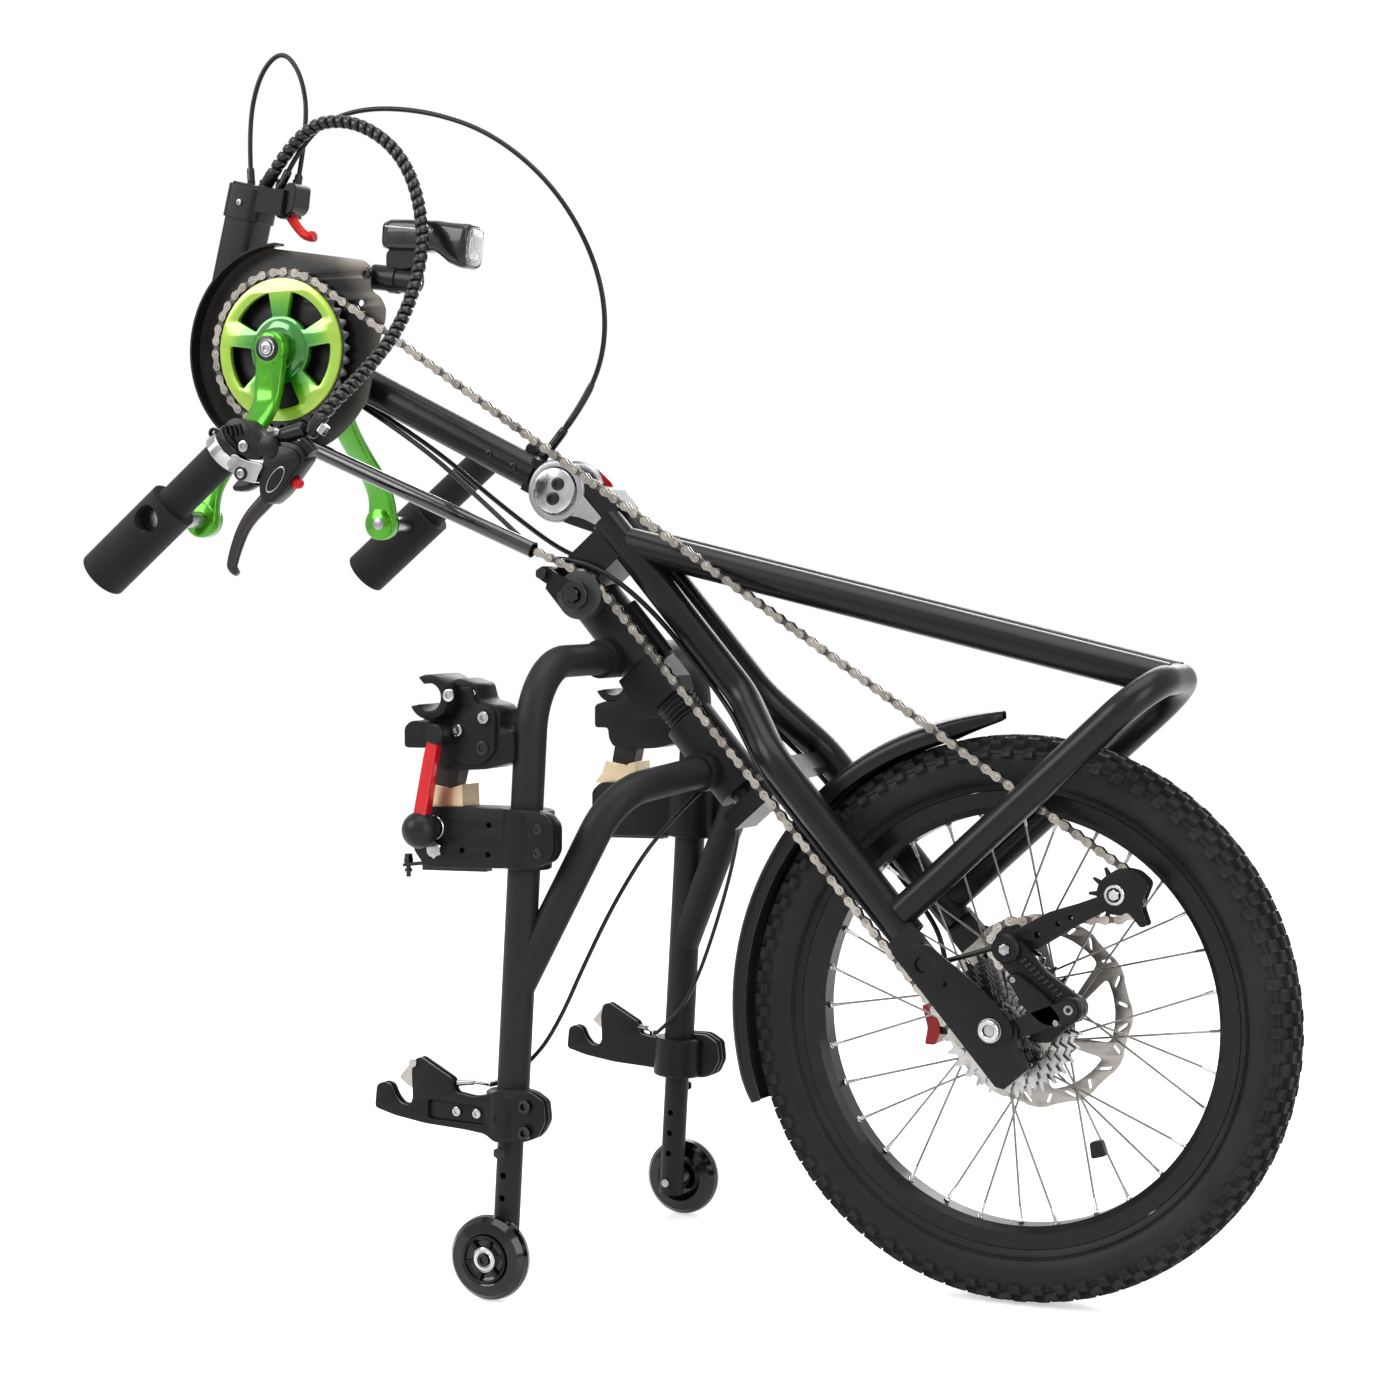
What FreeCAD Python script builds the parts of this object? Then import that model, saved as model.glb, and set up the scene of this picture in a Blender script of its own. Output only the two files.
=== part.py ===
import FreeCAD, Part
import math
import os
import Sketcher

Vector = FreeCAD.Vector
Placement = FreeCAD.Placement
Rotation = FreeCAD.Rotation

# Driving dimensions in millimetres. X runs forward, Y to the rider's left, Z up, and the
# floor is at Z = 0. Places in X are counted from the wheel's axle.
SIZES = {
    # Whole frame
    "axle_x": 308.2,
    "head_angle": 49.0,
    "head_x": -398.0,
    "head_z": 597.0,
    "overrun": 5.0,
    "seat_gap": 0.3,
    "running_gap": 0.05,
    # Drive wheel
    "axle_height": 258.0,
    "tyre_radius": 258.0,
    "tyre_width": 57.0,
    "tyre_crown": 9.0,
    "tread_width": 40.0,
    "bead_width": 24.0,
    "tyre_height": 50.0,
    "rim_depth": 20.0,
    "rim_width": 32.0,
    "rim_wall": 3.0,
    "rim_lip": 6.0,
    "spoke_radius": 1.0,
    "spoke_circle": 30.4,
    "hub_radius": 16.0,
    "hub_bore_radius": 8.0,
    "flange_radius": 30.0,
    "flange_width": 4.0,
    "flange_near": 20.0,
    "flange_far": 36.0,
    "hub_far_end": 50.8,
    "freehub_radius": 16.9,
    "freehub_end": 63.0,
    "rotor_radius": 90.0,
    "rotor_band": 15.0,
    "rotor_hub_radius": 26.0,
    "rotor_arm_width": 9.0,
    "rotor_width": 1.8,
    "axle_radius": 7.9,
    "axle_end": 86.0,
    "axle_nut_radius": 11.0,
    "axle_nut_width": 7.0,
    # Drive chain and sprockets
    "chain_pitch": 12.7,
    "chain_y": 45.0,
    "chain_width": 6.0,
    "chain_wall": 1.2,
    "chain_height": 8.5,
    "tooth_width": 2.4,
    "tooth_tip": 3.0,
    "tooth_root": 4.0,
    "sprocket_step": 4.35,
    "sprocket_width": 1.8,
    "cassette_drum_radius": 22.0,
    # Steered frame
    "fork_offset": 66.0,
    "blade_radius": 15.0,
    "blade_wall": 2.0,
    "blade_top": -95.0,
    "blade_splay_start": 124.0,
    "blade_splay_end": 196.0,
    "blade_end": 404.0,
    "blade_top_y": 20.0,
    "blade_low_y": 62.0,
    "blade_bend": 60.0,
    "dropout_inner_y": 67.5,
    "dropout_width": 10.0,
    "dropout_start": 398.0,
    "dropout_length": 166.0,
    "dropout_low": 47.0,
    "dropout_depth": 50.0,
    "shaft_radius": 14.0,
    "shaft_top": -92.0,
    "shaft_end": 214.0,
    "yoke_width": 64.0,
    "yoke_low": -22.0,
    "yoke_top": -92.0,
    "yoke_length": 36.0,
    "crown_start": 196.0,
    "crown_length": 18.0,
    "crown_width": 108.0,
    "bar_radius": 14.0,
    "top_bar_radius": 15.5,
    "bar_start_x": -386.0,
    "bar_start_z": 689.0,
    "bar_y": 18.0,
    "hoop_x": 140.0,
    "hoop_z": 568.0,
    "hoop_y": 66.0,
    "hoop_bend": 48.0,
    "hoop_foot_x": -90.0,
    "hoop_foot_z": 357.0,
    "mudguard_clearance": 14.0,
    "mudguard_wall": 2.0,
    "mudguard_width": 60.0,
    "mudguard_front_angle": 94.0,
    "mudguard_rear_angle": 199.0,
    "mudguard_tab_offset": 24.0,
    "mudguard_tab_depth": 10.0,
    "mudguard_tab_length": 50.0,
    "mudguard_tab_width": 24.0,
    "caliper_x": -104.0,
    "caliper_length": 42.0,
    "caliper_height": 52.0,
    "caliper_low_y": 38.0,
    "caliper_slot": 5.0,
    # Knuckle, boom and crank
    "knuckle_x": -463.0,
    "knuckle_z": 740.0,
    "clevis_width": 44.0,
    "clevis_slot": 28.0,
    "clevis_clear_radius": 27.0,
    "clevis_depth": 36.0,
    "clevis_run": 150.0,
    "knuckle_pin_radius": 8.0,
    "knuckle_disc_radius": 18.0,
    "knuckle_disc_width": 5.0,
    "knuckle_lever_length": 36.0,
    "knuckle_lever_width": 7.0,
    "crank_x": -758.0,
    "crank_z": 882.0,
    "boom_radius": 17.0,
    "boom_wall": 2.5,
    "boom_eye_radius": 24.0,
    "boom_neck": 36.0,
    "shell_radius": 24.0,
    "shell_bore_radius": 17.0,
    "shell_width": 68.0,
    "bearing_width": 14.0,
    "crank_axle_radius": 12.0,
    "crank_bolt_radius": 9.0,
    "chainring_disc_radius": 72.0,
    "chainring_width": 4.0,
    "chainring_hub_radius": 23.0,
    "window_inner_radius": 33.0,
    "window_outer_radius": 58.0,
    "arm_inner_y": 56.0,
    "arm_thickness": 15.0,
    "arm_width": 34.0,
    "arm_length": 170.0,
    "arm_end_y": 165.0,
    "arm_end_radius": 16.0,
    "arm_knee": 50.0,
    "arm_foot": 34.0,
    "crank_lean": 4.0,
    "pedal_radius": 8.0,
    "pedal_end_y": 244.0,
    # Handles and their controls
    "handle_y": 238.0,
    "handle_angle": 39.0,
    "sleeve_radius": 24.0,
    "sleeve_back": 83.0,
    "sleeve_front": 20.0,
    "grip_radius": 17.0,
    "grip_end": 116.0,
    "recess_radius": 13.0,
    "recess_depth": 14.0,
    "band_start": 94.0,
    "band_width": 12.0,
    "band_radius": 21.0,
    "control_x": -700.0,
    "control_z": 738.0,
    "control_length": 104.0,
    "control_height": 64.0,
    "control_width": 24.0,
    "lever_pivot_x": -640.0,
    "lever_pivot_z": 754.0,
    "lever_slot_length": 38.0,
    "lever_slot_height": 28.0,
    "lever_width": 9.0,
    "lever_drop": 90.0,
    "paddle_pivot_x": -676.0,
    "paddle_pivot_z": 756.0,
    "paddle_length": 24.0,
    "paddle_height": 14.0,
    "button_x": -618.0,
    "button_z": 742.0,
    "button_travel": 4.0,
    "small_pin_radius": 2.5,
    "knob_radius": 5.0,
    "knob_length": 9.0,
    # Chain guard, mast and lamp
    "guard_radius": 107.0,
    "guard_width": 2.5,
    "guard_hole_radius": 26.0,
    "guard_front": 106.0,
    "guard_rise": 98.0,
    "guard_drop": 40.0,
    "mast_radius": 17.0,
    "mast_wall": 2.0,
    "mast_top_x": -821.0,
    "mast_top_z": 1044.0,
    "mast_foot_x": -858.0,
    "mast_foot_z": 900.0,
    "mast_y": 2.0,
    "mast_arm_width": 22.0,
    "mast_clamp_height": 26.0,
    "mast_clamp_length": 68.0,
    "mast_lever_length": 50.0,
    "mast_lever_run": 45.0,
    "mast_lever_fall": 15.0,
    "mast_lever_width": 8.0,
    "lamp_x": -565.0,
    "lamp_z": 978.0,
    "lamp_length": 98.0,
    "lamp_radius": 19.0,
    "lamp_tail_radius": 14.0,
    "lamp_y": 18.0,
    "lamp_post_radius": 8.0,
    "lamp_post_width": 8.0,
    "lamp_pivot_x": -642.0,
    "lamp_pivot_z": 960.0,
    # Idler and chain tube
    "idler_x": -425.0,
    "idler_z": 640.6,
    "idler_radius": 20.0,
    "idler_flange_radius": 23.0,
    "idler_flange_width": 2.0,
    "idler_pin_radius": 4.0,
    "idler_arm_x": -460.0,
    "idler_arm_z": 661.0,
    "idler_arm_width": 4.0,
    "idler_arm_radius": 7.0,
    "chain_tube_radius": 8.0,
    "chain_tube_bore": 6.2,
    # Derailleur
    "guide_x": 10.0,
    "guide_rise": 71.5,
    "tension_x": 104.0,
    "tension_rise": 122.0,
    "pulley_width": 2.4,
    "cage_gap": 11.0,
    "cage_wall": 1.6,
    "cage_radius": 11.0,
    "cage_pin_radius": 4.0,
    "hanger_root_x": 20.0,
    "hanger_root_rise": 1.0,
    "hanger_tip_x": 69.0,
    "hanger_tip_rise": 21.0,
    "hanger_radius": 9.0,
    "hanger_width": 6.0,
    # Docking frame
    "dock_y": 177.0,
    "dock_tube_radius": 15.0,
    "dock_tube_wall": 3.0,
    "dock_top_x": -405.0,
    "dock_top_z": 580.0,
    "dock_bend": 62.0,
    "dock_foot_z": 156.0,
    "stub_end_y": 40.0,
    "stub_radius": 18.5,
    "brace_x": -305.0,
    "brace_z": 475.0,
    "brace_knee_x": -338.0,
    "brace_knee_y": 148.0,
    "brace_knee_z": 462.0,
    "brace_foot_z": 283.0,
    "brace_bend": 58.0,
    "head_block_radius": 25.0,
    "upper_block_start": -50.0,
    "upper_block_end": 30.0,
    "lock_end": 74.0,
    "lock_width": 46.0,
    "lock_pin_radius": 6.0,
    "lock_pin_start": -24.0,
    "lock_pin_length": 62.0,
    "lower_block_start": 100.0,
    "lower_block_end": 185.0,
    "boot_radius": 20.0,
    "boot_groove": 3.0,
    "leg_radius": 12.0,
    "leg_wall": 2.0,
    "leg_top_z": 230.0,
    "leg_foot_z": 26.0,
    "leg_hole_radius": 3.0,
    "leg_hole_step": 21.0,
    "leg_hole_z": 69.0,
    "collar_radius": 18.5,
    "collar_height": 20.0,
    "castor_x": -436.5,
    "castor_radius": 39.0,
    "castor_y": 205.0,
    "castor_width": 24.0,
    "castor_hub_radius": 12.0,
    "castor_bearing_radius": 11.0,
    "castor_bearing_width": 7.0,
    "castor_bolt_radius": 4.0,
    # Upper clamp
    "bracket_x": -531.0,
    "bracket_z": 396.0,
    "bracket_length": 150.0,
    "bracket_height": 48.0,
    "bracket_width": 38.0,
    "bracket_slot": 3.0,
    "jaw_x": -520.0,
    "jaw_z": 486.0,
    "jaw_length": 112.0,
    "jaw_height": 82.0,
    "jaw_width": 34.0,
    "jaw_bore_radius": 11.5,
    "jaw_bore_x": -500.0,
    "jaw_bore_z": 548.0,
    "jaw_mouth": 17.0,
    "wedge_inset": 3.0,
    "wedge_width": 14.0,
    "wedge_length": 38.0,
    "lever_y": 214.0,
    "clamp_lever_x": -486.0,
    "clamp_lever_z": 516.0,
    "clamp_rod_radius": 5.5,
    "clamp_ball_radius": 17.0,
    "clamp_ball_x": -502.0,
    "clamp_ball_z": 428.0,
    # Lower hook
    "hook_x": -566.0,
    "hook_z": 150.0,
    "hook_length": 176.0,
    "hook_height": 62.0,
    "hook_width": 36.0,
    "hook_bore_radius": 11.0,
    "hook_bore_x": -536.0,
    "hook_bore_z": 185.0,
    "hook_mouth": 18.0,
    "latch_x": -514.0,
    "latch_z": 202.0,
    "latch_width": 6.0,
    "latch_length": 22.0,
    "latch_height": 26.0,
    "bolt_radius": 3.0,
    "bolt_head_radius": 5.0,
    "bolt_head_height": 4.0,
    "bolt_socket_radius": 2.5,
    "bolt_socket_depth": 2.5,
    # Cables
    "cable_radius": 2.5,
    "hose_radius": 6.0,
    "release_cable_radius": 2.0,
}

CHAINRING_TEETH = 38
CASSETTE_TEETH = (11, 13, 15, 18, 21, 24, 27, 30, 32)
PULLEY_TEETH = 11
SPOKE_COUNT = 32
CHAINRING_WINDOWS = 5
ROTOR_ARMS = 6

doc = FreeCAD.newDocument("handcycle")
sheet = doc.addObject("Spreadsheet::Sheet", "Sizes")
for row, (word, number) in enumerate(SIZES.items(), start=1):
    sheet.set("A%d" % row, word)
    sheet.set("B%d" % row, str(number))
    sheet.setAlias("B%d" % row, word)
doc.recompute()


class Size:
    """A number with the formula that gives it from the sheet."""

    def __init__(self, value, formula):
        self.value = float(value)
        self.formula = formula

    def __float__(self):
        return self.value

    def join(self, sign, other, value):
        return Size(value, "(%s %s %s)" % (self.formula, sign, size(other).formula))

    def __add__(self, other):
        return self.join("+", other, self.value + float(other))

    def __radd__(self, other):
        return size(other) + self

    def __sub__(self, other):
        return self.join("-", other, self.value - float(other))

    def __rsub__(self, other):
        return size(other) - self

    def __mul__(self, other):
        return self.join("*", other, self.value * float(other))

    def __rmul__(self, other):
        return size(other) * self

    def __truediv__(self, other):
        return self.join("/", other, self.value / float(other))

    def __neg__(self):
        return self * -1.0


def size(number):
    if isinstance(number, Size):
        return number
    return Size(number, "%.9g" % float(number))


class Named:
    """The sheet's values by name, each as a Size."""

    def __getattr__(self, word):
        return Size(getattr(sheet, word), "Sizes." + word)


d = Named()
nodes = {}

HEAD_RUN_SHARE = math.cos(math.radians(float(d.head_angle)))
HEAD_RISE_SHARE = math.sin(math.radians(float(d.head_angle)))
HALF_SHARE = 0.5


def from_axle(x):
    """X in the part's frame of a place counted from the wheel's axle."""
    return d.axle_x + x


def along_head(run, offset):
    """X and Z at a run down the steering axis and an offset in front of it."""
    x = from_axle(d.head_x) + run * HEAD_RUN_SHARE + offset * HEAD_RISE_SHARE
    z = d.head_z - run * HEAD_RISE_SHARE + offset * HEAD_RUN_SHARE
    return x, z


def head_point(run, offset, y):
    x, z = along_head(run, offset)
    return x, size(y), z


def vector(point):
    return Vector(*(float(value) for value in point))


def bind(item, name, value):
    value = size(value)
    setattr(item, name, value.value)
    if "Sizes" in value.formula:
        item.setExpression(name, value.formula)


def place(item, point, rotation=None):
    item.Placement = Placement(vector(point), rotation or Rotation())
    for name, value in zip("xyz", point):
        if "Sizes" in size(value).formula:
            item.setExpression("Placement.Base." + name, size(value).formula)


def facing(direction):
    return Rotation(Vector(0, 0, 1), Vector(*direction))


Y_AXIS = (0, 1, 0)
HEAD_AXIS = (HEAD_RUN_SHARE, 0, -HEAD_RISE_SHARE)


def cylinder(label, radius, length, point, direction):
    item = doc.addObject("Part::Cylinder", label)
    bind(item, "Radius", radius)
    bind(item, "Height", length)
    place(item, point, facing(direction))
    return item


def block(label, lengths, low):
    item = doc.addObject("Part::Box", label)
    for name, value in zip(("Length", "Width", "Height"), lengths):
        bind(item, name, value)
    place(item, low)
    return item


def fuse(label, *items):
    item = doc.addObject("Part::MultiFuse", label)
    item.Shapes = list(items)
    return item


def cut(label, base, *tools):
    item = doc.addObject("Part::Cut", label)
    item.Base = base
    item.Tool = tools[0] if len(tools) == 1 else fuse(label + "_tools", *tools)
    return item


def common(label, first, second):
    item = doc.addObject("Part::Common", label)
    item.Base = first
    item.Tool = second
    return item


def group(label, *items):
    item = doc.addObject("Part::Compound", label)
    item.Links = list(items)
    return item


def mirrored(label, source):
    """The same piece on the other side of the middle plane."""
    item = doc.addObject("Part::Mirroring", label)
    item.Source = source
    item.Normal = Vector(0, 1, 0)
    return item


def computed(label, shape):
    item = doc.addObject("Part::Feature", label)
    item.Shape = shape
    return item


def ring(label, outer, inner, length, point, direction):
    solid = cylinder(label + "_outer", outer, length, point, direction)
    start = Vector(*direction).normalize() * -float(d.overrun)
    low = [value + shift for value, shift in zip(point, start)]
    hole = cylinder(label + "_bore", inner, length + 2 * d.overrun, low, direction)
    return cut(label, solid, hole)


def add_sketch(body, label, role):
    plane = [item for item in body.Origin.OriginFeatures if item.Role == role][0]
    sketch = body.newObject("Sketcher::SketchObject", label)
    sketch.AttachmentSupport = (plane, [""])
    sketch.MapMode = "FlatFace"
    return sketch


def hold(sketch, kind, places, value):
    """Constraint of one kind on the sketch, tied to its formula."""
    value = size(value)
    index = sketch.addConstraint(Sketcher.Constraint(kind, *places, value.value))
    if "Sizes" in value.formula:
        sketch.setExpression("Constraints[%d]" % index, value.formula)


def draw_outline(sketch, points):
    """Closed outline of straight edges through the points."""
    ends = [Vector(float(u), float(v), 0) for u, v in points]
    count = len(ends)
    for index in range(count):
        line = Part.LineSegment(ends[index], ends[(index + 1) % count])
        sketch.addGeometry(line, False)
    for index, (u, v) in enumerate(points):
        following = (index + 1) % count
        sketch.addConstraint(Sketcher.Constraint("Coincident", index, 2, following, 1))
        hold(sketch, "DistanceX", (-1, 1, index, 1), u)
        hold(sketch, "DistanceY", (-1, 1, index, 1), v)


def draw_circles(sketch, circles):
    for u, v, radius in circles:
        centre = Vector(float(u), float(v), 0)
        index = sketch.addGeometry(Part.Circle(centre, Vector(0, 0, 1), float(radius)), False)
        hold(sketch, "DistanceX", (-1, 1, index, 3), u)
        hold(sketch, "DistanceY", (-1, 1, index, 3), v)
        hold(sketch, "Radius", (index,), radius)


def padded(label, outline, thickness, role="XZ_Plane"):
    """Body with the outline raised to both sides of its plane."""
    body = doc.addObject("PartDesign::Body", label)
    sketch = add_sketch(body, label + "_outline", role)
    draw_outline(sketch, outline)
    pad = body.newObject("PartDesign::Pad", label + "_pad")
    pad.Profile = sketch
    pad.SideType = "Symmetric"
    bind(pad, "Length", thickness)
    return body


def rounded(body, radius, axis):
    """Rounds every corner of the pad whose edge runs along the axis."""
    doc.recompute()
    base = body.Tip
    names = []
    for index, edge in enumerate(base.Shape.Edges, start=1):
        if abs(edge.tangentAt(edge.FirstParameter).dot(Vector(*axis))) > 0.99:
            names.append("Edge%d" % index)
    fillet = body.newObject("PartDesign::Fillet", body.Label + "_round")
    fillet.Base = (base, names)
    bind(fillet, "Radius", radius)
    return body


def drilled(body, circles, role="XZ_Plane"):
    sketch = add_sketch(body, body.Label + "_holes", role)
    draw_circles(sketch, circles)
    pocket = body.newObject("PartDesign::Pocket", body.Label + "_drill")
    pocket.Profile = sketch
    pocket.Type = "ThroughAll"
    pocket.SideType = "Symmetric"
    return body


def plate(label, outline, thickness, y, holes=(), rounding=None):
    """Flat piece that stands along X and Z, with its middle at Y = y."""
    body = padded(label, outline, thickness)
    if rounding is not None:
        rounded(body, rounding, Y_AXIS)
    if holes:
        drilled(body, holes)
    place(body, (0, y, 0))
    return body


def framed(x, z, length, height, shares):
    """Outline given as shares of a length and a height from a low corner."""
    return [(x + u * length, z + v * height) for u, v in shares]


def slanted(run, offset, length, height, shares):
    """Outline given as shares along the steering axis and in front of it."""
    return [along_head(run + u * length, offset + v * height) for u, v in shares]


def turned(label, profile, point, direction):
    """Body of revolution: the profile gives radius and place along the axis."""
    body = doc.addObject("PartDesign::Body", label)
    sketch = add_sketch(body, label + "_profile", "XZ_Plane")
    draw_outline(sketch, profile)
    turn = body.newObject("PartDesign::Revolution", label + "_turn")
    turn.Profile = sketch
    turn.ReferenceAxis = (sketch, ["V_Axis"])
    turn.Angle = 360
    place(body, point, facing(direction))
    return body


def bent_wire(points, bends):
    """Straight runs joined by tangent arcs, one radius for each inner point."""
    spots = [vector(point) for point in points]
    edges = []
    start = spots[0]
    for index, bend in zip(range(1, len(spots) - 1), bends):
        back = (spots[index - 1] - spots[index]).normalize()
        ahead = (spots[index + 1] - spots[index]).normalize()
        half = back.getAngle(ahead) * HALF_SHARE
        trim = float(bend) / math.tan(half)
        middle = (back + ahead).normalize()
        inward = float(bend) / math.sin(half)
        first = spots[index] + back * trim
        last = spots[index] + ahead * trim
        crown = spots[index] + middle * (inward - float(bend))
        edges.append(Part.LineSegment(start, first).toShape())
        edges.append(Part.Arc(first, crown, last).toShape())
        start = last
    edges.append(Part.LineSegment(start, spots[-1]).toShape())
    return Part.Wire(edges)


def swept(wire, radius):
    """Solid round bar of a radius along a wire."""
    edge = wire.Edges[0]
    start = edge.valueAt(edge.FirstParameter)
    heading = edge.tangentAt(edge.FirstParameter)
    circle = Part.Wire(Part.Circle(start, heading, float(radius)).toShape())
    return wire.makePipeShell([circle], True, False)


def bent_tube(label, points, radius, bends, wall=None):
    wire = bent_wire(points, bends)
    shape = swept(wire, radius)
    if wall is not None:
        shape = shape.cut(swept(wire, radius - wall))
    return computed(label, shape)


SHORT_RUN_SHARE = 0.45


def cable(label, points, radius):
    """Cable tube whose arcs are as large as their shorter run allows."""
    spots = [vector(point) for point in points]
    bends = []
    for index in range(1, len(spots) - 1):
        back = spots[index - 1] - spots[index]
        ahead = spots[index + 1] - spots[index]
        shorter = min(back.Length, ahead.Length)
        half_turn = (math.pi - back.getAngle(ahead)) * HALF_SHARE
        bends.append(SHORT_RUN_SHARE * shorter / math.tan(half_turn))
    wire = bent_wire(points, bends)
    solid = swept(wire, radius)
    section = math.pi * float(radius) ** 2
    print("%s: length %.0f, least radius %.1f, volume share %.4f" % (
        label, wire.Length, min(bends), solid.Volume / (section * wire.Length)))
    return computed(label, solid)


def pitch_radius(teeth):
    return float(d.chain_pitch) / (2 * math.sin(math.pi / teeth))


TOOTH_SHARES = (0.0, 0.28, 0.42, 0.58, 0.72)


def sprocket(teeth, width, bore, centre):
    """Toothed disc in the plane of X and Z, with its middle at the centre."""
    root = pitch_radius(teeth) - float(d.tooth_root)
    tip = pitch_radius(teeth) + float(d.tooth_tip)
    radii = (root, root, tip, tip, root)
    points = []
    for tooth in range(teeth):
        for share, radius in zip(TOOTH_SHARES, radii):
            turn = 2 * math.pi * (tooth + share) / teeth
            points.append(Vector(radius * math.cos(turn), 0, radius * math.sin(turn)))
    points.append(points[0])
    face = Part.Face(Part.makePolygon(points))
    solid = face.extrude(Vector(0, float(width), 0))
    overrun = float(d.overrun)
    hole = Part.makeCylinder(float(bore), float(width) + 2 * overrun,
                             Vector(0, -overrun, 0), Vector(0, 1, 0))
    solid = solid.cut(hole)
    solid.translate(vector(centre) - Vector(0, float(width) * HALF_SHARE, 0))
    return solid


# Drive wheel: tyre, rim, spokes, hub and brake disc
rim_radius = d.tyre_radius - d.tyre_height
rim_inner_radius = rim_radius - d.rim_depth
mudguard_radius = d.tyre_radius + d.mudguard_clearance
wheel_centre = (from_axle(0), size(0), d.axle_height)

tyre_half = d.tyre_width / 2
shoulder = d.tyre_radius - d.tyre_crown
bead_radius = rim_radius - d.rim_lip + d.seat_gap
side_radius = (d.tyre_radius + rim_radius) / 2
nodes["tyre"] = turned("tyre", [
    (bead_radius, -(d.bead_width / 2)),
    (rim_radius + d.seat_gap, -(d.bead_width / 2)),
    (rim_radius + d.seat_gap, -(d.rim_width / 2)),
    (side_radius - d.tyre_crown, -(tyre_half * 0.88)),
    (side_radius + d.tyre_crown / 3, -tyre_half),
    (shoulder, -(tyre_half * 0.96)),
    (d.tyre_radius - d.tyre_crown / 4, -(d.tread_width / 2)),
    (d.tyre_radius, -(d.tread_width / 5)),
    (d.tyre_radius, d.tread_width / 5),
    (d.tyre_radius - d.tyre_crown / 4, d.tread_width / 2),
    (shoulder, tyre_half * 0.96),
    (side_radius + d.tyre_crown / 3, tyre_half),
    (side_radius - d.tyre_crown, tyre_half * 0.88),
    (rim_radius + d.seat_gap, d.rim_width / 2),
    (rim_radius + d.seat_gap, d.bead_width / 2),
    (bead_radius, d.bead_width / 2),
], wheel_centre, Y_AXIS)

nodes["rim"] = turned("rim", [
    (rim_inner_radius, -(d.rim_width * 0.32)),
    (rim_inner_radius + d.rim_lip, -(d.rim_width / 2)),
    (rim_radius, -(d.rim_width / 2)),
    (rim_radius, -(d.rim_width / 2 - d.rim_wall)),
    (rim_radius - d.rim_lip, -(d.rim_width / 2 - d.rim_wall)),
    (rim_radius - d.rim_lip, d.rim_width / 2 - d.rim_wall),
    (rim_radius, d.rim_width / 2 - d.rim_wall),
    (rim_radius, d.rim_width / 2),
    (rim_inner_radius + d.rim_lip, d.rim_width / 2),
    (rim_inner_radius, d.rim_width * 0.32),
], wheel_centre, Y_AXIS)

nodes["wheel_hub"] = turned("wheel_hub", [
    (d.hub_bore_radius, -d.freehub_end),
    (d.freehub_radius, -d.freehub_end),
    (d.freehub_radius, -(d.flange_near + d.flange_width / 2)),
    (d.flange_radius, -(d.flange_near + d.flange_width / 2)),
    (d.flange_radius, -(d.flange_near - d.flange_width / 2)),
    (d.hub_radius, -(d.flange_near - d.flange_width)),
    (d.hub_radius, d.flange_far - d.flange_width),
    (d.flange_radius, d.flange_far - d.flange_width / 2),
    (d.flange_radius, d.flange_far + d.flange_width / 2),
    (d.rotor_hub_radius, d.flange_far + d.flange_width / 2),
    (d.rotor_hub_radius, d.hub_far_end),
    (d.hub_bore_radius, d.hub_far_end),
], wheel_centre, Y_AXIS)

SPOKE_SWEEP_SHARE = 0.15
spokes = []
for index in range(SPOKE_COUNT):
    side = -1 if index % 2 else 1
    lead = 1 if (index // 2) % 2 else -1
    flange_y = d.flange_far if side > 0 else -d.flange_near
    rim_turn = 2 * math.pi * index / SPOKE_COUNT
    hub_turn = rim_turn + lead * 2 * math.pi * SPOKE_SWEEP_SHARE
    lift = float(d.spoke_radius) * 1.2 * lead
    foot = Vector(float(d.spoke_circle) * math.cos(hub_turn), float(flange_y) + lift,
                  float(d.spoke_circle) * math.sin(hub_turn))
    nipple = float(rim_inner_radius) - float(d.seat_gap)
    head = Vector(nipple * math.cos(rim_turn), side * float(d.rim_width) * 0.12,
                  nipple * math.sin(rim_turn))
    run = head - foot
    spoke = Part.makeCylinder(float(d.spoke_radius), run.Length, foot, run)
    spoke.translate(vector(wheel_centre))
    spokes.append(spoke)
nodes["spokes"] = computed("spokes", Part.makeCompound(spokes))

rotor_y = d.hub_far_end + d.rotor_width / 2
rotor_band_ring = ring("rotor_band_ring", d.rotor_radius, d.rotor_radius - d.rotor_band,
                       d.rotor_width, (from_axle(0), d.hub_far_end, d.axle_height), Y_AXIS)
rotor_hub_ring = ring("rotor_hub_ring", d.rotor_hub_radius, d.freehub_radius,
                      d.rotor_width, (from_axle(0), d.hub_far_end, d.axle_height), Y_AXIS)
rotor_arms = []
ARM_SWEEP_SHARE = 0.11
for index in range(ROTOR_ARMS):
    turn = 2 * math.pi * index / ROTOR_ARMS
    inner = float(d.rotor_hub_radius) - float(d.seat_gap)
    outer = float(d.rotor_radius) - float(d.rotor_band) + float(d.seat_gap)
    start = Vector(inner * math.cos(turn), 0, inner * math.sin(turn))
    lean = turn + 2 * math.pi * ARM_SWEEP_SHARE
    stop = Vector(outer * math.cos(lean), 0, outer * math.sin(lean))
    across = (stop - start).cross(Vector(0, 1, 0)).normalize() * (float(d.rotor_arm_width) / 2)
    corners = [start - across, start + across, stop + across, stop - across, start - across]
    arm = Part.Face(Part.makePolygon(corners)).extrude(Vector(0, float(d.rotor_width), 0))
    arm.translate(Vector(float(from_axle(0)), float(d.hub_far_end), float(d.axle_height)))
    rotor_arms.append(computed("rotor_arm_%d" % index, arm))
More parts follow.
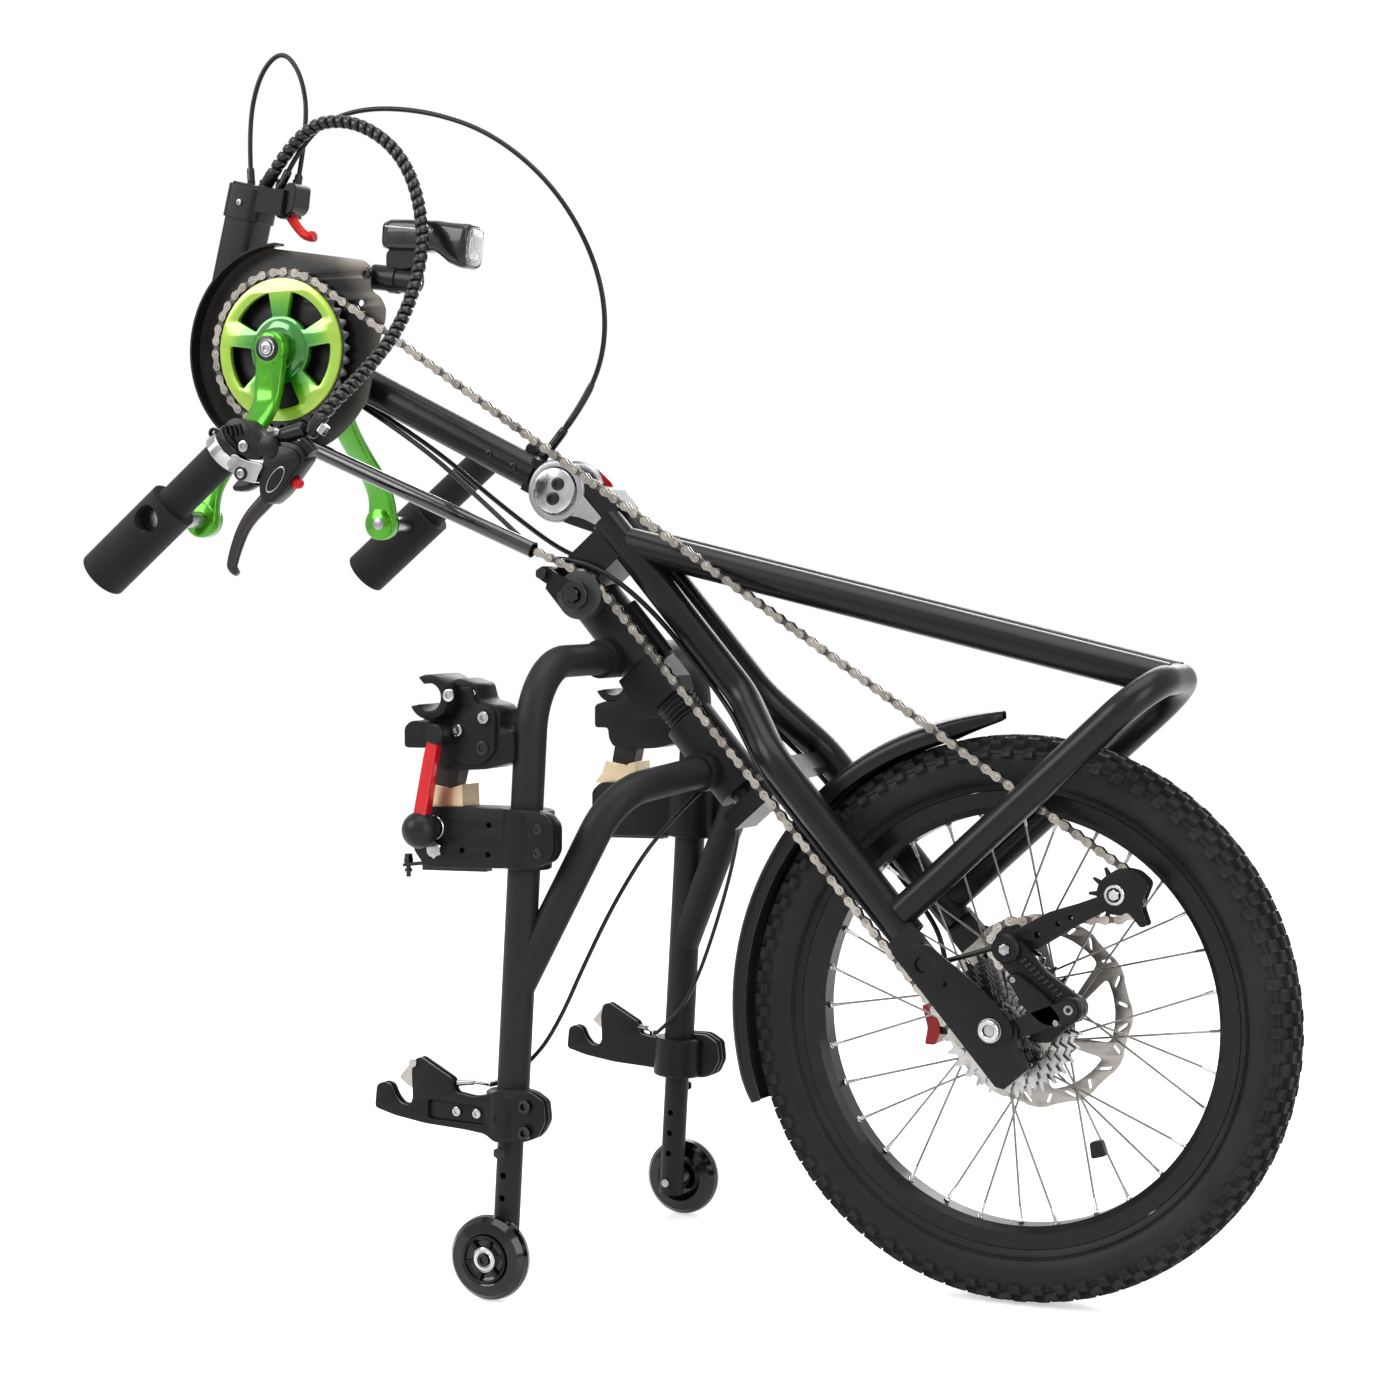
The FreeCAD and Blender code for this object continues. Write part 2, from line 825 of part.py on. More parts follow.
nodes["brake_rotor"] = fuse("brake_rotor", rotor_band_ring, rotor_hub_ring, *rotor_arms)

axle_bar = cylinder("axle_bar", d.axle_radius, 2 * d.axle_end,
                    (from_axle(0), -d.axle_end, d.axle_height), Y_AXIS)
nut_inner_y = d.dropout_inner_y + d.dropout_width
axle_nut_right = cylinder("axle_nut_right", d.axle_nut_radius, d.axle_nut_width,
                          (from_axle(0), -(nut_inner_y + d.axle_nut_width), d.axle_height),
                          Y_AXIS)
axle_nut_left = cylinder("axle_nut_left", d.axle_nut_radius, d.axle_nut_width,
                         (from_axle(0), nut_inner_y, d.axle_height), Y_AXIS)
nodes["wheel_axle"] = fuse("wheel_axle", axle_bar, axle_nut_right, axle_nut_left)

# Sprocket stack on the hub's drum
cassette_middle = CASSETTE_TEETH.index(21)
stack = []
for index, teeth in enumerate(CASSETTE_TEETH):
    y = -float(d.chain_y) + (index - cassette_middle) * float(d.sprocket_step)
    centre = (float(from_axle(0)), y, float(d.axle_height))
    bore = float(d.freehub_radius) + float(d.running_gap)
    stack.append(sprocket(teeth, d.sprocket_width, bore, centre))
first_y = -float(d.chain_y) - cassette_middle * float(d.sprocket_step)
last_step = len(CASSETTE_TEETH) - 1 - cassette_middle
last_y = -float(d.chain_y) + last_step * float(d.sprocket_step)
drum_low = Vector(float(from_axle(0)), first_y, float(d.axle_height))
drum = Part.makeCylinder(float(d.cassette_drum_radius), last_y - first_y, drum_low,
                         Vector(0, 1, 0))
drum_hole = Part.makeCylinder(float(d.freehub_radius) + float(d.running_gap),
                              last_y - first_y, drum_low, Vector(0, 1, 0))
nodes["cassette"] = computed("cassette", drum.cut(drum_hole).fuse(stack))

# Steering shaft with its yoke and crown, and the two fork blades
blade_paths = {}
for side, name in ((-1, "right"), (1, "left")):
    top_y = d.blade_top_y * side
    low_y = d.blade_low_y * side
    blade_paths[name] = bent_wire([
        head_point(d.blade_top, d.fork_offset, top_y),
        head_point(d.blade_splay_start, d.fork_offset, top_y),
        head_point(d.blade_splay_end, d.fork_offset, low_y),
        head_point(d.blade_end, d.fork_offset, low_y),
    ], (d.blade_bend, d.blade_bend))
blade_solids = {name: swept(path, d.blade_radius) for name, path in blade_paths.items()}

dropout_shares = ((0.0, 0.06), (0.0, 0.62), (0.5, 0.66), (0.62, 0.86), (0.68, 1.0),
                  (0.8, 1.0), (0.88, 0.78), (1.0, 0.68), (1.0, 0.1), (0.96, 0.0), (0.06, 0.0))
dropout_outline = slanted(d.dropout_start, d.dropout_low, d.dropout_length,
                          d.dropout_depth, dropout_shares)
dropout_y = d.dropout_inner_y + d.dropout_width / 2
dropout = plate("dropout", dropout_outline, d.dropout_width, -dropout_y,
                [(from_axle(0), d.axle_height, d.axle_radius + d.running_gap)])
blade_bar = computed("blade_bar", blade_solids["right"].cut(
    swept(blade_paths["right"], d.blade_radius - d.blade_wall)))
fork_blade = fuse("fork_blade", blade_bar, dropout)


def strap(label, first, last, half_width, thickness, y):
    """Flat bar with round ends between two places in X and Z, its middle at Y = y."""
    run = vector((last[0], 0, last[1])) - vector((first[0], 0, first[1]))
    across = run.cross(Vector(0, 1, 0)).normalize()
    side_x = half_width * across.x
    side_z = half_width * across.z
    bar = plate(label + "_bar", [
        (first[0] + side_x, first[1] + side_z), (last[0] + side_x, last[1] + side_z),
        (last[0] - side_x, last[1] - side_z), (first[0] - side_x, first[1] - side_z)],
        thickness, y)
    ends = [bar]
    for name, spot in (("first", first), ("last", last)):
        ends.append(cylinder("%s_%s" % (label, name), half_width, thickness,
                             (spot[0], y - thickness / 2, spot[1]), Y_AXIS))
    return fuse(label, *ends)


hanger_root = (from_axle(d.hanger_root_x), d.axle_height + d.hanger_root_rise)
hanger_tip = (from_axle(d.hanger_tip_x), d.axle_height + d.hanger_tip_rise)
hanger = strap("hanger", hanger_root, hanger_tip, d.hanger_radius, d.hanger_width,
               -(d.dropout_inner_y + d.hanger_width / 2))
hanger_hole = cylinder("hanger_hole", d.axle_radius + d.running_gap, d.dropout_inner_y,
                       (from_axle(0), -(d.dropout_inner_y * 1.5), d.axle_height), Y_AXIS)
fork_blade_right = cut("fork_blade_right", fuse("blade_with_hanger", fork_blade, hanger),
                       hanger_hole)
nodes["fork_blades"] = group("fork_blades", fork_blade_right,
                             mirrored("fork_blade_left", fork_blade))

shaft_bar = cylinder("shaft_bar", d.shaft_radius, d.shaft_end - d.shaft_top,
                     head_point(d.shaft_top, size(0), 0), HEAD_AXIS)
yoke_shares = ((0.0, 0.12), (0.0, 1.0), (1.0, 1.0), (1.0, 0.0), (0.2, 0.0))
yoke_depth = d.fork_offset - d.yoke_low
yoke_block = plate("yoke_block", slanted(d.yoke_top, d.yoke_low, d.yoke_length,
                                         yoke_depth, yoke_shares), d.yoke_width, 0)
crown_stem = plate("crown_stem", slanted(d.crown_start, d.yoke_low, d.crown_length,
                                         yoke_depth, ((0, 0), (0, 1), (1, 1), (1, 0))),
                   d.head_block_radius * 2, 0)
crown_bar = plate("crown_bar", slanted(d.crown_start, d.fork_offset - d.blade_radius,
                                       d.crown_length, d.blade_radius,
                                       ((0, 0), (0, 1), (1, 1), (1, 0))),
                  d.crown_width, 0)
blade_tools = computed("blade_tools", Part.makeCompound(list(blade_solids.values())))
steering_raw = fuse("steering_raw", shaft_bar, yoke_block, crown_stem, crown_bar)
nodes["steering_shaft"] = cut("steering_shaft", steering_raw, blade_tools)

# Guard frame: two top bars and the hoop in front of the wheel
hoop_path = bent_wire([
    (from_axle(d.hoop_foot_x), -d.hoop_y, d.hoop_foot_z),
    (from_axle(d.hoop_x), -d.hoop_y, d.hoop_z),
    (from_axle(d.hoop_x), d.hoop_y, d.hoop_z),
    (from_axle(d.hoop_foot_x), d.hoop_y, d.hoop_foot_z),
], (d.hoop_bend, d.hoop_bend))
bar_path = Part.Wire([Part.LineSegment(
    vector((from_axle(d.bar_start_x), -d.bar_y, d.bar_start_z)),
    vector((from_axle(d.hoop_x), -d.bar_y, d.hoop_z))).toShape()])
bar_solid = swept(bar_path, d.top_bar_radius)
mirror_plane = (Vector(0, 0, 0), Vector(0, 1, 0))
guard_shape = swept(hoop_path, d.bar_radius).fuse([bar_solid, bar_solid.mirror(*mirror_plane)])
guard_shape = guard_shape.cut(list(blade_solids.values()))
guard_pieces = sorted(guard_shape.Solids, key=lambda solid: solid.Volume)
nodes["guard_frame"] = cut("guard_frame", computed("guard_tubes", guard_pieces[-1]),
                           nodes["steering_shaft"])

# Mudguard: an arched strip around the tyre

def polar(radius, degrees):
    """Point on a circle round the Y axis, the angle counted from X towards Z."""
    turn = math.radians(float(degrees))
    return Vector(float(radius) * math.cos(turn), 0, float(radius) * math.sin(turn))


def arch_edge(radius, first, last):
    middle = polar(radius, (float(first) + float(last)) / 2)
    return Part.Arc(polar(radius, first), middle, polar(radius, last)).toShape()


guard_outer = mudguard_radius + d.mudguard_wall
front = d.mudguard_front_angle
rear = d.mudguard_rear_angle
arch_wire = Part.Wire([
    arch_edge(guard_outer, front, rear),
    Part.LineSegment(polar(guard_outer, rear), polar(mudguard_radius, rear)).toShape(),
    arch_edge(mudguard_radius, rear, front),
    Part.LineSegment(polar(mudguard_radius, front), polar(guard_outer, front)).toShape()])
arch = Part.Face(arch_wire).extrude(Vector(0, float(d.mudguard_width), 0))
arch.translate(vector(wheel_centre) - Vector(0, float(d.mudguard_width) / 2, 0))
tab = plate("tab", slanted(d.crown_start + d.crown_length, d.mudguard_tab_offset,
                           d.mudguard_tab_length, d.mudguard_tab_depth,
                           ((0, 0), (0, 1), (1, 1), (1, 0))), d.mudguard_tab_width, 0)
tab_tool = cylinder("tab_tool", mudguard_radius + d.mudguard_wall / 2, d.mudguard_width,
                    (wheel_centre[0], -(d.mudguard_width / 2), wheel_centre[2]), Y_AXIS)
nodes["mudguard"] = fuse("mudguard", computed("arch", arch), cut("tab_cut", tab, tab_tool))

# Brake caliper over the brake disc
caliper_block = block("caliper_block", (d.caliper_length, d.dropout_inner_y - d.caliper_low_y,
                                        d.caliper_height),
                      (from_axle(d.caliper_x), d.caliper_low_y,
                       d.axle_height - d.caliper_height / 2))
caliper_slot = block("caliper_slot", (d.caliper_length + d.overrun, d.caliper_slot,
                                      d.caliper_height + 2 * d.overrun),
                     (from_axle(d.caliper_x) + d.rim_wall * 3, rotor_y - d.caliper_slot / 2,
                      d.axle_height - d.caliper_height / 2 - d.overrun))
lug_shares = ((0.5, 0.6), (0.9, 0.55), (1.45, 1.12), (1.2, 1.5), (0.9, 1.4), (0.5, 0.95))
caliper_lug = plate("caliper_lug", framed(from_axle(d.caliper_x), d.axle_height
                                          - d.caliper_height / 2, d.caliper_length,
                                          d.caliper_height, lug_shares),
                    d.bolt_head_height, d.dropout_inner_y - d.bolt_head_height / 2)
nodes["brake_caliper"] = cut("brake_caliper", fuse("caliper_raw", caliper_block, caliper_lug),
                             caliper_slot)

# Knuckle between the fork and the boom
knuckle = (from_axle(d.knuckle_x), d.knuckle_z)
clevis_shares = ((0.0, 0.0), (0.0, 1.0), (-0.4, 1.0), (-0.72, 0.66), (-1.1, 0.28),
                 (-1.22, -0.1), (-1.22, -0.42), (-1.0, -0.64), (-0.66, -0.64), (-0.3, -0.3))
clevis_outline = slanted(d.blade_top, d.fork_offset - d.clevis_depth / 2,
                         d.knuckle_disc_radius * 3.2, d.clevis_depth, clevis_shares)
clevis_plate = plate("clevis_plate", clevis_outline, d.clevis_width, 0)
clevis_slot = cylinder("clevis_slot", d.clevis_clear_radius, d.clevis_slot,
                       (knuckle[0], -(d.clevis_slot / 2), knuckle[1]), Y_AXIS)
clevis_mouth = plate("clevis_mouth", slanted(d.clevis_run * -1, -d.clevis_depth,
                                             -(d.clevis_depth * 2), d.clevis_depth * 4,
                                             ((0, 0), (0, 1), (1, 1), (1, 0))),
                     d.clevis_slot, 0)
clevis_hole = cylinder("clevis_hole", d.knuckle_pin_radius, d.clevis_width * 2,
                       (knuckle[0], -d.clevis_width, knuckle[1]), Y_AXIS)
nodes["knuckle_clevis"] = cut("knuckle_clevis", clevis_plate, clevis_slot, clevis_mouth,
                              clevis_hole)
pin_bar = cylinder("pin_bar", d.knuckle_pin_radius, d.clevis_width,
                   (knuckle[0], -(d.clevis_width / 2), knuckle[1]), Y_AXIS)
disc_y = d.clevis_width / 2 + d.knuckle_disc_width
pin_disc = cylinder("pin_disc", d.knuckle_disc_radius, d.knuckle_disc_width,
                    (knuckle[0], -disc_y, knuckle[1]), Y_AXIS)
nodes["knuckle_pin"] = fuse("knuckle_pin", pin_bar, pin_disc)

lever_shares = ((-0.33, -0.14), (-0.2, 0.33), (0.22, 0.5), (0.6, 0.61), (0.97, 0.28),
                (1.3, -0.19), (1.17, -0.36), (0.8, 0.06), (0.5, 0.28), (0.3, 0.11),
                (0.14, -0.28), (-0.19, -0.33))
knuckle_lever_y = d.clevis_width / 2 + d.knuckle_lever_width / 2 + d.seat_gap
nodes["knuckle_lever"] = plate(
    "knuckle_lever", framed(knuckle[0], knuckle[1], d.knuckle_lever_length,
                            d.knuckle_lever_length, lever_shares),
    d.knuckle_lever_width, knuckle_lever_y)

# Boom from the knuckle to the crank's shell
crank = (from_axle(d.crank_x), d.crank_z)
boom_run = vector((crank[0], 0, crank[1])) - vector((knuckle[0], 0, knuckle[1]))
boom_heading = Vector(boom_run).normalize()
boom_length = boom_run.Length
BOOM_RUN_SHARE = boom_heading.x
BOOM_RISE_SHARE = boom_heading.z


def boom_point(run, offset, y=0):
    """Place at a run from the knuckle along the boom and an offset above it."""
    return (knuckle[0] + run * BOOM_RUN_SHARE + offset * BOOM_RISE_SHARE, size(y),
            knuckle[1] + run * BOOM_RISE_SHARE - offset * BOOM_RUN_SHARE)


def boom_outline(run, offset, length, height, shares):
    points = [boom_point(run + u * length, offset + v * height) for u, v in shares]
    return [(point[0], point[2]) for point in points]


eye = cylinder("eye", d.boom_eye_radius, d.clevis_slot - 2 * d.seat_gap,
               (knuckle[0], -(d.clevis_slot / 2 - d.seat_gap), knuckle[1]), Y_AXIS)
neck = plate("neck", boom_outline(size(0), -d.boom_radius, d.boom_neck + d.overrun,
                                  d.boom_radius * 2, ((0, 0), (1, 0), (1, 1), (0, 1))),
             d.clevis_slot - 2 * d.seat_gap, 0)
boom_bar = cylinder("boom_bar", d.boom_radius, boom_length - d.boom_neck,
                    boom_point(d.boom_neck, 0), (BOOM_RUN_SHARE, 0, BOOM_RISE_SHARE))
shell = cylinder("shell", d.shell_radius, d.shell_width,
                 (crank[0], -(d.shell_width / 2), crank[1]), Y_AXIS)
mast_arm = plate("mast_arm", boom_outline(size(boom_length), -d.boom_radius * 0.7,
                                          d.guard_rise, d.boom_radius * 1.4,
                                          ((0, 0), (1, 0), (1, 1), (0, 1))),
                 d.mast_arm_width, d.mast_y)
mast_top = (from_axle(d.mast_top_x), d.mast_y, d.mast_top_z)
mast_foot = (from_axle(d.mast_foot_x), d.mast_y, d.mast_foot_z)
mast_run = vector(mast_top) - vector(mast_foot)
mast_heading = tuple(Vector(mast_run).normalize())
mast_seat = cylinder("mast_seat", d.mast_radius, mast_run.Length, mast_foot, mast_heading)
eye_hole = cylinder("eye_hole", d.knuckle_pin_radius + d.running_gap, d.clevis_width,
                    (knuckle[0], -(d.clevis_width / 2), knuckle[1]), Y_AXIS)
shell_hole = cylinder("shell_hole", d.shell_bore_radius, d.shell_width * 2,
                      (crank[0], -d.shell_width, crank[1]), Y_AXIS)
boom_hole = cylinder("boom_hole", d.boom_radius - d.boom_wall,
                     boom_length - d.boom_neck - d.shell_radius - d.overrun,
                     boom_point(d.boom_neck + d.overrun, 0),
                     (BOOM_RUN_SHARE, 0, BOOM_RISE_SHARE))
boom_raw = fuse("boom_raw", eye, neck, boom_bar, shell, mast_arm)
boom_tube = cut("boom_tube", boom_raw, eye_hole, shell_hole, boom_hole, mast_seat)

bearing_y = d.shell_width / 2 - d.bearing_width
bearing_right = ring("bearing_right", d.shell_bore_radius, d.crank_axle_radius + d.running_gap,
                     d.bearing_width, (crank[0], -(d.shell_width / 2), crank[1]), Y_AXIS)
bearing_left = ring("bearing_left", d.shell_bore_radius, d.crank_axle_radius + d.running_gap,
                    d.bearing_width, (crank[0], bearing_y, crank[1]), Y_AXIS)
nodes["boom"] = group("boom", boom_tube, bearing_right, bearing_left)

# Crank: axle, chainring, the two splayed arms and the pedal axles
axle_half = d.arm_inner_y + d.arm_thickness
nodes["crank_axle"] = cylinder("crank_axle", d.crank_axle_radius, axle_half * 2,
                               (crank[0], -axle_half, crank[1]), Y_AXIS)

ring_centre = (crank[0], -d.chain_y, crank[1])
chainring_teeth = computed("chainring_teeth", sprocket(CHAINRING_TEETH, d.tooth_width,
                                                       d.window_outer_radius, ring_centre))
ring_disc = cylinder("ring_disc", d.chainring_disc_radius, d.chainring_width,
                     (crank[0], -(d.chain_y + d.chainring_width / 2), crank[1]), Y_AXIS)
ring_hub = cylinder("ring_hub", d.chainring_hub_radius, d.arm_inner_y - d.chain_y
                    + d.chainring_width / 2, (crank[0], -d.arm_inner_y, crank[1]), Y_AXIS)
ring_hole = cylinder("ring_hole", d.crank_axle_radius, d.arm_inner_y * 2,
                     (crank[0], -d.arm_inner_y * 1.5, crank[1]), Y_AXIS)
window_solids = []
for index in range(CHAINRING_WINDOWS):
    turn = 360.0 * index / CHAINRING_WINDOWS
    window = Part.makeCylinder(float(d.window_outer_radius), float(d.chainring_width) * 2,
                               Vector(0, -float(d.chainring_width), 0), Vector(0, 1, 0),
                               360.0 / CHAINRING_WINDOWS * 0.72)
    core = Part.makeCylinder(float(d.window_inner_radius), float(d.chainring_width) * 4,
                             Vector(0, -float(d.chainring_width) * 2, 0), Vector(0, 1, 0))
    window = window.cut(core)
    window.rotate(Vector(0, 0, 0), Vector(0, 1, 0), turn)
    window.translate(vector(ring_centre))
    window_solids.append(window)
windows = computed("windows", Part.makeCompound(window_solids))
nodes["chainring"] = cut("chainring", fuse("ring_raw", chainring_teeth, ring_disc, ring_hub),
                         ring_hole, windows)

arm_in = d.arm_inner_y
arm_out = d.arm_inner_y + d.arm_thickness
end_in = d.arm_end_y - d.arm_thickness / 2
end_out = d.arm_end_y + d.arm_thickness / 2
arm_side = padded("arm_side", [
    (-arm_in, d.arm_width / 2), (-arm_in, -(d.arm_knee + d.arm_thickness / 3)),
    (-end_in, -(d.arm_length - d.arm_foot + d.arm_thickness / 3)),
    (-end_in, -(d.arm_length + d.arm_end_radius)),
    (-end_out, -(d.arm_length + d.arm_end_radius)),
    (-end_out, -(d.arm_length - d.arm_foot)), (-arm_out, -d.arm_knee),
    (-arm_out, d.arm_width / 2)], d.arm_width * 2, "YZ_Plane")
half_width = d.arm_width / 2
arm_front = padded("arm_front", [
    (-half_width, half_width), (half_width, half_width),
    (d.arm_end_radius, -(d.arm_length + d.arm_end_radius)),
    (-d.arm_end_radius, -(d.arm_length + d.arm_end_radius))], d.arm_end_y * 3)
rounded(arm_front, d.arm_end_radius - d.overrun, Y_AXIS)
arm_blank = common("arm_blank", arm_side, arm_front)
arm_axle_hole = cylinder("arm_axle_hole", d.crank_axle_radius, d.arm_end_y * 2,
                         (0, -d.arm_end_y, 0), Y_AXIS)
arm_pedal_hole = cylinder("arm_pedal_hole", d.pedal_radius, d.arm_end_y * 2,
                          (0, -d.arm_end_y * 2, -d.arm_length), Y_AXIS)
arm_right = cut("arm_right", arm_blank, arm_axle_hole, arm_pedal_hole)
crank_turn = Rotation(Vector(0, 1, 0), float(d.crank_lean))
place(arm_right, (crank[0], 0, crank[1]), crank_turn)
nodes["crank_arm_right"] = arm_right
nodes["crank_arm_left"] = mirrored("arm_left", arm_right)

LEAN_RUN_SHARE = math.sin(math.radians(float(d.crank_lean)))
LEAN_DROP_SHARE = math.cos(math.radians(float(d.crank_lean)))
pedal = (crank[0] - d.arm_length * LEAN_RUN_SHARE, crank[1] - d.arm_length * LEAN_DROP_SHARE)
pedal_axle = cylinder("pedal_axle", d.pedal_radius, d.pedal_end_y - end_in,
                      (pedal[0], -d.pedal_end_y, pedal[1]), Y_AXIS)
nodes["pedal_axles"] = group("pedal_axles", pedal_axle,
                             mirrored("pedal_axle_left", pedal_axle))

# Handles that swivel on the pedal axles
HANDLE_RUN_SHARE = math.cos(math.radians(float(d.handle_angle)))
HANDLE_RISE_SHARE = math.sin(math.radians(float(d.handle_angle)))
HANDLE_AXIS = (HANDLE_RUN_SHARE, 0, HANDLE_RISE_SHARE)


def handle_point(run, y):
    return (pedal[0] + run * HANDLE_RUN_SHARE, y, pedal[1] + run * HANDLE_RISE_SHARE)


sleeve = cylinder("sleeve", d.sleeve_radius, d.sleeve_back + d.sleeve_front,
                  handle_point(-d.sleeve_back, -d.handle_y), HANDLE_AXIS)
grip = cylinder("grip", d.grip_radius, d.grip_end - d.sleeve_front + d.overrun,
                handle_point(d.sleeve_front - d.overrun, -d.handle_y), HANDLE_AXIS)
handle_bore = cylinder("handle_bore", d.pedal_radius + d.running_gap, d.sleeve_radius * 3,
                       (pedal[0], -(d.pedal_end_y + d.overrun), pedal[1]), Y_AXIS)
handle_recess = cylinder("handle_recess", d.recess_radius, d.recess_depth + d.overrun,
                         (pedal[0], -(d.handle_y + d.sleeve_radius + d.overrun), pedal[1]),
                         Y_AXIS)
handle_right = cut("handle_right", fuse("handle_raw", sleeve, grip), handle_bore, handle_recess)
nodes["handle_right"] = handle_right
nodes["handle_left"] = mirrored("handle_left", handle_right)

band = ring("band", d.band_radius, d.grip_radius, d.band_width,
            handle_point(d.band_start, -d.handle_y), HANDLE_AXIS)
control_shares = ((0.06, 0.22), (0.35, 0.12), (0.58, 0.05), (0.81, 0.16), (0.96, 0.41),
                  (0.99, 0.62), (0.85, 0.77), (0.63, 0.75), (0.46, 0.69), (0.31, 0.81),
                  (0.15, 1.0), (-0.04, 0.94), (0.0, 0.5))
control_case = plate("control_case", framed(from_axle(d.control_x), d.control_z,
                                            d.control_length, d.control_height,
                                            control_shares), d.control_width, -d.handle_y)
grip_tool = cylinder("grip_tool", d.grip_radius, d.grip_end + d.overrun,
                     handle_point(size(0), -d.handle_y), HANDLE_AXIS)
lever_pivot = (from_axle(d.lever_pivot_x), d.lever_pivot_z)
paddle_pivot = (from_axle(d.paddle_pivot_x), d.paddle_pivot_z)
lever_slot = block("lever_slot", (d.lever_slot_length, d.lever_width + 2 * d.seat_gap,
                                  d.lever_slot_height),
                   (lever_pivot[0] - d.lever_slot_length / 2,
                    -(d.handle_y + d.lever_width / 2 + d.seat_gap),
                    lever_pivot[1] - d.lever_slot_height * 0.7))
paddle_slot = block("paddle_slot", (d.paddle_length, d.lever_width + 2 * d.seat_gap,
                                    d.paddle_height * 1.4),
                    (paddle_pivot[0] - d.paddle_length / 2,
                     -(d.handle_y + d.lever_width / 2 + d.seat_gap),
                     paddle_pivot[1] - d.paddle_height * 0.7))
button_bore = cylinder("button_bore", d.knob_radius + d.running_gap, d.knob_length
                       + d.button_travel, (from_axle(d.button_x), -d.handle_y, d.button_z),
                       (0, 0, 1))
case_shell = cut("case_shell", fuse("control_raw", control_case, band), grip_tool, lever_slot,
                 paddle_slot, button_bore)
pin_length = d.control_width - d.seat_gap
lever_pin = cylinder("lever_pin", d.small_pin_radius, pin_length,
                     (lever_pivot[0], -(d.handle_y + pin_length / 2), lever_pivot[1]), Y_AXIS)
paddle_pin = cylinder("paddle_pin", d.small_pin_radius, pin_length,
                      (paddle_pivot[0], -(d.handle_y + pin_length / 2), paddle_pivot[1]),
                      Y_AXIS)
nodes["brake_master"] = fuse("brake_master", case_shell, lever_pin, paddle_pin)

blade_shares = ((-0.1, 0.06), (0.1, 0.06), (0.14, -0.12), (-0.3, -0.42), (-0.6, -0.66),
                (-0.66, -0.84), (-0.54, -1.0), (-0.68, -1.02), (-0.86, -0.82), (-0.8, -0.58),
                (-0.45, -0.3), (-0.12, -0.1))
nodes["brake_lever"] = plate(
    "brake_lever", framed(lever_pivot[0], lever_pivot[1], d.lever_drop * 0.8, d.lever_drop,
                          blade_shares), d.lever_width, -d.handle_y,
    [(lever_pivot[0], lever_pivot[1], d.small_pin_radius + d.running_gap)])
paddle_shares = ((-0.3, 0.3), (0.3, 0.3), (0.34, -0.5), (0.3, -1.3), (-0.1, -1.45), (-0.4, -1.2),
                 (-0.36, -0.5))
nodes["shift_paddle"] = plate(
    "shift_paddle", framed(paddle_pivot[0], paddle_pivot[1], d.paddle_length * 0.8,
                           d.paddle_height, paddle_shares), d.lever_width, -d.handle_y,
    [(paddle_pivot[0], paddle_pivot[1], d.small_pin_radius + d.running_gap)])
nodes["lock_button"] = cylinder("lock_button", d.knob_radius, d.knob_length * 1.6,
                                (from_axle(d.button_x), -d.handle_y, d.button_z
                                 - d.knob_length * 0.6), (0, 0, 1))

# Chain guard behind the chainring, with the lamp on its lug
guard_y = d.shell_width / 2 + d.guard_width
guard_disc = cylinder("guard_disc", d.guard_radius, d.guard_width,
                      (crank[0], -guard_y, crank[1]), Y_AXIS)
guard_wing = plate("guard_wing", [
    (crank[0] - d.shell_radius, crank[1] + d.guard_rise),
    (crank[0] + d.guard_front * 0.84, crank[1] + d.guard_rise * 0.9),
    (crank[0] + d.guard_front * 0.84, crank[1] + d.guard_rise * 0.66),
    (crank[0] + d.guard_front, crank[1] + d.guard_drop),
    (crank[0] + d.guard_front * 0.72, crank[1] - d.guard_drop),
    (crank[0], crank[1])], d.guard_width, -(guard_y - d.guard_width / 2))
guard_hole = cylinder("guard_hole", d.crank_axle_radius + d.overrun, d.shell_width,
                      (crank[0], -d.shell_width, crank[1]), Y_AXIS)
lamp_pivot = (from_axle(d.lamp_pivot_x), d.lamp_pivot_z)
post_y = d.shell_width / 2 - d.lamp_post_width / 2
lamp_post = strap("lamp_post", (crank[0] + d.guard_front * 0.72, lamp_pivot[1]), lamp_pivot,
                  d.lamp_post_radius, d.lamp_post_width, -post_y)
lamp_post_hole = cylinder("lamp_post_hole", d.small_pin_radius + d.running_gap, d.shell_width,
                          (lamp_pivot[0], -d.shell_width, lamp_pivot[1]), Y_AXIS)
nodes["chain_guard"] = cut("chain_guard", fuse("guard_raw", guard_disc, guard_wing, lamp_post),
                           guard_hole, lamp_post_hole)

lamp_profile = [
    (size(0), size(0)), (d.lamp_radius * 0.94, size(0)), (d.lamp_radius, d.lamp_length * 0.04),
    (d.lamp_radius, d.lamp_length * 0.35), (d.lamp_tail_radius, d.lamp_length * 0.6),
    (d.lamp_tail_radius, d.lamp_length * 0.95), (d.lamp_tail_radius * 0.8, d.lamp_length),
    (size(0), d.lamp_length)]
LAMP_SLOPE_SHARE = 0.12
lamp_case = turned("lamp_case", lamp_profile, (from_axle(d.lamp_x), -d.lamp_y, d.lamp_z),
                   (-1, 0, LAMP_SLOPE_SHARE))
neck_y = post_y - d.lamp_post_width - d.seat_gap
lamp_neck = strap("lamp_neck", lamp_pivot, (lamp_pivot[0], d.lamp_z), d.lamp_post_radius,
                  d.lamp_post_width, -neck_y)
pin_end_y = post_y + d.lamp_post_width / 2
lamp_pin = cylinder("lamp_pin", d.small_pin_radius, d.lamp_post_width * 1.5,
                    (lamp_pivot[0], -pin_end_y, lamp_pivot[1]), Y_AXIS)
nodes["lamp"] = fuse("lamp", lamp_case, lamp_neck, lamp_pin)

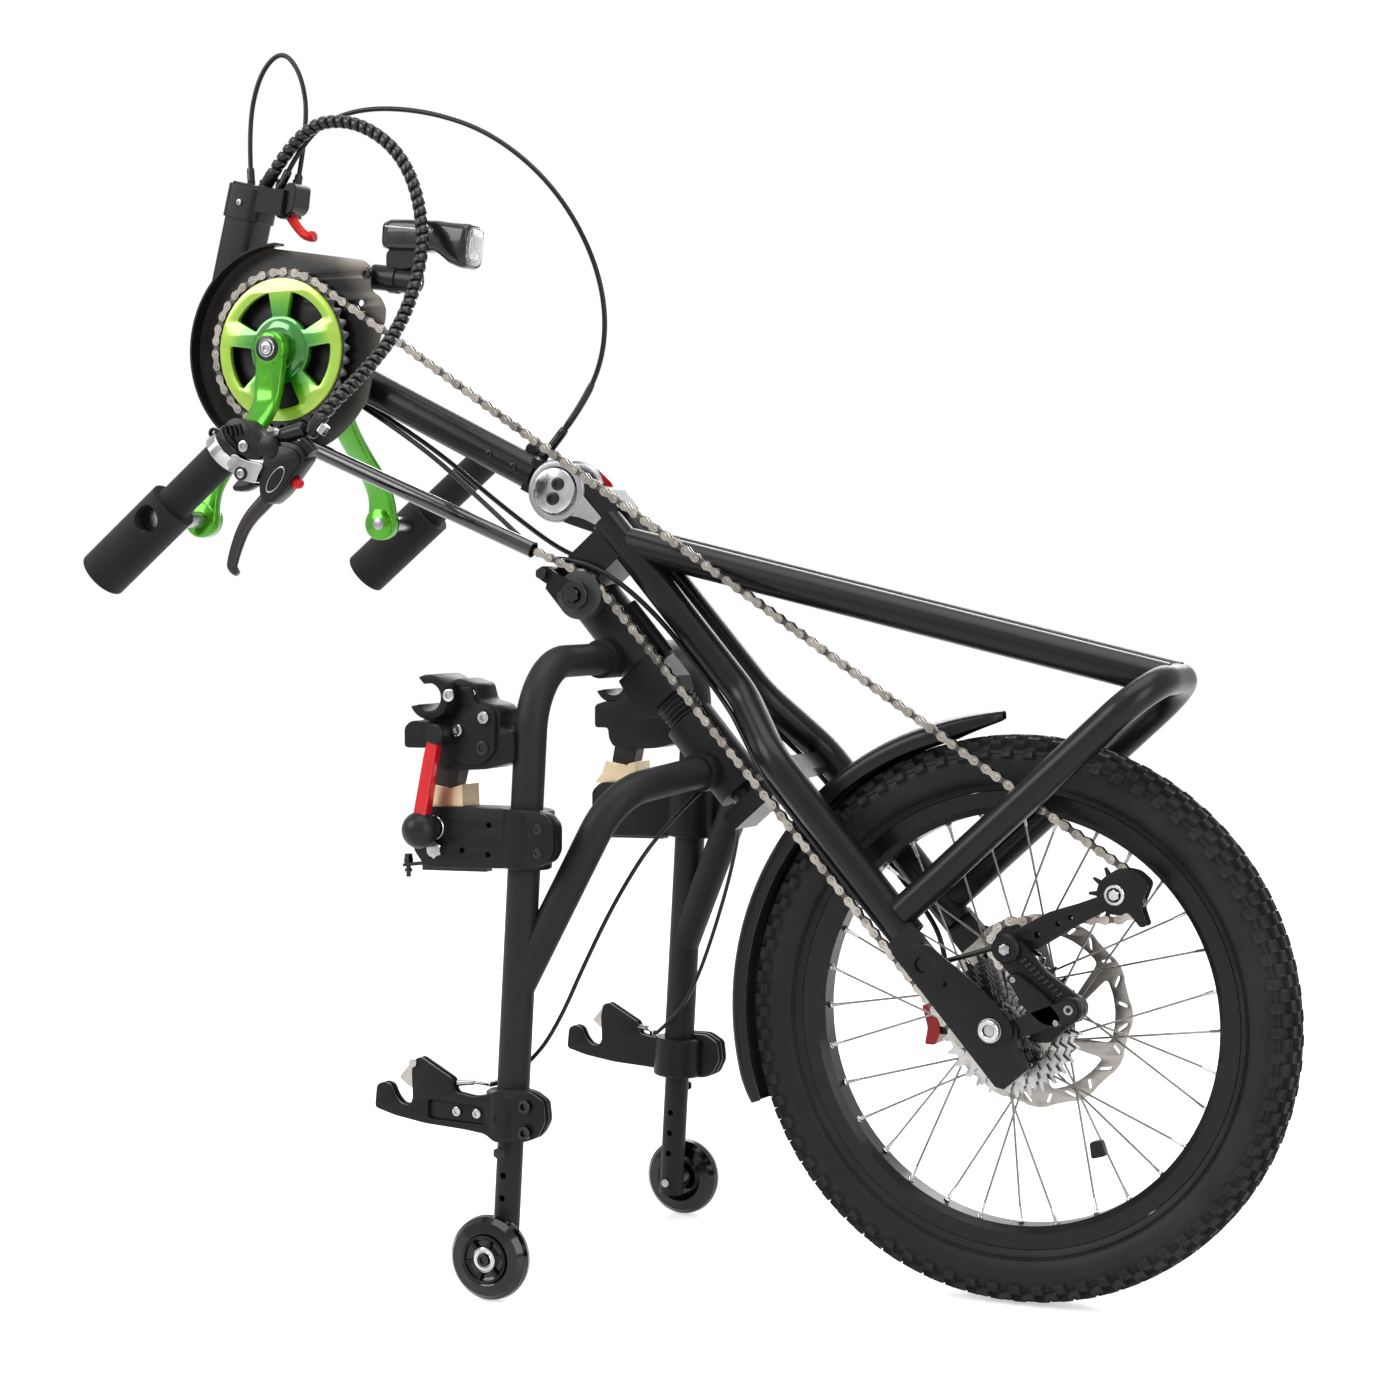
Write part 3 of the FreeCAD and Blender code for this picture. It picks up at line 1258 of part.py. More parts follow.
# Cable mast behind the guard, with its lever
mast_bar = ring("mast_bar", d.mast_radius, d.mast_radius - d.mast_wall, mast_run.Length,
                mast_foot, mast_heading)
clamp_shares = ((0.0, 0.32), (0.08, 1.0), (1.0, 0.7), (0.93, 0.0))
mast_clamp_plate = plate("mast_clamp_plate", framed(
    mast_top[0] - d.mast_radius - d.overrun / 2, mast_top[2] - d.mast_clamp_height,
    d.mast_clamp_length, d.mast_clamp_height * 1.4, clamp_shares),
    d.mast_radius * 2 + d.overrun, d.mast_y)
mast_pivot = (mast_top[0] + d.mast_lever_run, mast_top[2] - d.mast_lever_fall)
mast_slot = block("mast_slot", (d.mast_lever_length * 0.5, d.mast_lever_width
                                + 2 * d.seat_gap, d.mast_lever_length * 0.5),
                  (mast_pivot[0] - d.mast_lever_length * 0.2, d.mast_y
                   - d.mast_lever_width / 2 - d.seat_gap,
                   mast_pivot[1] - d.mast_lever_length * 0.35))
mast_pin = cylinder("mast_pin", d.small_pin_radius, d.mast_radius * 2,
                    (mast_pivot[0], d.mast_y - d.mast_radius, mast_pivot[1]), Y_AXIS)
mast_head = fuse("mast_head", cut("mast_head_slot", mast_clamp_plate, mast_slot), mast_pin)
nodes["cable_mast"] = fuse("cable_mast", mast_bar, mast_head)
mast_lever_shares = ((-0.1, 0.1), (0.1, 0.1), (0.22, -0.16), (0.5, -0.4), (0.8, -0.44),
                     (0.82, -0.58), (0.5, -0.62), (0.14, -0.42), (-0.1, -0.1))
nodes["mast_lever"] = plate(
    "mast_lever", framed(mast_pivot[0], mast_pivot[1], d.mast_lever_length,
                         d.mast_lever_length, mast_lever_shares), d.mast_lever_width, d.mast_y,
    [(mast_pivot[0], mast_pivot[1], d.small_pin_radius + d.running_gap)])

# Idler roller with its arm, and the chain tube under the boom
idler = (from_axle(d.idler_x), d.idler_z)
idler_half = d.chain_width / 2 + d.running_gap + d.seat_gap
idler_core = d.idler_radius - d.chain_height / 2 - d.seat_gap
nodes["idler_wheel"] = turned("idler_wheel", [
    (d.idler_pin_radius + d.running_gap, -(idler_half + d.idler_flange_width)),
    (d.idler_flange_radius, -(idler_half + d.idler_flange_width)),
    (d.idler_flange_radius, -idler_half),
    (idler_core, -idler_half),
    (idler_core, idler_half),
    (d.idler_flange_radius, idler_half),
    (d.idler_flange_radius, idler_half + d.idler_flange_width),
    (d.idler_pin_radius + d.running_gap, idler_half + d.idler_flange_width),
], (idler[0], -d.chain_y, idler[1]), Y_AXIS)

arm_plate_y = d.chain_y + idler_half + d.idler_flange_width + d.seat_gap
idler_pivot = (from_axle(d.idler_arm_x), d.idler_arm_z)
idler_strap = strap("idler_strap", idler_pivot, idler, d.idler_arm_radius, d.idler_arm_width,
                    -(arm_plate_y + d.idler_arm_width / 2))
boss_length = arm_plate_y + d.idler_arm_width - d.yoke_width / 2
strap_boss = cylinder("strap_boss", d.idler_arm_radius, boss_length,
                      (idler_pivot[0], -(arm_plate_y + d.idler_arm_width), idler_pivot[1]),
                      Y_AXIS)
idler_pin = cylinder("idler_pin", d.idler_pin_radius, boss_length,
                     (idler[0], -(arm_plate_y + d.idler_arm_width), idler[1]), Y_AXIS)
nodes["idler_arm"] = fuse("idler_arm", idler_strap, strap_boss, idler_pin)

# Derailleur: body, cage and its two pulleys
guide = (from_axle(d.guide_x), d.axle_height + d.guide_rise)
tension = (from_axle(d.tension_x), d.axle_height + d.tension_rise)
cage_half = d.cage_gap / 2
cage_width = d.cage_gap + 2 * d.cage_wall
cage_pieces = []
for name, side in (("near", 1), ("far", -1)):
    cage_y = -(d.chain_y + side * (cage_half + d.cage_wall / 2))
    cage_pieces.append(strap("cage_" + name, guide, tension, d.cage_radius, d.cage_wall, cage_y))
for end, spot in (("guide", guide), ("tension", tension)):
    cage_pieces.append(cylinder("cage_pin_" + end, d.cage_pin_radius, cage_width,
                                (spot[0], -(d.chain_y + cage_width / 2), spot[1]), Y_AXIS))
nodes["derailleur_cage"] = fuse("derailleur_cage", *cage_pieces)
for name, spot in (("guide_pulley", guide), ("tension_pulley", tension)):
    nodes[name] = computed(name, sprocket(
        PULLEY_TEETH, d.pulley_width, d.cage_pin_radius + d.running_gap,
        (spot[0], -d.chain_y, spot[1])))
body_y = d.chain_y + cage_width / 2 + d.seat_gap
nodes["derailleur_body"] = strap("derailleur_body", guide, hanger_tip, d.hanger_radius,
                                 d.dropout_inner_y - body_y,
                                 -((d.dropout_inner_y + body_y) / 2))

# Drive chain as two side bands around every sprocket
chain_stops = [
    (crank[0], crank[1], pitch_radius(CHAINRING_TEETH), -1),
    (tension[0], tension[1], pitch_radius(PULLEY_TEETH), -1),
    (guide[0], guide[1], pitch_radius(PULLEY_TEETH), 1),
    (from_axle(0), d.axle_height, pitch_radius(CASSETTE_TEETH[cassette_middle]), -1),
    (idler[0], idler[1], float(d.idler_radius), 1)]


def belt_wire(stops, outset):
    """Closed path over round stops, each passed on its own side, moved outwards."""
    count = len(stops)
    touches = []
    for index in range(count):
        x0, z0, r0, s0 = (float(value) for value in stops[index])
        x1, z1, r1, s1 = (float(value) for value in stops[(index + 1) % count])
        r0 = r0 - s0 * outset
        r1 = r1 - s1 * outset
        dx = x1 - x0
        dz = z1 - z0
        gap = math.hypot(dx, dz)
        lean = math.atan2(dz, dx)
        tilt = math.asin((s0 * r0 - s1 * r1) / gap)
        heading = lean + tilt
        normal = Vector(math.sin(heading), 0, -math.cos(heading))
        touches.append((Vector(x0, 0, z0) + normal * (s0 * r0),
                        Vector(x1, 0, z1) + normal * (s1 * r1), heading))
    edges = []
    for index in range(count):
        x0, z0, r0, s0 = (float(value) for value in stops[index])
        r0 = r0 - s0 * outset
        start = touches[index - 1][1]
        stop = touches[index][0]
        centre = Vector(x0, 0, z0)
        first = math.atan2(start.z - z0, start.x - x0)
        last = math.atan2(stop.z - z0, stop.x - x0)
        sweep = (last - first) % (2 * math.pi)
        if s0 < 0:
            sweep -= 2 * math.pi
        middle = first + sweep / 2
        crown = centre + Vector(r0 * math.cos(middle), 0, r0 * math.sin(middle))
        edges.append(Part.Arc(start, crown, stop).toShape())
        edges.append(Part.LineSegment(stop, touches[index][1]).toShape())
    return Part.Wire(edges)


half_height = float(d.chain_height) / 2
outer_loop = belt_wire(chain_stops, half_height)
inner_loop = belt_wire(chain_stops, -half_height)
if outer_loop.BoundBox.DiagonalLength < inner_loop.BoundBox.DiagonalLength:
    outer_loop, inner_loop = inner_loop, outer_loop
band_solids = []
outer_face = Part.Face(outer_loop)
inner_face = Part.Face(inner_loop)
for side in (-1, 1):
    y = -float(d.chain_y) + side * (float(d.chain_width) - float(d.chain_wall)) / 2
    band_face = outer_face.cut(inner_face)
    band_solid = band_face.extrude(Vector(0, float(d.chain_wall), 0))
    band_solid.translate(Vector(0, y - float(d.chain_wall) / 2, 0))
    band_solids.append(band_solid.Solids[0])
nodes["chain"] = computed("chain", Part.makeCompound(band_solids))

centre_loop = belt_wire(chain_stops, 0)
lower_run = centre_loop.Edges[-1]
tube_from = lower_run.valueAt(lower_run.FirstParameter)
tube_to = lower_run.valueAt(lower_run.LastParameter)
TUBE_START_SHARE = 0.16
TUBE_END_SHARE = 0.9
tube_run = tube_to - tube_from
tube_start = tube_from + tube_run * TUBE_START_SHARE
tube_start.y = -float(d.chain_y)
nodes["chain_tube"] = ring("chain_tube", d.chain_tube_radius, d.chain_tube_bore,
                           size(tube_run.Length * (TUBE_END_SHARE - TUBE_START_SHARE)),
                           tuple(tube_start), tuple(Vector(tube_run).normalize()))

# Docking frame: head blocks, tubes, braces and legs
DOCK_LEAN_SHARE = (float(d.dock_top_x) - float(d.castor_x)) / (
    float(d.dock_top_z) - float(d.castor_radius))


def dock_line(z):
    """X of the docking tube's axis at a height."""
    return from_axle(d.castor_x) + (z - d.castor_radius) * DOCK_LEAN_SHARE


dock_heading = tuple(Vector(DOCK_LEAN_SHARE, 0, 1).normalize())
stub_x = from_axle(d.dock_top_x) - d.boot_groove
dock_path = bent_wire([
    (stub_x, -d.stub_end_y, d.dock_top_z),
    (dock_line(d.dock_top_z), -d.dock_y, d.dock_top_z),
    (dock_line(d.dock_foot_z), -d.dock_y, d.dock_foot_z)], (d.dock_bend,))
brace_path = bent_wire([
    (from_axle(d.brace_x), -d.stub_end_y, d.brace_z),
    (from_axle(d.brace_knee_x), -d.brace_knee_y, d.brace_knee_z),
    (dock_line(d.brace_foot_z), -d.dock_y, d.brace_foot_z)], (d.brace_bend,))
dock_bar = swept(dock_path, d.dock_tube_radius)
dock_hollow = swept(dock_path, d.dock_tube_radius - d.dock_tube_wall)
brace_bar = swept(brace_path, d.dock_tube_radius)
brace_hollow = swept(brace_path, d.dock_tube_radius - d.dock_tube_wall)
brace_ring = brace_bar.cut(brace_hollow)
brace_tube = brace_ring.cut(dock_bar)
brace_tube = sorted(brace_tube.Solids, key=lambda solid: solid.Volume)[-1]
stub_trim = Part.makeBox(float(d.head_block_radius) * 20, float(d.stub_end_y) * 2,
                         float(d.head_block_radius) * 20,
                         vector((stub_x - d.head_block_radius * 10, -d.stub_end_y,
                                 d.dock_top_z - d.head_block_radius * 10)))
brace_tube = brace_tube.cut(stub_trim)
dock_tube = dock_bar.cut([dock_hollow, stub_trim])
dock_pair = dock_tube.fuse(brace_tube)
dock_frame_right = computed("dock_frame_right", dock_pair)
nodes["dock_frames"] = group("dock_frames", dock_frame_right,
                             mirrored("dock_frame_left", dock_frame_right))

upper_ring = ring("upper_ring", d.head_block_radius, d.shaft_radius + d.running_gap,
                  d.upper_block_end - d.upper_block_start,
                  head_point(d.upper_block_start, 0, 0), HEAD_AXIS)
upper_stub = cylinder("upper_stub", d.stub_radius, d.stub_end_y * 2,
                      (stub_x, -d.stub_end_y, d.dock_top_z), Y_AXIS)
lock_block = plate("lock_block", slanted(d.upper_block_end, -d.boot_radius,
                                         d.lock_end - d.upper_block_end, d.boot_radius * 2,
                                         ((0, -0.1), (0, 1), (0.7, 1), (1, 0.85), (1, 0.1),
                                          (0.6, -0.2))), d.lock_width, 0)
shaft_clear = cylinder("shaft_clear", d.shaft_radius + d.running_gap,
                       d.shaft_end - d.shaft_top, head_point(d.shaft_top, 0, 0), HEAD_AXIS)
lock_pin = cylinder("lock_pin", d.lock_pin_radius, d.lock_pin_length,
                    head_point(d.lock_pin_start, d.head_block_radius, 0), HEAD_AXIS)
nodes["upper_head_block"] = cut("upper_head_block",
                                fuse("upper_raw", upper_ring, upper_stub, lock_block, lock_pin),
                                shaft_clear)
lower_ring = ring("lower_ring", d.head_block_radius, d.shaft_radius + d.running_gap,
                  d.lower_block_end - d.lower_block_start,
                  head_point(d.lower_block_start, 0, 0), HEAD_AXIS)
lower_stub = cylinder("lower_stub", d.stub_radius, d.stub_end_y * 2,
                      (from_axle(d.brace_x), -d.stub_end_y, d.brace_z), Y_AXIS)
shaft_clear_low = cylinder("shaft_clear_low", d.shaft_radius + d.running_gap,
                           d.shaft_end - d.shaft_top, head_point(d.shaft_top, 0, 0), HEAD_AXIS)
nodes["lower_head_block"] = cut("lower_head_block", fuse("lower_raw", lower_ring, lower_stub),
                                shaft_clear_low)

BOOT_RIBS = 5
boot_length = d.lower_block_start - d.lock_end - 2 * d.seat_gap
boot_inner = d.shaft_radius + d.seat_gap
boot_profile = [(boot_inner, size(0))]
for index in range(BOOT_RIBS):
    low = boot_length * (index / BOOT_RIBS)
    high = boot_length * ((index + 1) / BOOT_RIBS)
    boot_profile.append((d.boot_radius - d.boot_groove, low))
    boot_profile.append((d.boot_radius, (low + high) / 2))
boot_profile.append((d.boot_radius - d.boot_groove, boot_length))
boot_profile.append((boot_inner, boot_length))
nodes["steering_boot"] = turned("steering_boot", boot_profile,
                                head_point(d.lock_end + d.seat_gap, 0, 0), HEAD_AXIS)

leg_bar = ring("leg_bar", d.leg_radius, d.leg_radius - d.leg_wall,
               (d.leg_top_z - d.leg_foot_z) / dock_heading[2],
               (dock_line(d.leg_foot_z), -d.dock_y, d.leg_foot_z), dock_heading)
LEG_HOLES = 3
leg_tools = []
for index in range(LEG_HOLES):
    z = d.leg_hole_z + d.leg_hole_step * index
    leg_tools.append(cylinder("leg_hole_%d" % index, d.leg_hole_radius, d.leg_radius * 4,
                              (dock_line(z), -(d.dock_y + d.leg_radius * 2), z), Y_AXIS))
leg_tools.append(cylinder("leg_axle_hole", d.castor_bolt_radius, d.leg_radius * 4,
                          (from_axle(d.castor_x), -(d.dock_y + d.leg_radius * 2),
                           d.castor_radius), Y_AXIS))
leg_right = cut("leg_right", leg_bar, *leg_tools)
nodes["legs"] = group("legs", leg_right, mirrored("leg_left", leg_right))

# Castor wheels on their bolts and bearings
castor_half = d.castor_width / 2
castor_profile = [
    (d.castor_bearing_radius, -(castor_half * 0.7)),
    (d.castor_hub_radius + d.overrun, -(castor_half * 0.7)),
    (d.castor_radius * 0.62, -castor_half), (d.castor_radius * 0.86, -(castor_half * 0.86)),
    (d.castor_radius * 0.97, -(castor_half * 0.45)), (d.castor_radius, size(0)),
    (d.castor_radius * 0.97, castor_half * 0.45), (d.castor_radius * 0.86, castor_half * 0.86),
    (d.castor_radius * 0.62, castor_half),
    (d.castor_hub_radius + d.overrun, castor_half * 0.7),
    (d.castor_bearing_radius, castor_half * 0.7)]
castor_right = turned("castor_right", castor_profile,
                      (from_axle(d.castor_x), -d.castor_y, d.castor_radius), Y_AXIS)
nodes["castor_wheel_right"] = castor_right
nodes["castor_wheel_left"] = mirrored("castor_left", castor_right)
castor_bolt = cylinder("castor_bolt", d.castor_bolt_radius,
                       d.castor_y + castor_half - d.dock_y + d.leg_radius + d.bolt_head_height,
                       (from_axle(d.castor_x), -(d.castor_y + castor_half), d.castor_radius),
                       Y_AXIS)
castor_head = cylinder("castor_head", d.bolt_head_radius + d.seat_gap, d.bolt_head_height,
                       (from_axle(d.castor_x), -(d.castor_y + castor_half), d.castor_radius),
                       Y_AXIS)
castor_spacer = ring("castor_spacer", d.castor_bolt_radius * 1.8, d.castor_bolt_radius,
                     d.castor_y - castor_half * 0.66 - d.dock_y - d.leg_radius,
                     (from_axle(d.castor_x), -(d.castor_y - castor_half * 0.66),
                      d.castor_radius), Y_AXIS)
castor_bolt_full = fuse("castor_bolt_full", castor_bolt, castor_head)
castor_items = [castor_bolt_full, castor_spacer,
                mirrored("castor_bolt_left", castor_bolt_full),
                mirrored("castor_spacer_left", castor_spacer)]
for name, y in (("outer", d.castor_y + castor_half * 0.66 - d.castor_bearing_width),
                ("inner", d.castor_y - castor_half * 0.66)):
    bearing = ring("castor_bearing_" + name, d.castor_bearing_radius - d.running_gap,
                   d.castor_bolt_radius, d.castor_bearing_width,
                   (from_axle(d.castor_x), -(y + d.castor_bearing_width), d.castor_radius),
                   Y_AXIS)
    castor_items.append(bearing)
    castor_items.append(mirrored("castor_bearing_%s_left" % name, bearing))
nodes["castor_axles"] = group("castor_axles", *castor_items)

# Upper clamp on each docking tube: bracket, jaw, wedge and ball lever
tube_clear = computed("tube_clear", dock_bar)
bracket_shares = ((0.0, 0.12), (0.0, 0.92), (0.8, 1.0), (0.94, 0.94), (1.0, 0.8), (1.0, 0.2),
                  (0.94, 0.06), (0.78, 0.0), (0.06, 0.0))
bracket_plate = plate("bracket_plate", framed(from_axle(d.bracket_x), d.bracket_z,
                                              d.bracket_length, d.bracket_height,
                                              bracket_shares), d.bracket_width, -d.dock_y)
bracket_slot = block("bracket_slot", (d.bracket_length * 0.3, d.bracket_slot,
                                      d.bracket_height * 2),
                     (dock_line(d.bracket_z), -(d.dock_y + d.bracket_slot / 2),
                      d.bracket_z - d.bracket_height / 2))
clamp_bracket = cut("clamp_bracket", bracket_plate, tube_clear, bracket_slot)
nodes["clamp_brackets"] = group("clamp_brackets", clamp_bracket,
                                mirrored("clamp_bracket_left", clamp_bracket))

jaw_shares = ((0.1, 0.0), (0.0, 0.35), (0.0, 0.95), (0.1, 1.0), (0.5, 0.96), (0.72, 0.66),
              (0.84, 0.44), (1.0, 0.36), (1.0, 0.06), (0.4, 0.0))
tube_clear_jaw = computed("tube_clear_jaw", dock_bar)
jaw_plate = plate("jaw_plate", framed(from_axle(d.jaw_x), d.jaw_z, d.jaw_length, d.jaw_height,
                                      jaw_shares), d.jaw_width, -d.dock_y)
jaw_bore = cylinder("jaw_bore", d.jaw_bore_radius, d.jaw_width * 2,
                    (from_axle(d.jaw_bore_x), -(d.dock_y + d.jaw_width), d.jaw_bore_z), Y_AXIS)
jaw_mouth = block("jaw_mouth", (d.jaw_length * 0.4, d.jaw_width * 2, d.jaw_mouth),
                  (from_axle(d.jaw_bore_x) - d.jaw_length * 0.4, -(d.dock_y + d.jaw_width),
                   d.jaw_bore_z - d.jaw_mouth / 2))
clamp_jaw = cut("clamp_jaw", jaw_plate, jaw_bore, jaw_mouth, tube_clear_jaw)
nodes["clamp_jaws"] = group("clamp_jaws", clamp_jaw, mirrored("clamp_jaw_left", clamp_jaw))

wedge_low = d.bracket_z + d.bracket_height * 0.95 + d.seat_gap
wedge_start = from_axle(d.jaw_x) + d.wedge_inset
wedge_outline = [
    (wedge_start, wedge_low), (wedge_start, wedge_low + d.wedge_width),
    (wedge_start + d.wedge_length * 0.6, d.jaw_z - d.seat_gap),
    (wedge_start + d.wedge_length, d.jaw_z - d.seat_gap),
    (wedge_start + d.wedge_length, wedge_low)]
clamp_wedge = plate("clamp_wedge", wedge_outline, d.wedge_width, -d.dock_y)
nodes["clamp_wedges"] = group("clamp_wedges", clamp_wedge,
                              mirrored("clamp_wedge_left", clamp_wedge))

lever_top = (from_axle(d.clamp_lever_x), -d.lever_y, d.clamp_lever_z)
lever_ball = (from_axle(d.clamp_ball_x), -d.lever_y, d.clamp_ball_z)
lever_run = vector(lever_ball) - vector(lever_top)
BALL_FACETS = 12
ball_profile = [(size(0), size(0)), (d.clamp_rod_radius, size(0))]
for index in range(BALL_FACETS):
    turn = math.pi * (index + 1.5) / (BALL_FACETS + 1.5)
    ball_profile.append((d.clamp_ball_radius * math.sin(turn),
                         lever_run.Length - d.clamp_ball_radius * math.cos(turn)))
ball_profile[-1] = (size(0), ball_profile[-1][1])
clamp_rod = turned("clamp_rod", ball_profile, lever_top,
                   tuple(Vector(lever_run).normalize()))
clamp_eye = cylinder("clamp_eye", d.clamp_rod_radius * 1.8,
                     d.lever_y - d.dock_y - d.jaw_width / 2 + d.clamp_rod_radius - d.seat_gap,
                     (lever_top[0], -(d.lever_y + d.clamp_rod_radius), lever_top[2]), Y_AXIS)
clamp_lever = fuse("clamp_lever", clamp_rod, clamp_eye)
nodes["clamp_lever_right"] = clamp_lever
nodes["clamp_lever_left"] = mirrored("clamp_lever_left", clamp_lever)

# Lower hook on each docking tube, with its sprung latch
tube_clear_hook = computed("tube_clear_hook", dock_bar)
leg_clear_hook = computed("leg_clear_hook", swept(Part.Wire([Part.LineSegment(
    vector((dock_line(size(0)), -d.dock_y, 0)),
    vector((dock_line(d.leg_top_z), -d.dock_y, d.leg_top_z))).toShape()]),
    d.leg_radius + d.running_gap))
hook_shares = ((0.03, 0.06), (0.0, 0.66), (0.05, 0.68), (0.09, 0.5), (0.27, 0.5), (0.25, 0.92),
               (0.31, 0.98), (0.5, 0.76), (0.72, 0.7), (0.78, 0.76), (0.94, 0.66), (1.0, 0.5),
               (1.0, 0.1), (0.94, 0.02), (0.7, 0.08), (0.4, 0.0))
hook_plate_body = plate("hook_plate_body", framed(from_axle(d.hook_x), d.hook_z, d.hook_length,
                                                  d.hook_height, hook_shares),
                        d.hook_width, -d.dock_y)
hook_bore = cylinder("hook_bore", d.hook_bore_radius, d.hook_width * 2,
                     (from_axle(d.hook_bore_x), -(d.dock_y + d.hook_width), d.hook_bore_z),
                     Y_AXIS)
latch_bore = cylinder("latch_bore", d.small_pin_radius + d.running_gap, d.latch_width * 3,
                      (from_axle(d.latch_x), -(d.dock_y + d.hook_width / 2 + d.latch_width),
                       d.latch_z), Y_AXIS)
hook_plate = cut("hook_plate", hook_plate_body, hook_bore, tube_clear_hook, leg_clear_hook,
                 latch_bore)
nodes["hook_plates"] = group("hook_plates", hook_plate, mirrored("hook_plate_left", hook_plate))

latch_shares = ((-0.2, 0.16), (0.12, 0.2), (0.24, 0.0), (0.3, -0.88), (0.06, -0.98),
                (-0.38, -0.66), (-0.36, -0.5))
latch = plate("latch", framed(from_axle(d.latch_x), d.latch_z, d.latch_length,
                              d.latch_height, latch_shares), d.latch_width,
              -(d.dock_y + d.hook_width / 2 + d.latch_width / 2 + d.seat_gap))
latch_pin = cylinder("latch_pin", d.small_pin_radius, d.latch_width * 2,
                     (from_axle(d.latch_x), -(d.dock_y + d.hook_width / 2 + d.latch_width
                                              + d.seat_gap), d.latch_z), Y_AXIS)
latch = fuse("latch_on_pin", latch, latch_pin)
nodes["hook_latch_right"] = latch
nodes["hook_latch_left"] = mirrored("latch_left", latch)

# Leg collars and the socket screws of the docking frame
collar_low = d.hook_z - d.collar_height - d.seat_gap
collar = ring("collar", d.collar_radius, d.leg_radius, d.collar_height,
              (dock_line(collar_low), -d.dock_y, collar_low), dock_heading)


def socket_screw(label, x, z, face_y):
    """Screw head with a round socket on a face that looks to the right side."""
    head = cylinder(label + "_head", d.bolt_head_radius, d.bolt_head_height,
                    (x, face_y - d.bolt_head_height, z), Y_AXIS)
    socket = cylinder(label + "_socket", d.bolt_socket_radius, d.bolt_socket_depth,
                      (x, face_y - d.bolt_head_height, z), Y_AXIS)
    return cut(label, head, socket)


screw_items = [collar]
bracket_face = -(d.dock_y + d.bracket_width / 2)
hook_face = -(d.dock_y + d.hook_width / 2)
jaw_face = -(d.dock_y + d.jaw_width / 2)
SCREW_PLACES = (
    ("bracket_screw_top", from_axle(d.bracket_x) + d.bracket_length * 0.93,
     d.bracket_z + d.bracket_height * 0.74, bracket_face),
    ("bracket_screw_low", from_axle(d.bracket_x) + d.bracket_length * 0.93,
     d.bracket_z + d.bracket_height * 0.26, bracket_face),
    ("hook_screw_top", from_axle(d.hook_x) + d.hook_length * 0.9,
     d.hook_z + d.hook_height * 0.5, hook_face),
    ("hook_screw_low", from_axle(d.hook_x) + d.hook_length * 0.9,
     d.hook_z + d.hook_height * 0.16, hook_face),
    ("hook_screw_mid", from_axle(d.hook_x) + d.hook_length * 0.43,
     d.hook_z + d.hook_height * 0.24, hook_face),
    ("jaw_screw", from_axle(d.jaw_x) + d.jaw_length * 0.62,
     d.jaw_z + d.jaw_height * 0.22, jaw_face),
)
for name, x, z, face_y in SCREW_PLACES:
    screw_items.append(socket_screw(name, x, z, face_y))
dock_screws = group("dock_screws", *screw_items)
nodes["dock_fasteners"] = group("dock_fasteners", dock_screws,
                                mirrored("dock_screws_left", dock_screws))

# Cables and hoses
def axle_point(x, y, z):
    return from_axle(x), size(y), size(z)


HOSE_ROUTE = (
    (-604.8, -238.0, 786.8), (-596.0, -224.0, 812.0), (-588.0, -170.0, 846.0),
    (-584.0, -98.0, 903.0), (-588.0, -52.0, 985.0), (-622.0, -30.0, 1066.0),
    (-690.0, -18.0, 1110.0), (-762.0, -8.0, 1106.0), (-809.0, 0.5, 1045.8))
LOOP_ROUTE = (
    (-830.0, 12.0, 1053.7), (-835.0, 14.0, 1112.0), (-823.0, 16.0, 1166.0),
    (-797.0, 18.0, 1190.0), (-772.0, 16.0, 1164.0), (-763.0, 14.0, 1112.0),
    (-777.0, 12.0, 1044.5))
OUTER_ROUTE = (
    (-790.0, 2.0, 1046.8), (-762.0, 2.0, 1098.0), (-704.0, 2.0, 1123.0),
    (-620.0, 2.0, 1116.0), (-541.0, 2.0, 1087.0), (-472.0, 4.0, 1028.0),
    (-430.0, 8.0, 950.0), (-426.0, 12.0, 876.0), (-456.0, 12.0, 816.0),
    (-497.0, 10.0, 771.0))
BOOM_ROUTE = (
    (-700.0, 8.0, 833.4), (-625.0, 10.0, 791.0), (-545.0, 14.0, 728.0))
HEAD_ROUTE = (
    (-108.0, -6.0, 30.0), (-84.0, 22.0, 39.5), (-46.0, 42.0, 38.0), (4.0, 47.5, 23.0),
    (62.0, 48.0, 20.0), (122.0, 47.5, 21.0), (160.0, 48.0, 41.0), (202.0, 47.5, 62.0),
    (262.0, 48.0, 62.5), (322.0, 47.5, 62.0))
GEAR_ROUTE = (
    (-112.0, -61.0, 341.0), (-80.0, -60.0, 306.0), (-40.0, -60.0, 317.0), (2.0, -60.0, 331.0))
BRAKE_ROUTE = (
    (-112.0, 61.0, 341.0), (-96.0, 58.0, 312.0), (-92.0, 56.0, 284.0))


def frame_cable(label, side, ending):
    points = [axle_point(x, y * side, z) for x, y, z in BOOM_ROUTE]
    points += [head_point(run, offset, y * side) for run, offset, y in HEAD_ROUTE]
    points += [axle_point(*spot) for spot in ending]
    return cable(label, points, d.cable_radius)


nodes["control_hose"] = cable("control_hose", [axle_point(*spot) for spot in HOSE_ROUTE],
                              d.hose_radius)
nodes["mast_cables"] = group(
    "mast_cables", cable("mast_loop", [axle_point(*spot) for spot in LOOP_ROUTE],
                         d.cable_radius),
    cable("mast_outer", [axle_point(*spot) for spot in OUTER_ROUTE], d.cable_radius))
nodes["frame_cables"] = group("frame_cables", frame_cable("gear_cable", -1, GEAR_ROUTE),
                              frame_cable("brake_hose", 1, BRAKE_ROUTE))

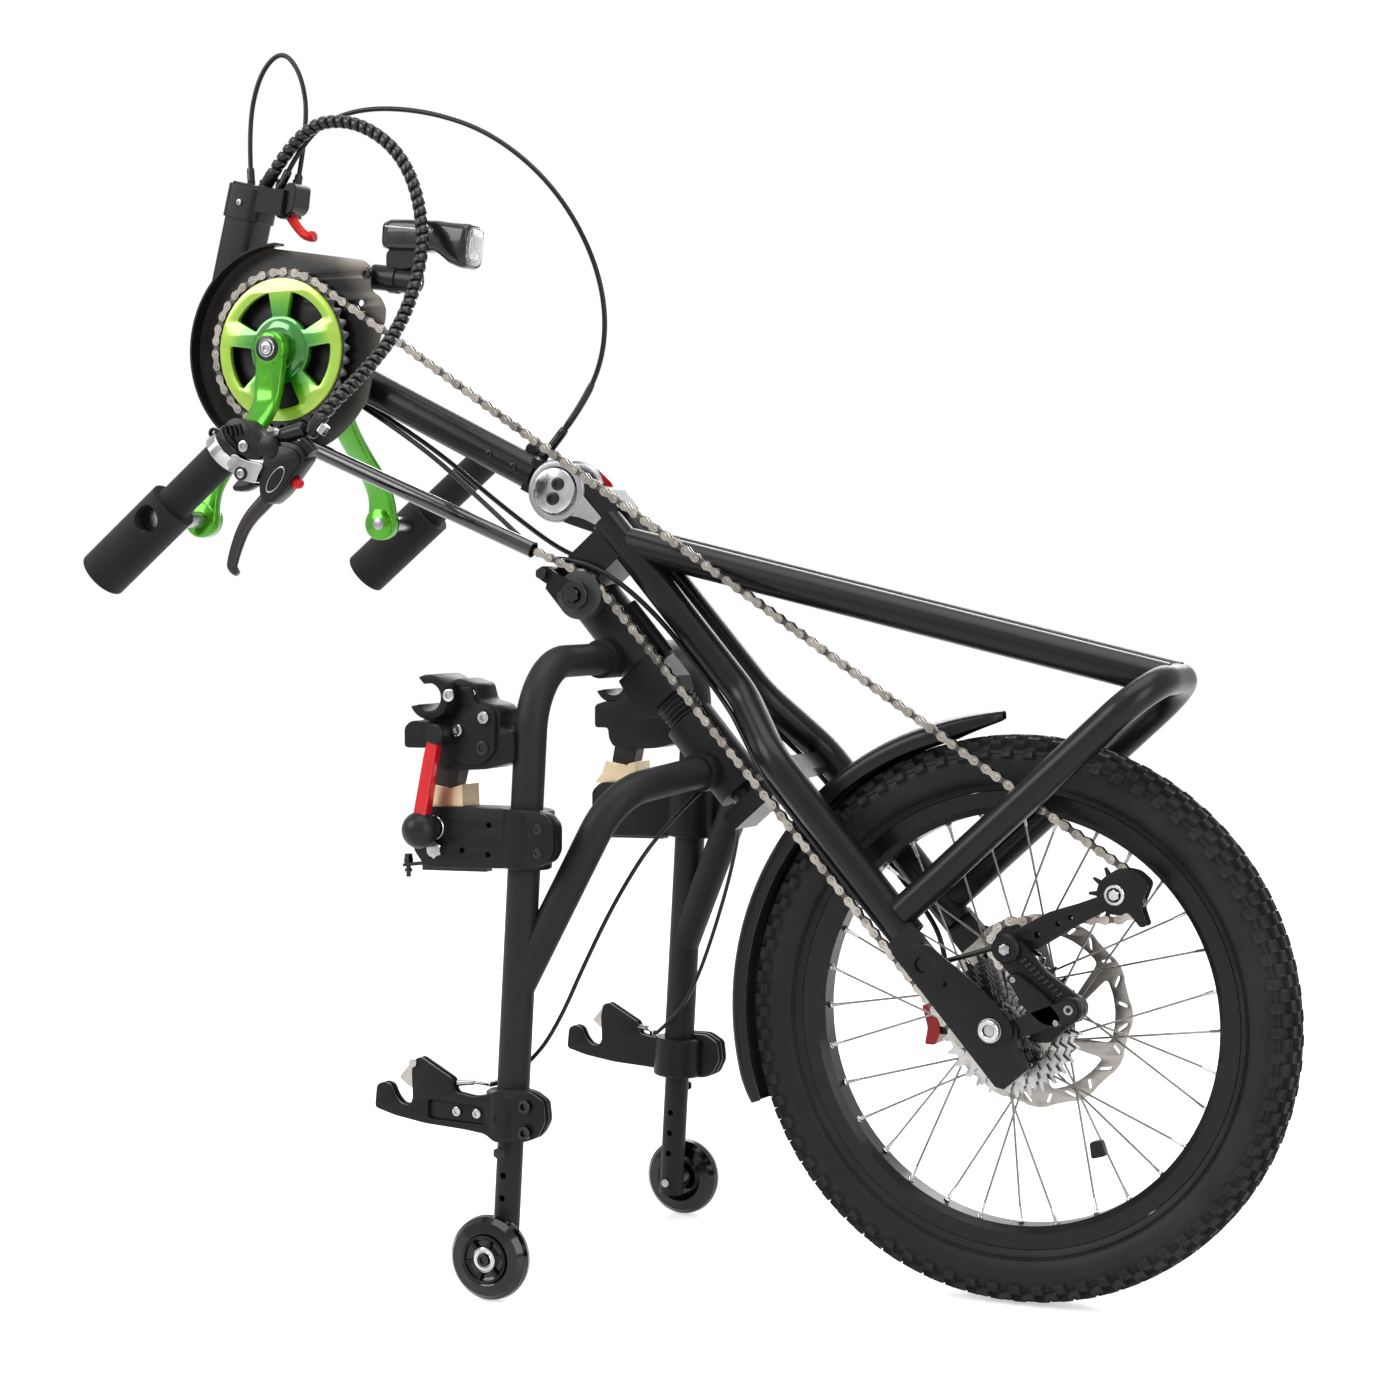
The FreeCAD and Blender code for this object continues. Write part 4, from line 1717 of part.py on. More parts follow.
RELEASE_ROUTE = (
    (-445.0, -158.9, 193.0), (-418.0, -153.0, 214.0), (-394.0, -148.0, 252.0),
    (-372.0, -142.0, 304.0), (-346.0, -126.0, 366.0), (-320.0, -92.0, 424.0),
    (-305.0, -36.0, 456.6))
release_cable = cable("release_cable", [axle_point(*spot) for spot in RELEASE_ROUTE],
                      d.release_cable_radius)
nodes["release_cables"] = group("release_cables", release_cable,
                                mirrored("release_cable_left", release_cable))

# Fittings are bored where a hose or cable enters them
def seated(name, *entering):
    unbored = nodes[name]
    unbored.Label = name + "_unbored"
    nodes[name] = cut(name, unbored, *entering)


seated("cable_mast", nodes["control_hose"], nodes["mast_cables"])
seated("boom", nodes["mast_cables"])
seated("derailleur_body", nodes["frame_cables"])
seated("brake_caliper", nodes["frame_cables"])
seated("hook_plates", nodes["release_cables"])
seated("lower_head_block", nodes["release_cables"])

# Check every object and write one file for each node
doc.recompute()
for item in doc.Objects:
    if "Invalid" in item.State or "Error" in item.State:
        raise RuntimeError("failed object: " + item.Label)
os.makedirs("parts", exist_ok=True)
if len(nodes) > 60:
    raise RuntimeError("more than sixty nodes")
whole = FreeCAD.BoundBox()
for name, item in nodes.items():
    item.Label = name
    shape = item.Shape
    if shape.isNull() or not shape.isValid() or not shape.Solids:
        raise RuntimeError("bad shape: " + name)
    shape.exportStep("parts/%s.step" % name)
    whole.add(shape.BoundBox)
    box = shape.BoundBox
    print("%-20s %2d solids  X %7.1f %7.1f  Y %7.1f %7.1f  Z %7.1f %7.1f" % (
        name, len(shape.Solids), box.XMin, box.XMax, box.YMin, box.YMax, box.ZMin, box.ZMax))
print("nodes", len(nodes), "box", whole)
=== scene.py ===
"""A clip-on handcycle drive unit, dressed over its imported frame."""

import bmesh
import bpy
import math
import numpy as np
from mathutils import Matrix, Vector


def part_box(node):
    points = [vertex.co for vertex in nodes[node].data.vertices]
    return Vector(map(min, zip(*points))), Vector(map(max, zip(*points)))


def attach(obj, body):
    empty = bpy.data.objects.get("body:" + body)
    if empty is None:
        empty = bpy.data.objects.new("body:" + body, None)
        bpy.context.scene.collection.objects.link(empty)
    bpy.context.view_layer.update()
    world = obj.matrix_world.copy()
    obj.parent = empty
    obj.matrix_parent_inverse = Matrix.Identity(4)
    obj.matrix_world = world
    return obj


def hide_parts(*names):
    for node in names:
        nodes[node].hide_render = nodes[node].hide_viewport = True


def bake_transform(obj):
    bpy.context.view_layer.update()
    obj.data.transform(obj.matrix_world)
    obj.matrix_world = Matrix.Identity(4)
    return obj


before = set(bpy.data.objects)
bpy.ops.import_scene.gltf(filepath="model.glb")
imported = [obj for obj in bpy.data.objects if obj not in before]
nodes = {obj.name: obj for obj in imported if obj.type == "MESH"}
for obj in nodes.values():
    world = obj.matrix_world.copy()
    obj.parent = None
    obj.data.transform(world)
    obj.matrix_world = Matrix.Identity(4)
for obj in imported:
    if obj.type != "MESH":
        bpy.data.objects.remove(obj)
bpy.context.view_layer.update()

# Places in metres and unit directions
WHEEL_X = 0.3082
AXLE = np.array([WHEEL_X, 0.0, 0.258])
CRANK = np.array([-0.4498, 0.0, 0.882])
KNUCKLE = np.array([-0.1548, 0.0, 0.74])
IDLER = np.array([-0.1168, -0.045, 0.6406])
GUIDE = np.array([0.3182, -0.045, 0.3295])
TENSION = np.array([0.4122, -0.045, 0.38])
CHAIN_Y = -0.045
X, Y, Z = np.eye(3)
HEAD_BASE = np.array([-0.0898, 0.0, 0.597])
HEAD = np.array([0.656, 0.0, -0.755])
AHEAD = np.array([0.755, 0.0, 0.656])
BOOM = np.array([-0.901, 0.0, 0.434])
GRIP = np.array([0.777, 0.0, 0.629])
CRANK_DOWN = np.array([-0.0698, 0.0, -0.9976])

# Counts and standard measures
CRANK_LENGTH = 0.17
CRANK_TEETH = 38
LINK_PITCH = 0.0127
SPOKES = 32
ROTOR_BOLTS = 6
TREAD_BLOCKS = 72
TYRE_SIDES = 160
ARC_STEPS = 90


# Materials

class Wire:
    """An output socket; arithmetic on it adds Math nodes."""

    def __init__(self, desk, socket):
        self.desk, self.socket = desk, socket

    def __add__(self, other):
        return self.desk.math("ADD", self, other)

    __radd__ = __add__

    def __sub__(self, other):
        return self.desk.math("SUBTRACT", self, other)

    def __rsub__(self, other):
        return self.desk.math("SUBTRACT", other, self)

    def __mul__(self, other):
        return self.desk.math("MULTIPLY", self, other)

    __rmul__ = __mul__

    def __truediv__(self, other):
        return self.desk.math("DIVIDE", self, other)

class Desk:
    """The nodes of one material."""

    def __init__(self, name):
        self.material = bpy.data.materials.new(name)
        self.material.use_nodes = True
        self.tree = self.material.node_tree
        self.tree.nodes.clear()

    def node(self, kind, settings=None, values=None, out=0):
        """One shader node with its settings, its inputs' values or wires, and one output."""
        made = self.tree.nodes.new("ShaderNode" + kind)
        for key, value in (settings or {}).items():
            if key == "stops":
                ramp = made.color_ramp
                while len(ramp.elements) < len(value):
                    ramp.elements.new(1.0)
                for element, (place, colour) in zip(ramp.elements, value):
                    element.position = place
                    element.color = (*colour, 1.0)
            else:
                setattr(made, key, value)
        for key, value in (values or {}).items():
            if isinstance(value, Wire):
                self.tree.links.new(value.socket, made.inputs[key])
            else:
                made.inputs[key].default_value = value
        return Wire(self, made.outputs[out])

    def math(self, operation, first, second=0.0):
        """A Math node on two numbers or wires."""
        return self.node("Math", {"operation": operation}, {0: first, 1: second})

    def step(self, value, low, high):
        """0 below low, 1 above high, smooth between."""
        return self.node("MapRange", {"interpolation_type": "SMOOTHSTEP"},
                         {"Value": value, "From Min": low, "From Max": high})

    def blend(self, mask, first, second):
        """The first colour where the mask is 0, the second where it is 1."""
        first = first if isinstance(first, Wire) else (*first, 1.0)
        second = second if isinstance(second, Wire) else (*second, 1.0)
        return self.node("Mix", {"data_type": "RGBA"}, {0: mask, 6: first, 7: second}, 2)

    def place(self, centre=(0, 0, 0), stretch=(1, 1, 1)):
        """The object's coordinates less a centre, times a stretch on each axis."""
        spot = self.node("TexCoord", out="Object")
        moved = self.node("VectorMath", {"operation": "SUBTRACT"}, {0: spot, 1: tuple(centre)})
        return self.node("VectorMath", {"operation": "MULTIPLY"}, {0: moved, 1: tuple(stretch)})

    def radius(self, centre):
        """Distance from an axle along Y: the length of (x, z) less the centre's."""
        where = self.place(centre, (1, 0, 1))
        return self.node("VectorMath", {"operation": "LENGTH"}, {0: where}, "Value")

    def noise(self, scale, detail=3.0, where=None):
        """Fractal noise between 0 and 1."""
        values = {"Scale": scale, "Detail": detail, "Roughness": 0.55,
                  "Vector": where or self.place()}
        return self.node("TexNoise", values=values)

    def bump(self, height, depth):
        """Surface normals tilted by a height between 0 and 1 times a depth in metres."""
        return self.node("Bump", values={"Strength": 1.0, "Distance": depth, "Height": height})

    def finish(self, **values):
        """The material, with a Principled surface that has the named values."""
        names = {"colour": "Base Color", "rough": "Roughness", "metal": "Metallic",
                 "coat": "Coat Weight", "coat_rough": "Coat Roughness", "normal": "Normal",
                 "glass": "Transmission Weight", "sheen": "Sheen Weight",
                 "ior": "IOR", "specular": "Specular IOR Level", "glow": "Emission Color",
                 "glow_power": "Emission Strength"}
        fixed = {}
        for key, value in values.items():
            if key in ("colour", "glow") and not isinstance(value, Wire):
                value = (*value, 1.0)
            fixed[names[key]] = value
        surface = self.node("BsdfPrincipled", values=fixed)
        output = self.tree.nodes.new("ShaderNodeOutputMaterial")
        self.tree.links.new(surface.socket, output.inputs["Surface"])
        return self.material


def tinted(colour, share):
    """A colour times a share, each channel at most 1."""
    return tuple(min(1.0, channel * share) for channel in colour)


def powder_coat(name, colour, rough=0.42, grain=1100.0, depth=0.00006, coat=0.0):
    """Baked powder: a fine orange peel, a soft mottle and a little shine change."""
    desk = Desk(name)
    cloud = desk.noise(28.0, 4.0)
    peel = desk.noise(grain, 2.0)
    return desk.finish(
        colour=desk.blend(cloud, tinted(colour, 0.8), tinted(colour, 1.25)),
        rough=rough + (cloud - 0.5) * 0.14 + (peel - 0.5) * 0.08, coat=coat,
        coat_rough=0.18, specular=0.15, normal=desk.bump(peel, depth))


def gloss_paint(name, colour, rough=0.16, metal=0.0, shade=0.7, coat=1.0, flake=0.0):
    """Lacquer over a colour coat, with faint waves and, where asked, metal flake."""
    desk = Desk(name)
    wave = desk.noise(60.0, 2.0)
    tone = desk.blend(wave, tinted(colour, shade), tinted(colour, 1.2))
    if flake:
        speck = desk.noise(5200.0, 1.0)
        tone = desk.blend(desk.step(speck, 0.55, 0.8) * flake, tone, tinted(colour, 1.9))
    return desk.finish(colour=tone, rough=rough + (wave - 0.5) * 0.08, metal=metal, coat=coat,
                       coat_rough=0.05, specular=0.2, normal=desk.bump(wave, 0.0004))


def bare_metal(name, colour, rough=0.24, along=(1.0, 1.0, 1.0), depth=0.00003, stain=0.18):
    """Bare metal with fine draw lines along one direction and duller patches."""
    desk = Desk(name)
    lines = desk.noise(900.0, 2.0, desk.place(stretch=along))
    patch = desk.noise(45.0, 4.0)
    return desk.finish(
        colour=desk.blend(desk.step(patch, 0.35, 0.75), colour, tinted(colour, 1.0 - stain)),
        rough=rough + (lines - 0.5) * 0.16 + (patch - 0.5) * 0.12, metal=1.0,
        normal=desk.bump(lines, depth))


def moulded(name, colour, rough=0.5, grain=700.0, depth=0.00008, coat=0.0):
    """Moulded plastic with a spark-eroded grain."""
    desk = Desk(name)
    cell = desk.node("TexVoronoi", {"feature": "F1"}, {"Scale": grain, "Vector": desk.place()})
    cloud = desk.noise(20.0, 3.0)
    return desk.finish(
        colour=desk.blend(cloud, tinted(colour, 0.75), tinted(colour, 1.3)),
        rough=rough + (cloud - 0.5) * 0.12, coat=coat, coat_rough=0.1, specular=0.17,
        normal=desk.bump(cell, depth))


def soft_rubber(name, colour, rough=0.75, grain=1500.0, depth=0.00012, sheen=0.15):
    """Rubber with fine pores and a dusty bloom in random patches."""
    desk = Desk(name)
    pore = desk.noise(grain, 3.0)
    bloom = desk.noise(18.0, 5.0)
    return desk.finish(
        colour=desk.blend(desk.step(bloom, 0.4, 0.8), colour, tinted(colour, 1.9)),
        rough=rough + (bloom - 0.5) * 0.16, sheen=sheen, specular=0.15,
        normal=desk.bump(pore, depth))


def ring_turned(name, colour, centre, rough=0.26, pitch=2600.0, stain=0.25):
    """Metal ground in circles about a wheel's axle."""
    desk = Desk(name)
    radius = desk.radius(centre)
    groove = desk.node("TexNoise", {"noise_dimensions": "1D"},
                       {"W": radius, "Scale": pitch, "Detail": 2.0})
    patch = desk.noise(60.0, 4.0)
    return desk.finish(
        colour=desk.blend(desk.step(patch, 0.4, 0.8), colour, tinted(colour, 1.0 - stain)),
        rough=rough + (groove - 0.5) * 0.2, metal=1.0, normal=desk.bump(groove, 0.00004))


def guard_face(name):
    """A painted bronze sheen on the guard's wing, passing to the guard's black in the painted shade
    of the ring.
    """
    desk = Desk(name)
    radius = desk.radius(CRANK)
    cloud = desk.noise(24.0, 4.0)
    peel = desk.noise(900.0, 2.0)
    # mask of the painted sheen: bronze sheen outwards, painted shade of the ring inwards
    wing = desk.step(radius + (cloud - 0.5) * 0.012, 0.086, 0.125)
    return desk.finish(colour=desk.blend(wing, (0.006, 0.006, 0.0063), (0.15, 0.133, 0.115)),
                       rough=0.36 + (cloud - 0.5) * 0.14, metal=wing * 0.7, specular=0.15,
                       normal=desk.bump(peel, 0.00005))


def chainring_lacquer_and_reflection(name):
    """Lime at the ring's rim, passing to deep green round the crank's boss: partly the lacquer's
    colour and partly painted reflection.
    """
    desk = Desk(name)
    radius = desk.radius(CRANK)
    wave = desk.noise(90.0, 3.0)
    # ramp by distance from the crank: the ring's lime and green, with painted reflection in the fade
    tone = desk.node("ValToRGB", {"stops": [
        (0.0, (0.004, 0.09, 0.004)), (0.42, (0.008, 0.17, 0.004)), (0.62, (0.07, 0.33, 0.008)),
        (0.8, (0.27, 0.48, 0.03)), (1.0, (0.35, 0.52, 0.045))]},
        {"Fac": radius / 0.074 + (wave - 0.5) * 0.08})
    teeth = desk.step(radius, 0.0722, 0.0728)
    return desk.finish(colour=desk.blend(teeth, tone, (0.05, 0.05, 0.055)),
                       rough=0.2 + (wave - 0.5) * 0.08 + teeth * 0.12,
                       metal=0.35 + teeth * 0.6, coat=1.0 - teeth, coat_rough=0.06)


FRAME_BLACK = powder_coat("frame_black_powder", (0.0052, 0.0052, 0.0056), 0.34, coat=0.12)
DOCK_GREY = powder_coat("dock_grey_powder", (0.0135, 0.014, 0.0148), 0.5)
CAST_BLACK = powder_coat("cast_black", (0.0075, 0.0075, 0.0078), 0.42, 700.0, 0.00015)
HOOK_BLACK = powder_coat("hook_black", (0.0078, 0.0078, 0.0082), 0.38)
RIM_BLACK = gloss_paint("rim_black_gloss", (0.0035, 0.0035, 0.004), 0.3, coat=0.06)
HUB_BLACK = bare_metal("hub_black_anodised", (0.022, 0.022, 0.024), 0.34, (1, 0.05, 1))
SPOKE_STEEL = bare_metal("spoke_steel", (0.2, 0.19, 0.18), 0.24, stain=0.3)
ROTOR_STEEL = ring_turned("rotor_steel", (0.36, 0.335, 0.31), AXLE, 0.34)
AXLE_STEEL = bare_metal("axle_steel", (0.36, 0.36, 0.37), 0.26, stain=0.4)
SPROCKET = ring_turned("sprocket_nickel", (0.42, 0.42, 0.42), AXLE, 0.24, stain=0.5)
CHAIN_PLATE = bare_metal("chain_plate_nickel", (0.4, 0.37, 0.33), 0.2, stain=0.5)
CHAIN_ROLLER = bare_metal("chain_roller_steel", (0.07, 0.062, 0.055), 0.3)
RING_GREEN = chainring_lacquer_and_reflection("chainring_lime")
ARM_GREEN = gloss_paint("crank_green", (0.06, 0.31, 0.008), 0.22, metal=0.5, coat=0.4, flake=0.2)
HANDLE_RUBBER = soft_rubber("handle_rubber", (0.0062, 0.0062, 0.0065), 0.7, 2200.0, 0.0001, 0.08)
CONTROL_BLACK = moulded("control_black", (0.0055, 0.0055, 0.006), 0.32, coat=0.08)
LEVER_DARK = bare_metal("lever_dark_anodised", (0.048, 0.044, 0.042), 0.3)
RED_ANODISED = gloss_paint("lever_red", (0.56, 0.008, 0.012), 0.32, metal=0.25, coat=0.5)
RED_PLASTIC = moulded("button_red", (0.55, 0.012, 0.012), 0.36)
GOLD = bare_metal("wedge_champagne", (0.58, 0.47, 0.31), 0.32, (1, 0.1, 1))
BALL_BLACK = moulded("ball_black", (0.012, 0.012, 0.0125), 0.34)
CASTOR_BLACK = gloss_paint("castor_black", (0.0025, 0.0025, 0.003), 0.12, coat=0.3)
CASTOR_HUB = moulded("castor_hub_black", (0.0035, 0.0035, 0.004), 0.38)
CABLE_BLACK = moulded("cable_black", (0.006, 0.006, 0.0063), 0.3, 1500.0, 0.00003, 0.12)
WRAP_BLACK = gloss_paint("spiral_wrap_black", (0.005, 0.005, 0.0053), 0.28, coat=0.35)
LAMP_BLACK = gloss_paint("lamp_black", (0.009, 0.009, 0.0095), 0.26, coat=0.4)
GUARD_BLACK = moulded("guard_black", (0.006, 0.006, 0.0063), 0.3, 600.0, 0.00003, 0.1)
MUDGUARD = moulded("mudguard_black", (0.0065, 0.0065, 0.0068), 0.34, 500.0, 0.00003, 0.05)
TUBE_BLACK = gloss_paint("chain_tube_black", (0.006, 0.006, 0.0065), 0.16, coat=1.0)
SCREW_STEEL = bare_metal("screw_steel", (0.3, 0.3, 0.3), 0.26, stain=0.4)
SCREW_DARK = bare_metal("screw_black", (0.035, 0.035, 0.037), 0.3)
POLISHED = bare_metal("polished_steel", (0.5, 0.5, 0.5), 0.14, depth=0.00001, stain=0.45)
SATIN_GREY = bare_metal("knuckle_satin", (0.3, 0.3, 0.31), 0.36)
IDLER_GREY = moulded("idler_grey", (0.05, 0.051, 0.053), 0.42)
TYRE = soft_rubber("tyre_rubber", (0.0105, 0.0105, 0.011), 0.5, 1300.0, 0.00015, 0.05)
BOOT_RUBBER = soft_rubber("boot_rubber", (0.008, 0.008, 0.0085), 0.6)
CHAIN_INNER = bare_metal("chain_inner_plate", (0.1, 0.09, 0.08), 0.28, stain=0.4)
RING_TEETH = bare_metal("chainring_teeth_black", (0.05, 0.05, 0.055), 0.3)
GUARD_FACE = guard_face("guard_face_painted_sheen")
REFLECTOR = bare_metal("lamp_reflector_silver", (0.85, 0.85, 0.86), 0.08, depth=0.00001)
LINK_BROWN = powder_coat("clamp_link_umber", (0.028, 0.024, 0.023), 0.4)
CALIPER_RED = gloss_paint("caliper_red", (0.28, 0.008, 0.012), 0.36, metal=0.2, coat=0.2)
LATCH_STEEL = bare_metal("latch_steel", (0.4, 0.37, 0.34), 0.34, (1, 1, 0.08))


def clear_lens(name):
    """Clear moulded glass with faint upright flutes."""
    desk = Desk(name)
    flute = desk.node("TexWave", {"wave_type": "BANDS", "bands_direction": "Y"},
                      {"Scale": 90.0, "Vector": desk.place()})
    return desk.finish(colour=(0.95, 0.96, 0.97), rough=0.04 + flute * 0.05, glass=0.92,
                       ior=1.45, normal=desk.bump(flute, 0.0004))


CLEAR_LENS = clear_lens("lamp_lens_clear")

DRESS = {
    "rim": RIM_BLACK, "spokes": SPOKE_STEEL, "wheel_hub": HUB_BLACK, "brake_rotor": ROTOR_STEEL,
    "wheel_axle": AXLE_STEEL, "cassette": SPROCKET, "fork_blades": FRAME_BLACK,
    "steering_shaft": FRAME_BLACK, "guard_frame": FRAME_BLACK, "mudguard": MUDGUARD,
    "brake_caliper": CAST_BLACK, "knuckle_clevis": FRAME_BLACK, "knuckle_pin": POLISHED,
    "knuckle_lever": RED_ANODISED, "boom": FRAME_BLACK, "crank_axle": AXLE_STEEL,
    "chainring": RING_GREEN, "crank_arm_right": ARM_GREEN, "crank_arm_left": ARM_GREEN,
    "pedal_axles": AXLE_STEEL, "handle_right": HANDLE_RUBBER, "handle_left": HANDLE_RUBBER,
    "brake_master": CONTROL_BLACK, "brake_lever": LEVER_DARK, "shift_paddle": CONTROL_BLACK,
    "lock_button": RED_PLASTIC, "chain_guard": GUARD_BLACK, "lamp": LAMP_BLACK,
    "cable_mast": CAST_BLACK, "mast_lever": RED_ANODISED, "idler_wheel": IDLER_GREY,
    "idler_arm": CAST_BLACK, "derailleur_cage": LEVER_DARK, "guide_pulley": CONTROL_BLACK,
    "tension_pulley": CONTROL_BLACK, "derailleur_body": LEVER_DARK, "chain_tube": TUBE_BLACK,
    "dock_frames": DOCK_GREY, "upper_head_block": DOCK_GREY, "lower_head_block": DOCK_GREY,
    "steering_boot": BOOT_RUBBER, "legs": DOCK_GREY, "castor_wheel_right": CASTOR_BLACK,
    "castor_wheel_left": CASTOR_BLACK, "castor_axles": SCREW_STEEL,
    "clamp_brackets": CAST_BLACK, "clamp_jaws": CAST_BLACK, "clamp_wedges": GOLD,
    "clamp_lever_right": RED_ANODISED, "clamp_lever_left": RED_ANODISED,
    "hook_plates": HOOK_BLACK, "hook_latch_right": POLISHED, "hook_latch_left": POLISHED,
    "dock_fasteners": SCREW_STEEL,
}
for node_name, material in DRESS.items():
    for material_slot in nodes[node_name].material_slots:
        material_slot.material = material


# Shapes

def unit(vector):
    """Vectors divided by their lengths."""
    vector = np.asarray(vector, float)
    return vector / np.linalg.norm(vector, axis=-1, keepdims=True)


def grid_quads(rows, columns, wrap_rows=False, wrap_columns=False):
    """The quads of a grid of points, rows by columns, joined round where asked."""
    row, column = np.meshgrid(np.arange(rows if wrap_rows else rows - 1),
                              np.arange(columns if wrap_columns else columns - 1),
                              indexing="ij")
    below, beside = (row + 1) % rows, (column + 1) % columns
    return np.stack([row * columns + column, row * columns + beside,
                     below * columns + beside, below * columns + column], -1).reshape(-1, 4)


def lathe(profile, centre, axis=Y, sides=40, six=()):
    """A profile of (radius, run) turned about an axis; rows named in six are hexagons."""
    profile = np.asarray(profile, float)
    axis = unit(axis)
    across = unit(np.cross(axis, Z if abs(axis[2]) < 0.9 else X))
    turn = np.arange(sides) * 2 * math.pi / sides
    round_ = np.cos(turn)[:, None] * across + np.sin(turn)[:, None] * np.cross(axis, across)
    radius = np.repeat(profile[:, :1], sides, 1)
    flat = math.cos(math.pi / 6) / np.cos((turn + math.pi / 6) % (math.pi / 3) - math.pi / 6)
    for row in six:
        radius[row] = radius[row] * flat
    points = (np.asarray(centre, float) + radius[..., None] * round_[None]
              + profile[:, 1, None, None] * axis)
    return points.reshape(-1, 3), grid_quads(len(profile), sides, False, True).tolist()


def rod(start, end, radius, sides=14, end_radius=None, bevel=0.0):
    """A round bar between two points, its ends closed and chamfered where asked."""
    start, end = np.asarray(start, float), np.asarray(end, float)
    length = float(np.linalg.norm(end - start))
    last = radius if end_radius is None else end_radius
    return lathe([(0, 0), (radius - bevel, 0), (radius, bevel), (last, length - bevel),
                  (last - bevel, length), (0, length)], start, end - start, sides)


def socket_head(centre, axis, radius, height, sides=24):
    """A socket screw's head: chamfered rim and a six-sided hole."""
    hole = radius * 0.55
    return lathe([(0, height * 0.35), (hole, height * 0.35), (hole, height),
                  (radius * 0.88, height), (radius, height * 0.86), (radius, 0), (0, 0)],
                 centre, axis, sides, (1, 2))


def hex_nut(centre, axis, radius, height):
    """A hexagon nut or head with its chamfered crown."""
    return lathe([(0, height), (radius * 0.84, height), (radius, height * 0.82), (radius, 0),
                  (0, 0)], centre, axis, 24, (2, 3))


def prism(outline, low, high):
    """A flat outline in X and Z carried from one Y to another."""
    outline = np.asarray(outline, float)
    count = len(outline)
    points = np.concatenate([np.insert(outline, 1, low, 1), np.insert(outline, 1, high, 1)])
    ring = np.arange(count)
    beside = (ring + 1) % count
    sides = np.stack([ring, beside, beside + count, ring + count], 1).tolist()
    return points, sides + [ring[::-1].tolist(), (ring + count).tolist()]


def rounded(corners, radius, steps=5):
    """A polygon's corners cut by quadratic arcs: each corner blends its two sides."""
    corners = np.asarray(corners, float)
    back = np.roll(corners, 1, 0) - corners
    ahead = np.roll(corners, -1, 0) - corners
    reach = np.minimum(np.linalg.norm(back, axis=1), np.linalg.norm(ahead, axis=1)) * 0.48
    reach = np.minimum(reach, radius)[:, None]
    start, end = corners + unit(back) * reach, corners + unit(ahead) * reach
    t = np.linspace(0, 1, steps)[None, :, None]
    arcs = ((1 - t) ** 2 * start[:, None] + 2 * t * (1 - t) * corners[:, None]
            + t ** 2 * end[:, None])
    return arcs.reshape(-1, corners.shape[1])


def directions(path, up, closed=False):
    """Unit tangent, side and rise at each point of a path, for one fixed up."""
    path = np.asarray(path, float)
    if closed:
        tangent = np.roll(path, -1, 0) - np.roll(path, 1, 0)
    else:
        tangent = np.gradient(path, axis=0)
    tangent = unit(tangent)
    side = unit(np.cross(np.asarray(up, float), tangent))
    return tangent, side, np.cross(tangent, side)


def sweep(path, outline, up=Y, closed=False, scale=None):
    """An outline of (side, rise) carried along a path, its ends capped; scale holds one
    size, or one for each direction, at every point of the path."""
    path, outline = np.asarray(path, float), np.asarray(outline, float)
    tangent, side, rise = directions(path, up, closed)
    size = np.ones(len(path)) if scale is None else np.asarray(scale, float)
    size = np.broadcast_to(size.reshape(len(path), -1), (len(path), 2))[:, None]
    points = (path[:, None] + size[..., :1] * outline[None, :, :1] * side[:, None]
              + size[..., 1:] * outline[None, :, 1:] * rise[:, None])
    faces = grid_quads(len(path), len(outline), closed, True).tolist()
    if not closed:
        first = np.arange(len(outline))
        faces += [first.tolist(), (first + (len(path) - 1) * len(outline))[::-1].tolist()]
    return points.reshape(-1, 3), faces


def circle(radius, sides=12):
    """A circle's points: the radius times each angle's cosine and sine."""
    turn = np.arange(sides) * 2 * math.pi / sides
    return np.stack([radius * np.cos(turn), radius * np.sin(turn)], 1)


def curve_through(points, steps=8):
    """Smooth path through points: uniform Catmull-Rom between each pair."""
    points = np.asarray(points, float)
    full = np.concatenate([2 * points[:1] - points[1:2], points, 2 * points[-1:] - points[-2:-1]])
    t = np.linspace(0, 1, steps, endpoint=False)[None, :, None]
    a, b, c, d = (full[i:len(full) - 3 + i][:, None] for i in range(4))
    runs = 0.5 * (2 * b + (c - a) * t + (2 * a - 5 * b + 4 * c - d) * t ** 2
                  + (3 * b - a - 3 * c + d) * t ** 3)
    return np.concatenate([runs.reshape(-1, points.shape[1]), points[-1:]])


def repeated(shape, places, axes):
    """One shape set at many places; axes holds three unit vectors for each."""
    points, faces = shape
    set_ = places[:, None] + np.einsum("nk,mkj->mnj", points, axes)
    count = len(points)
    every = [[index + step * count for index in face]
             for step in range(len(places)) for face in faces]
    return set_.reshape(-1, 3), every


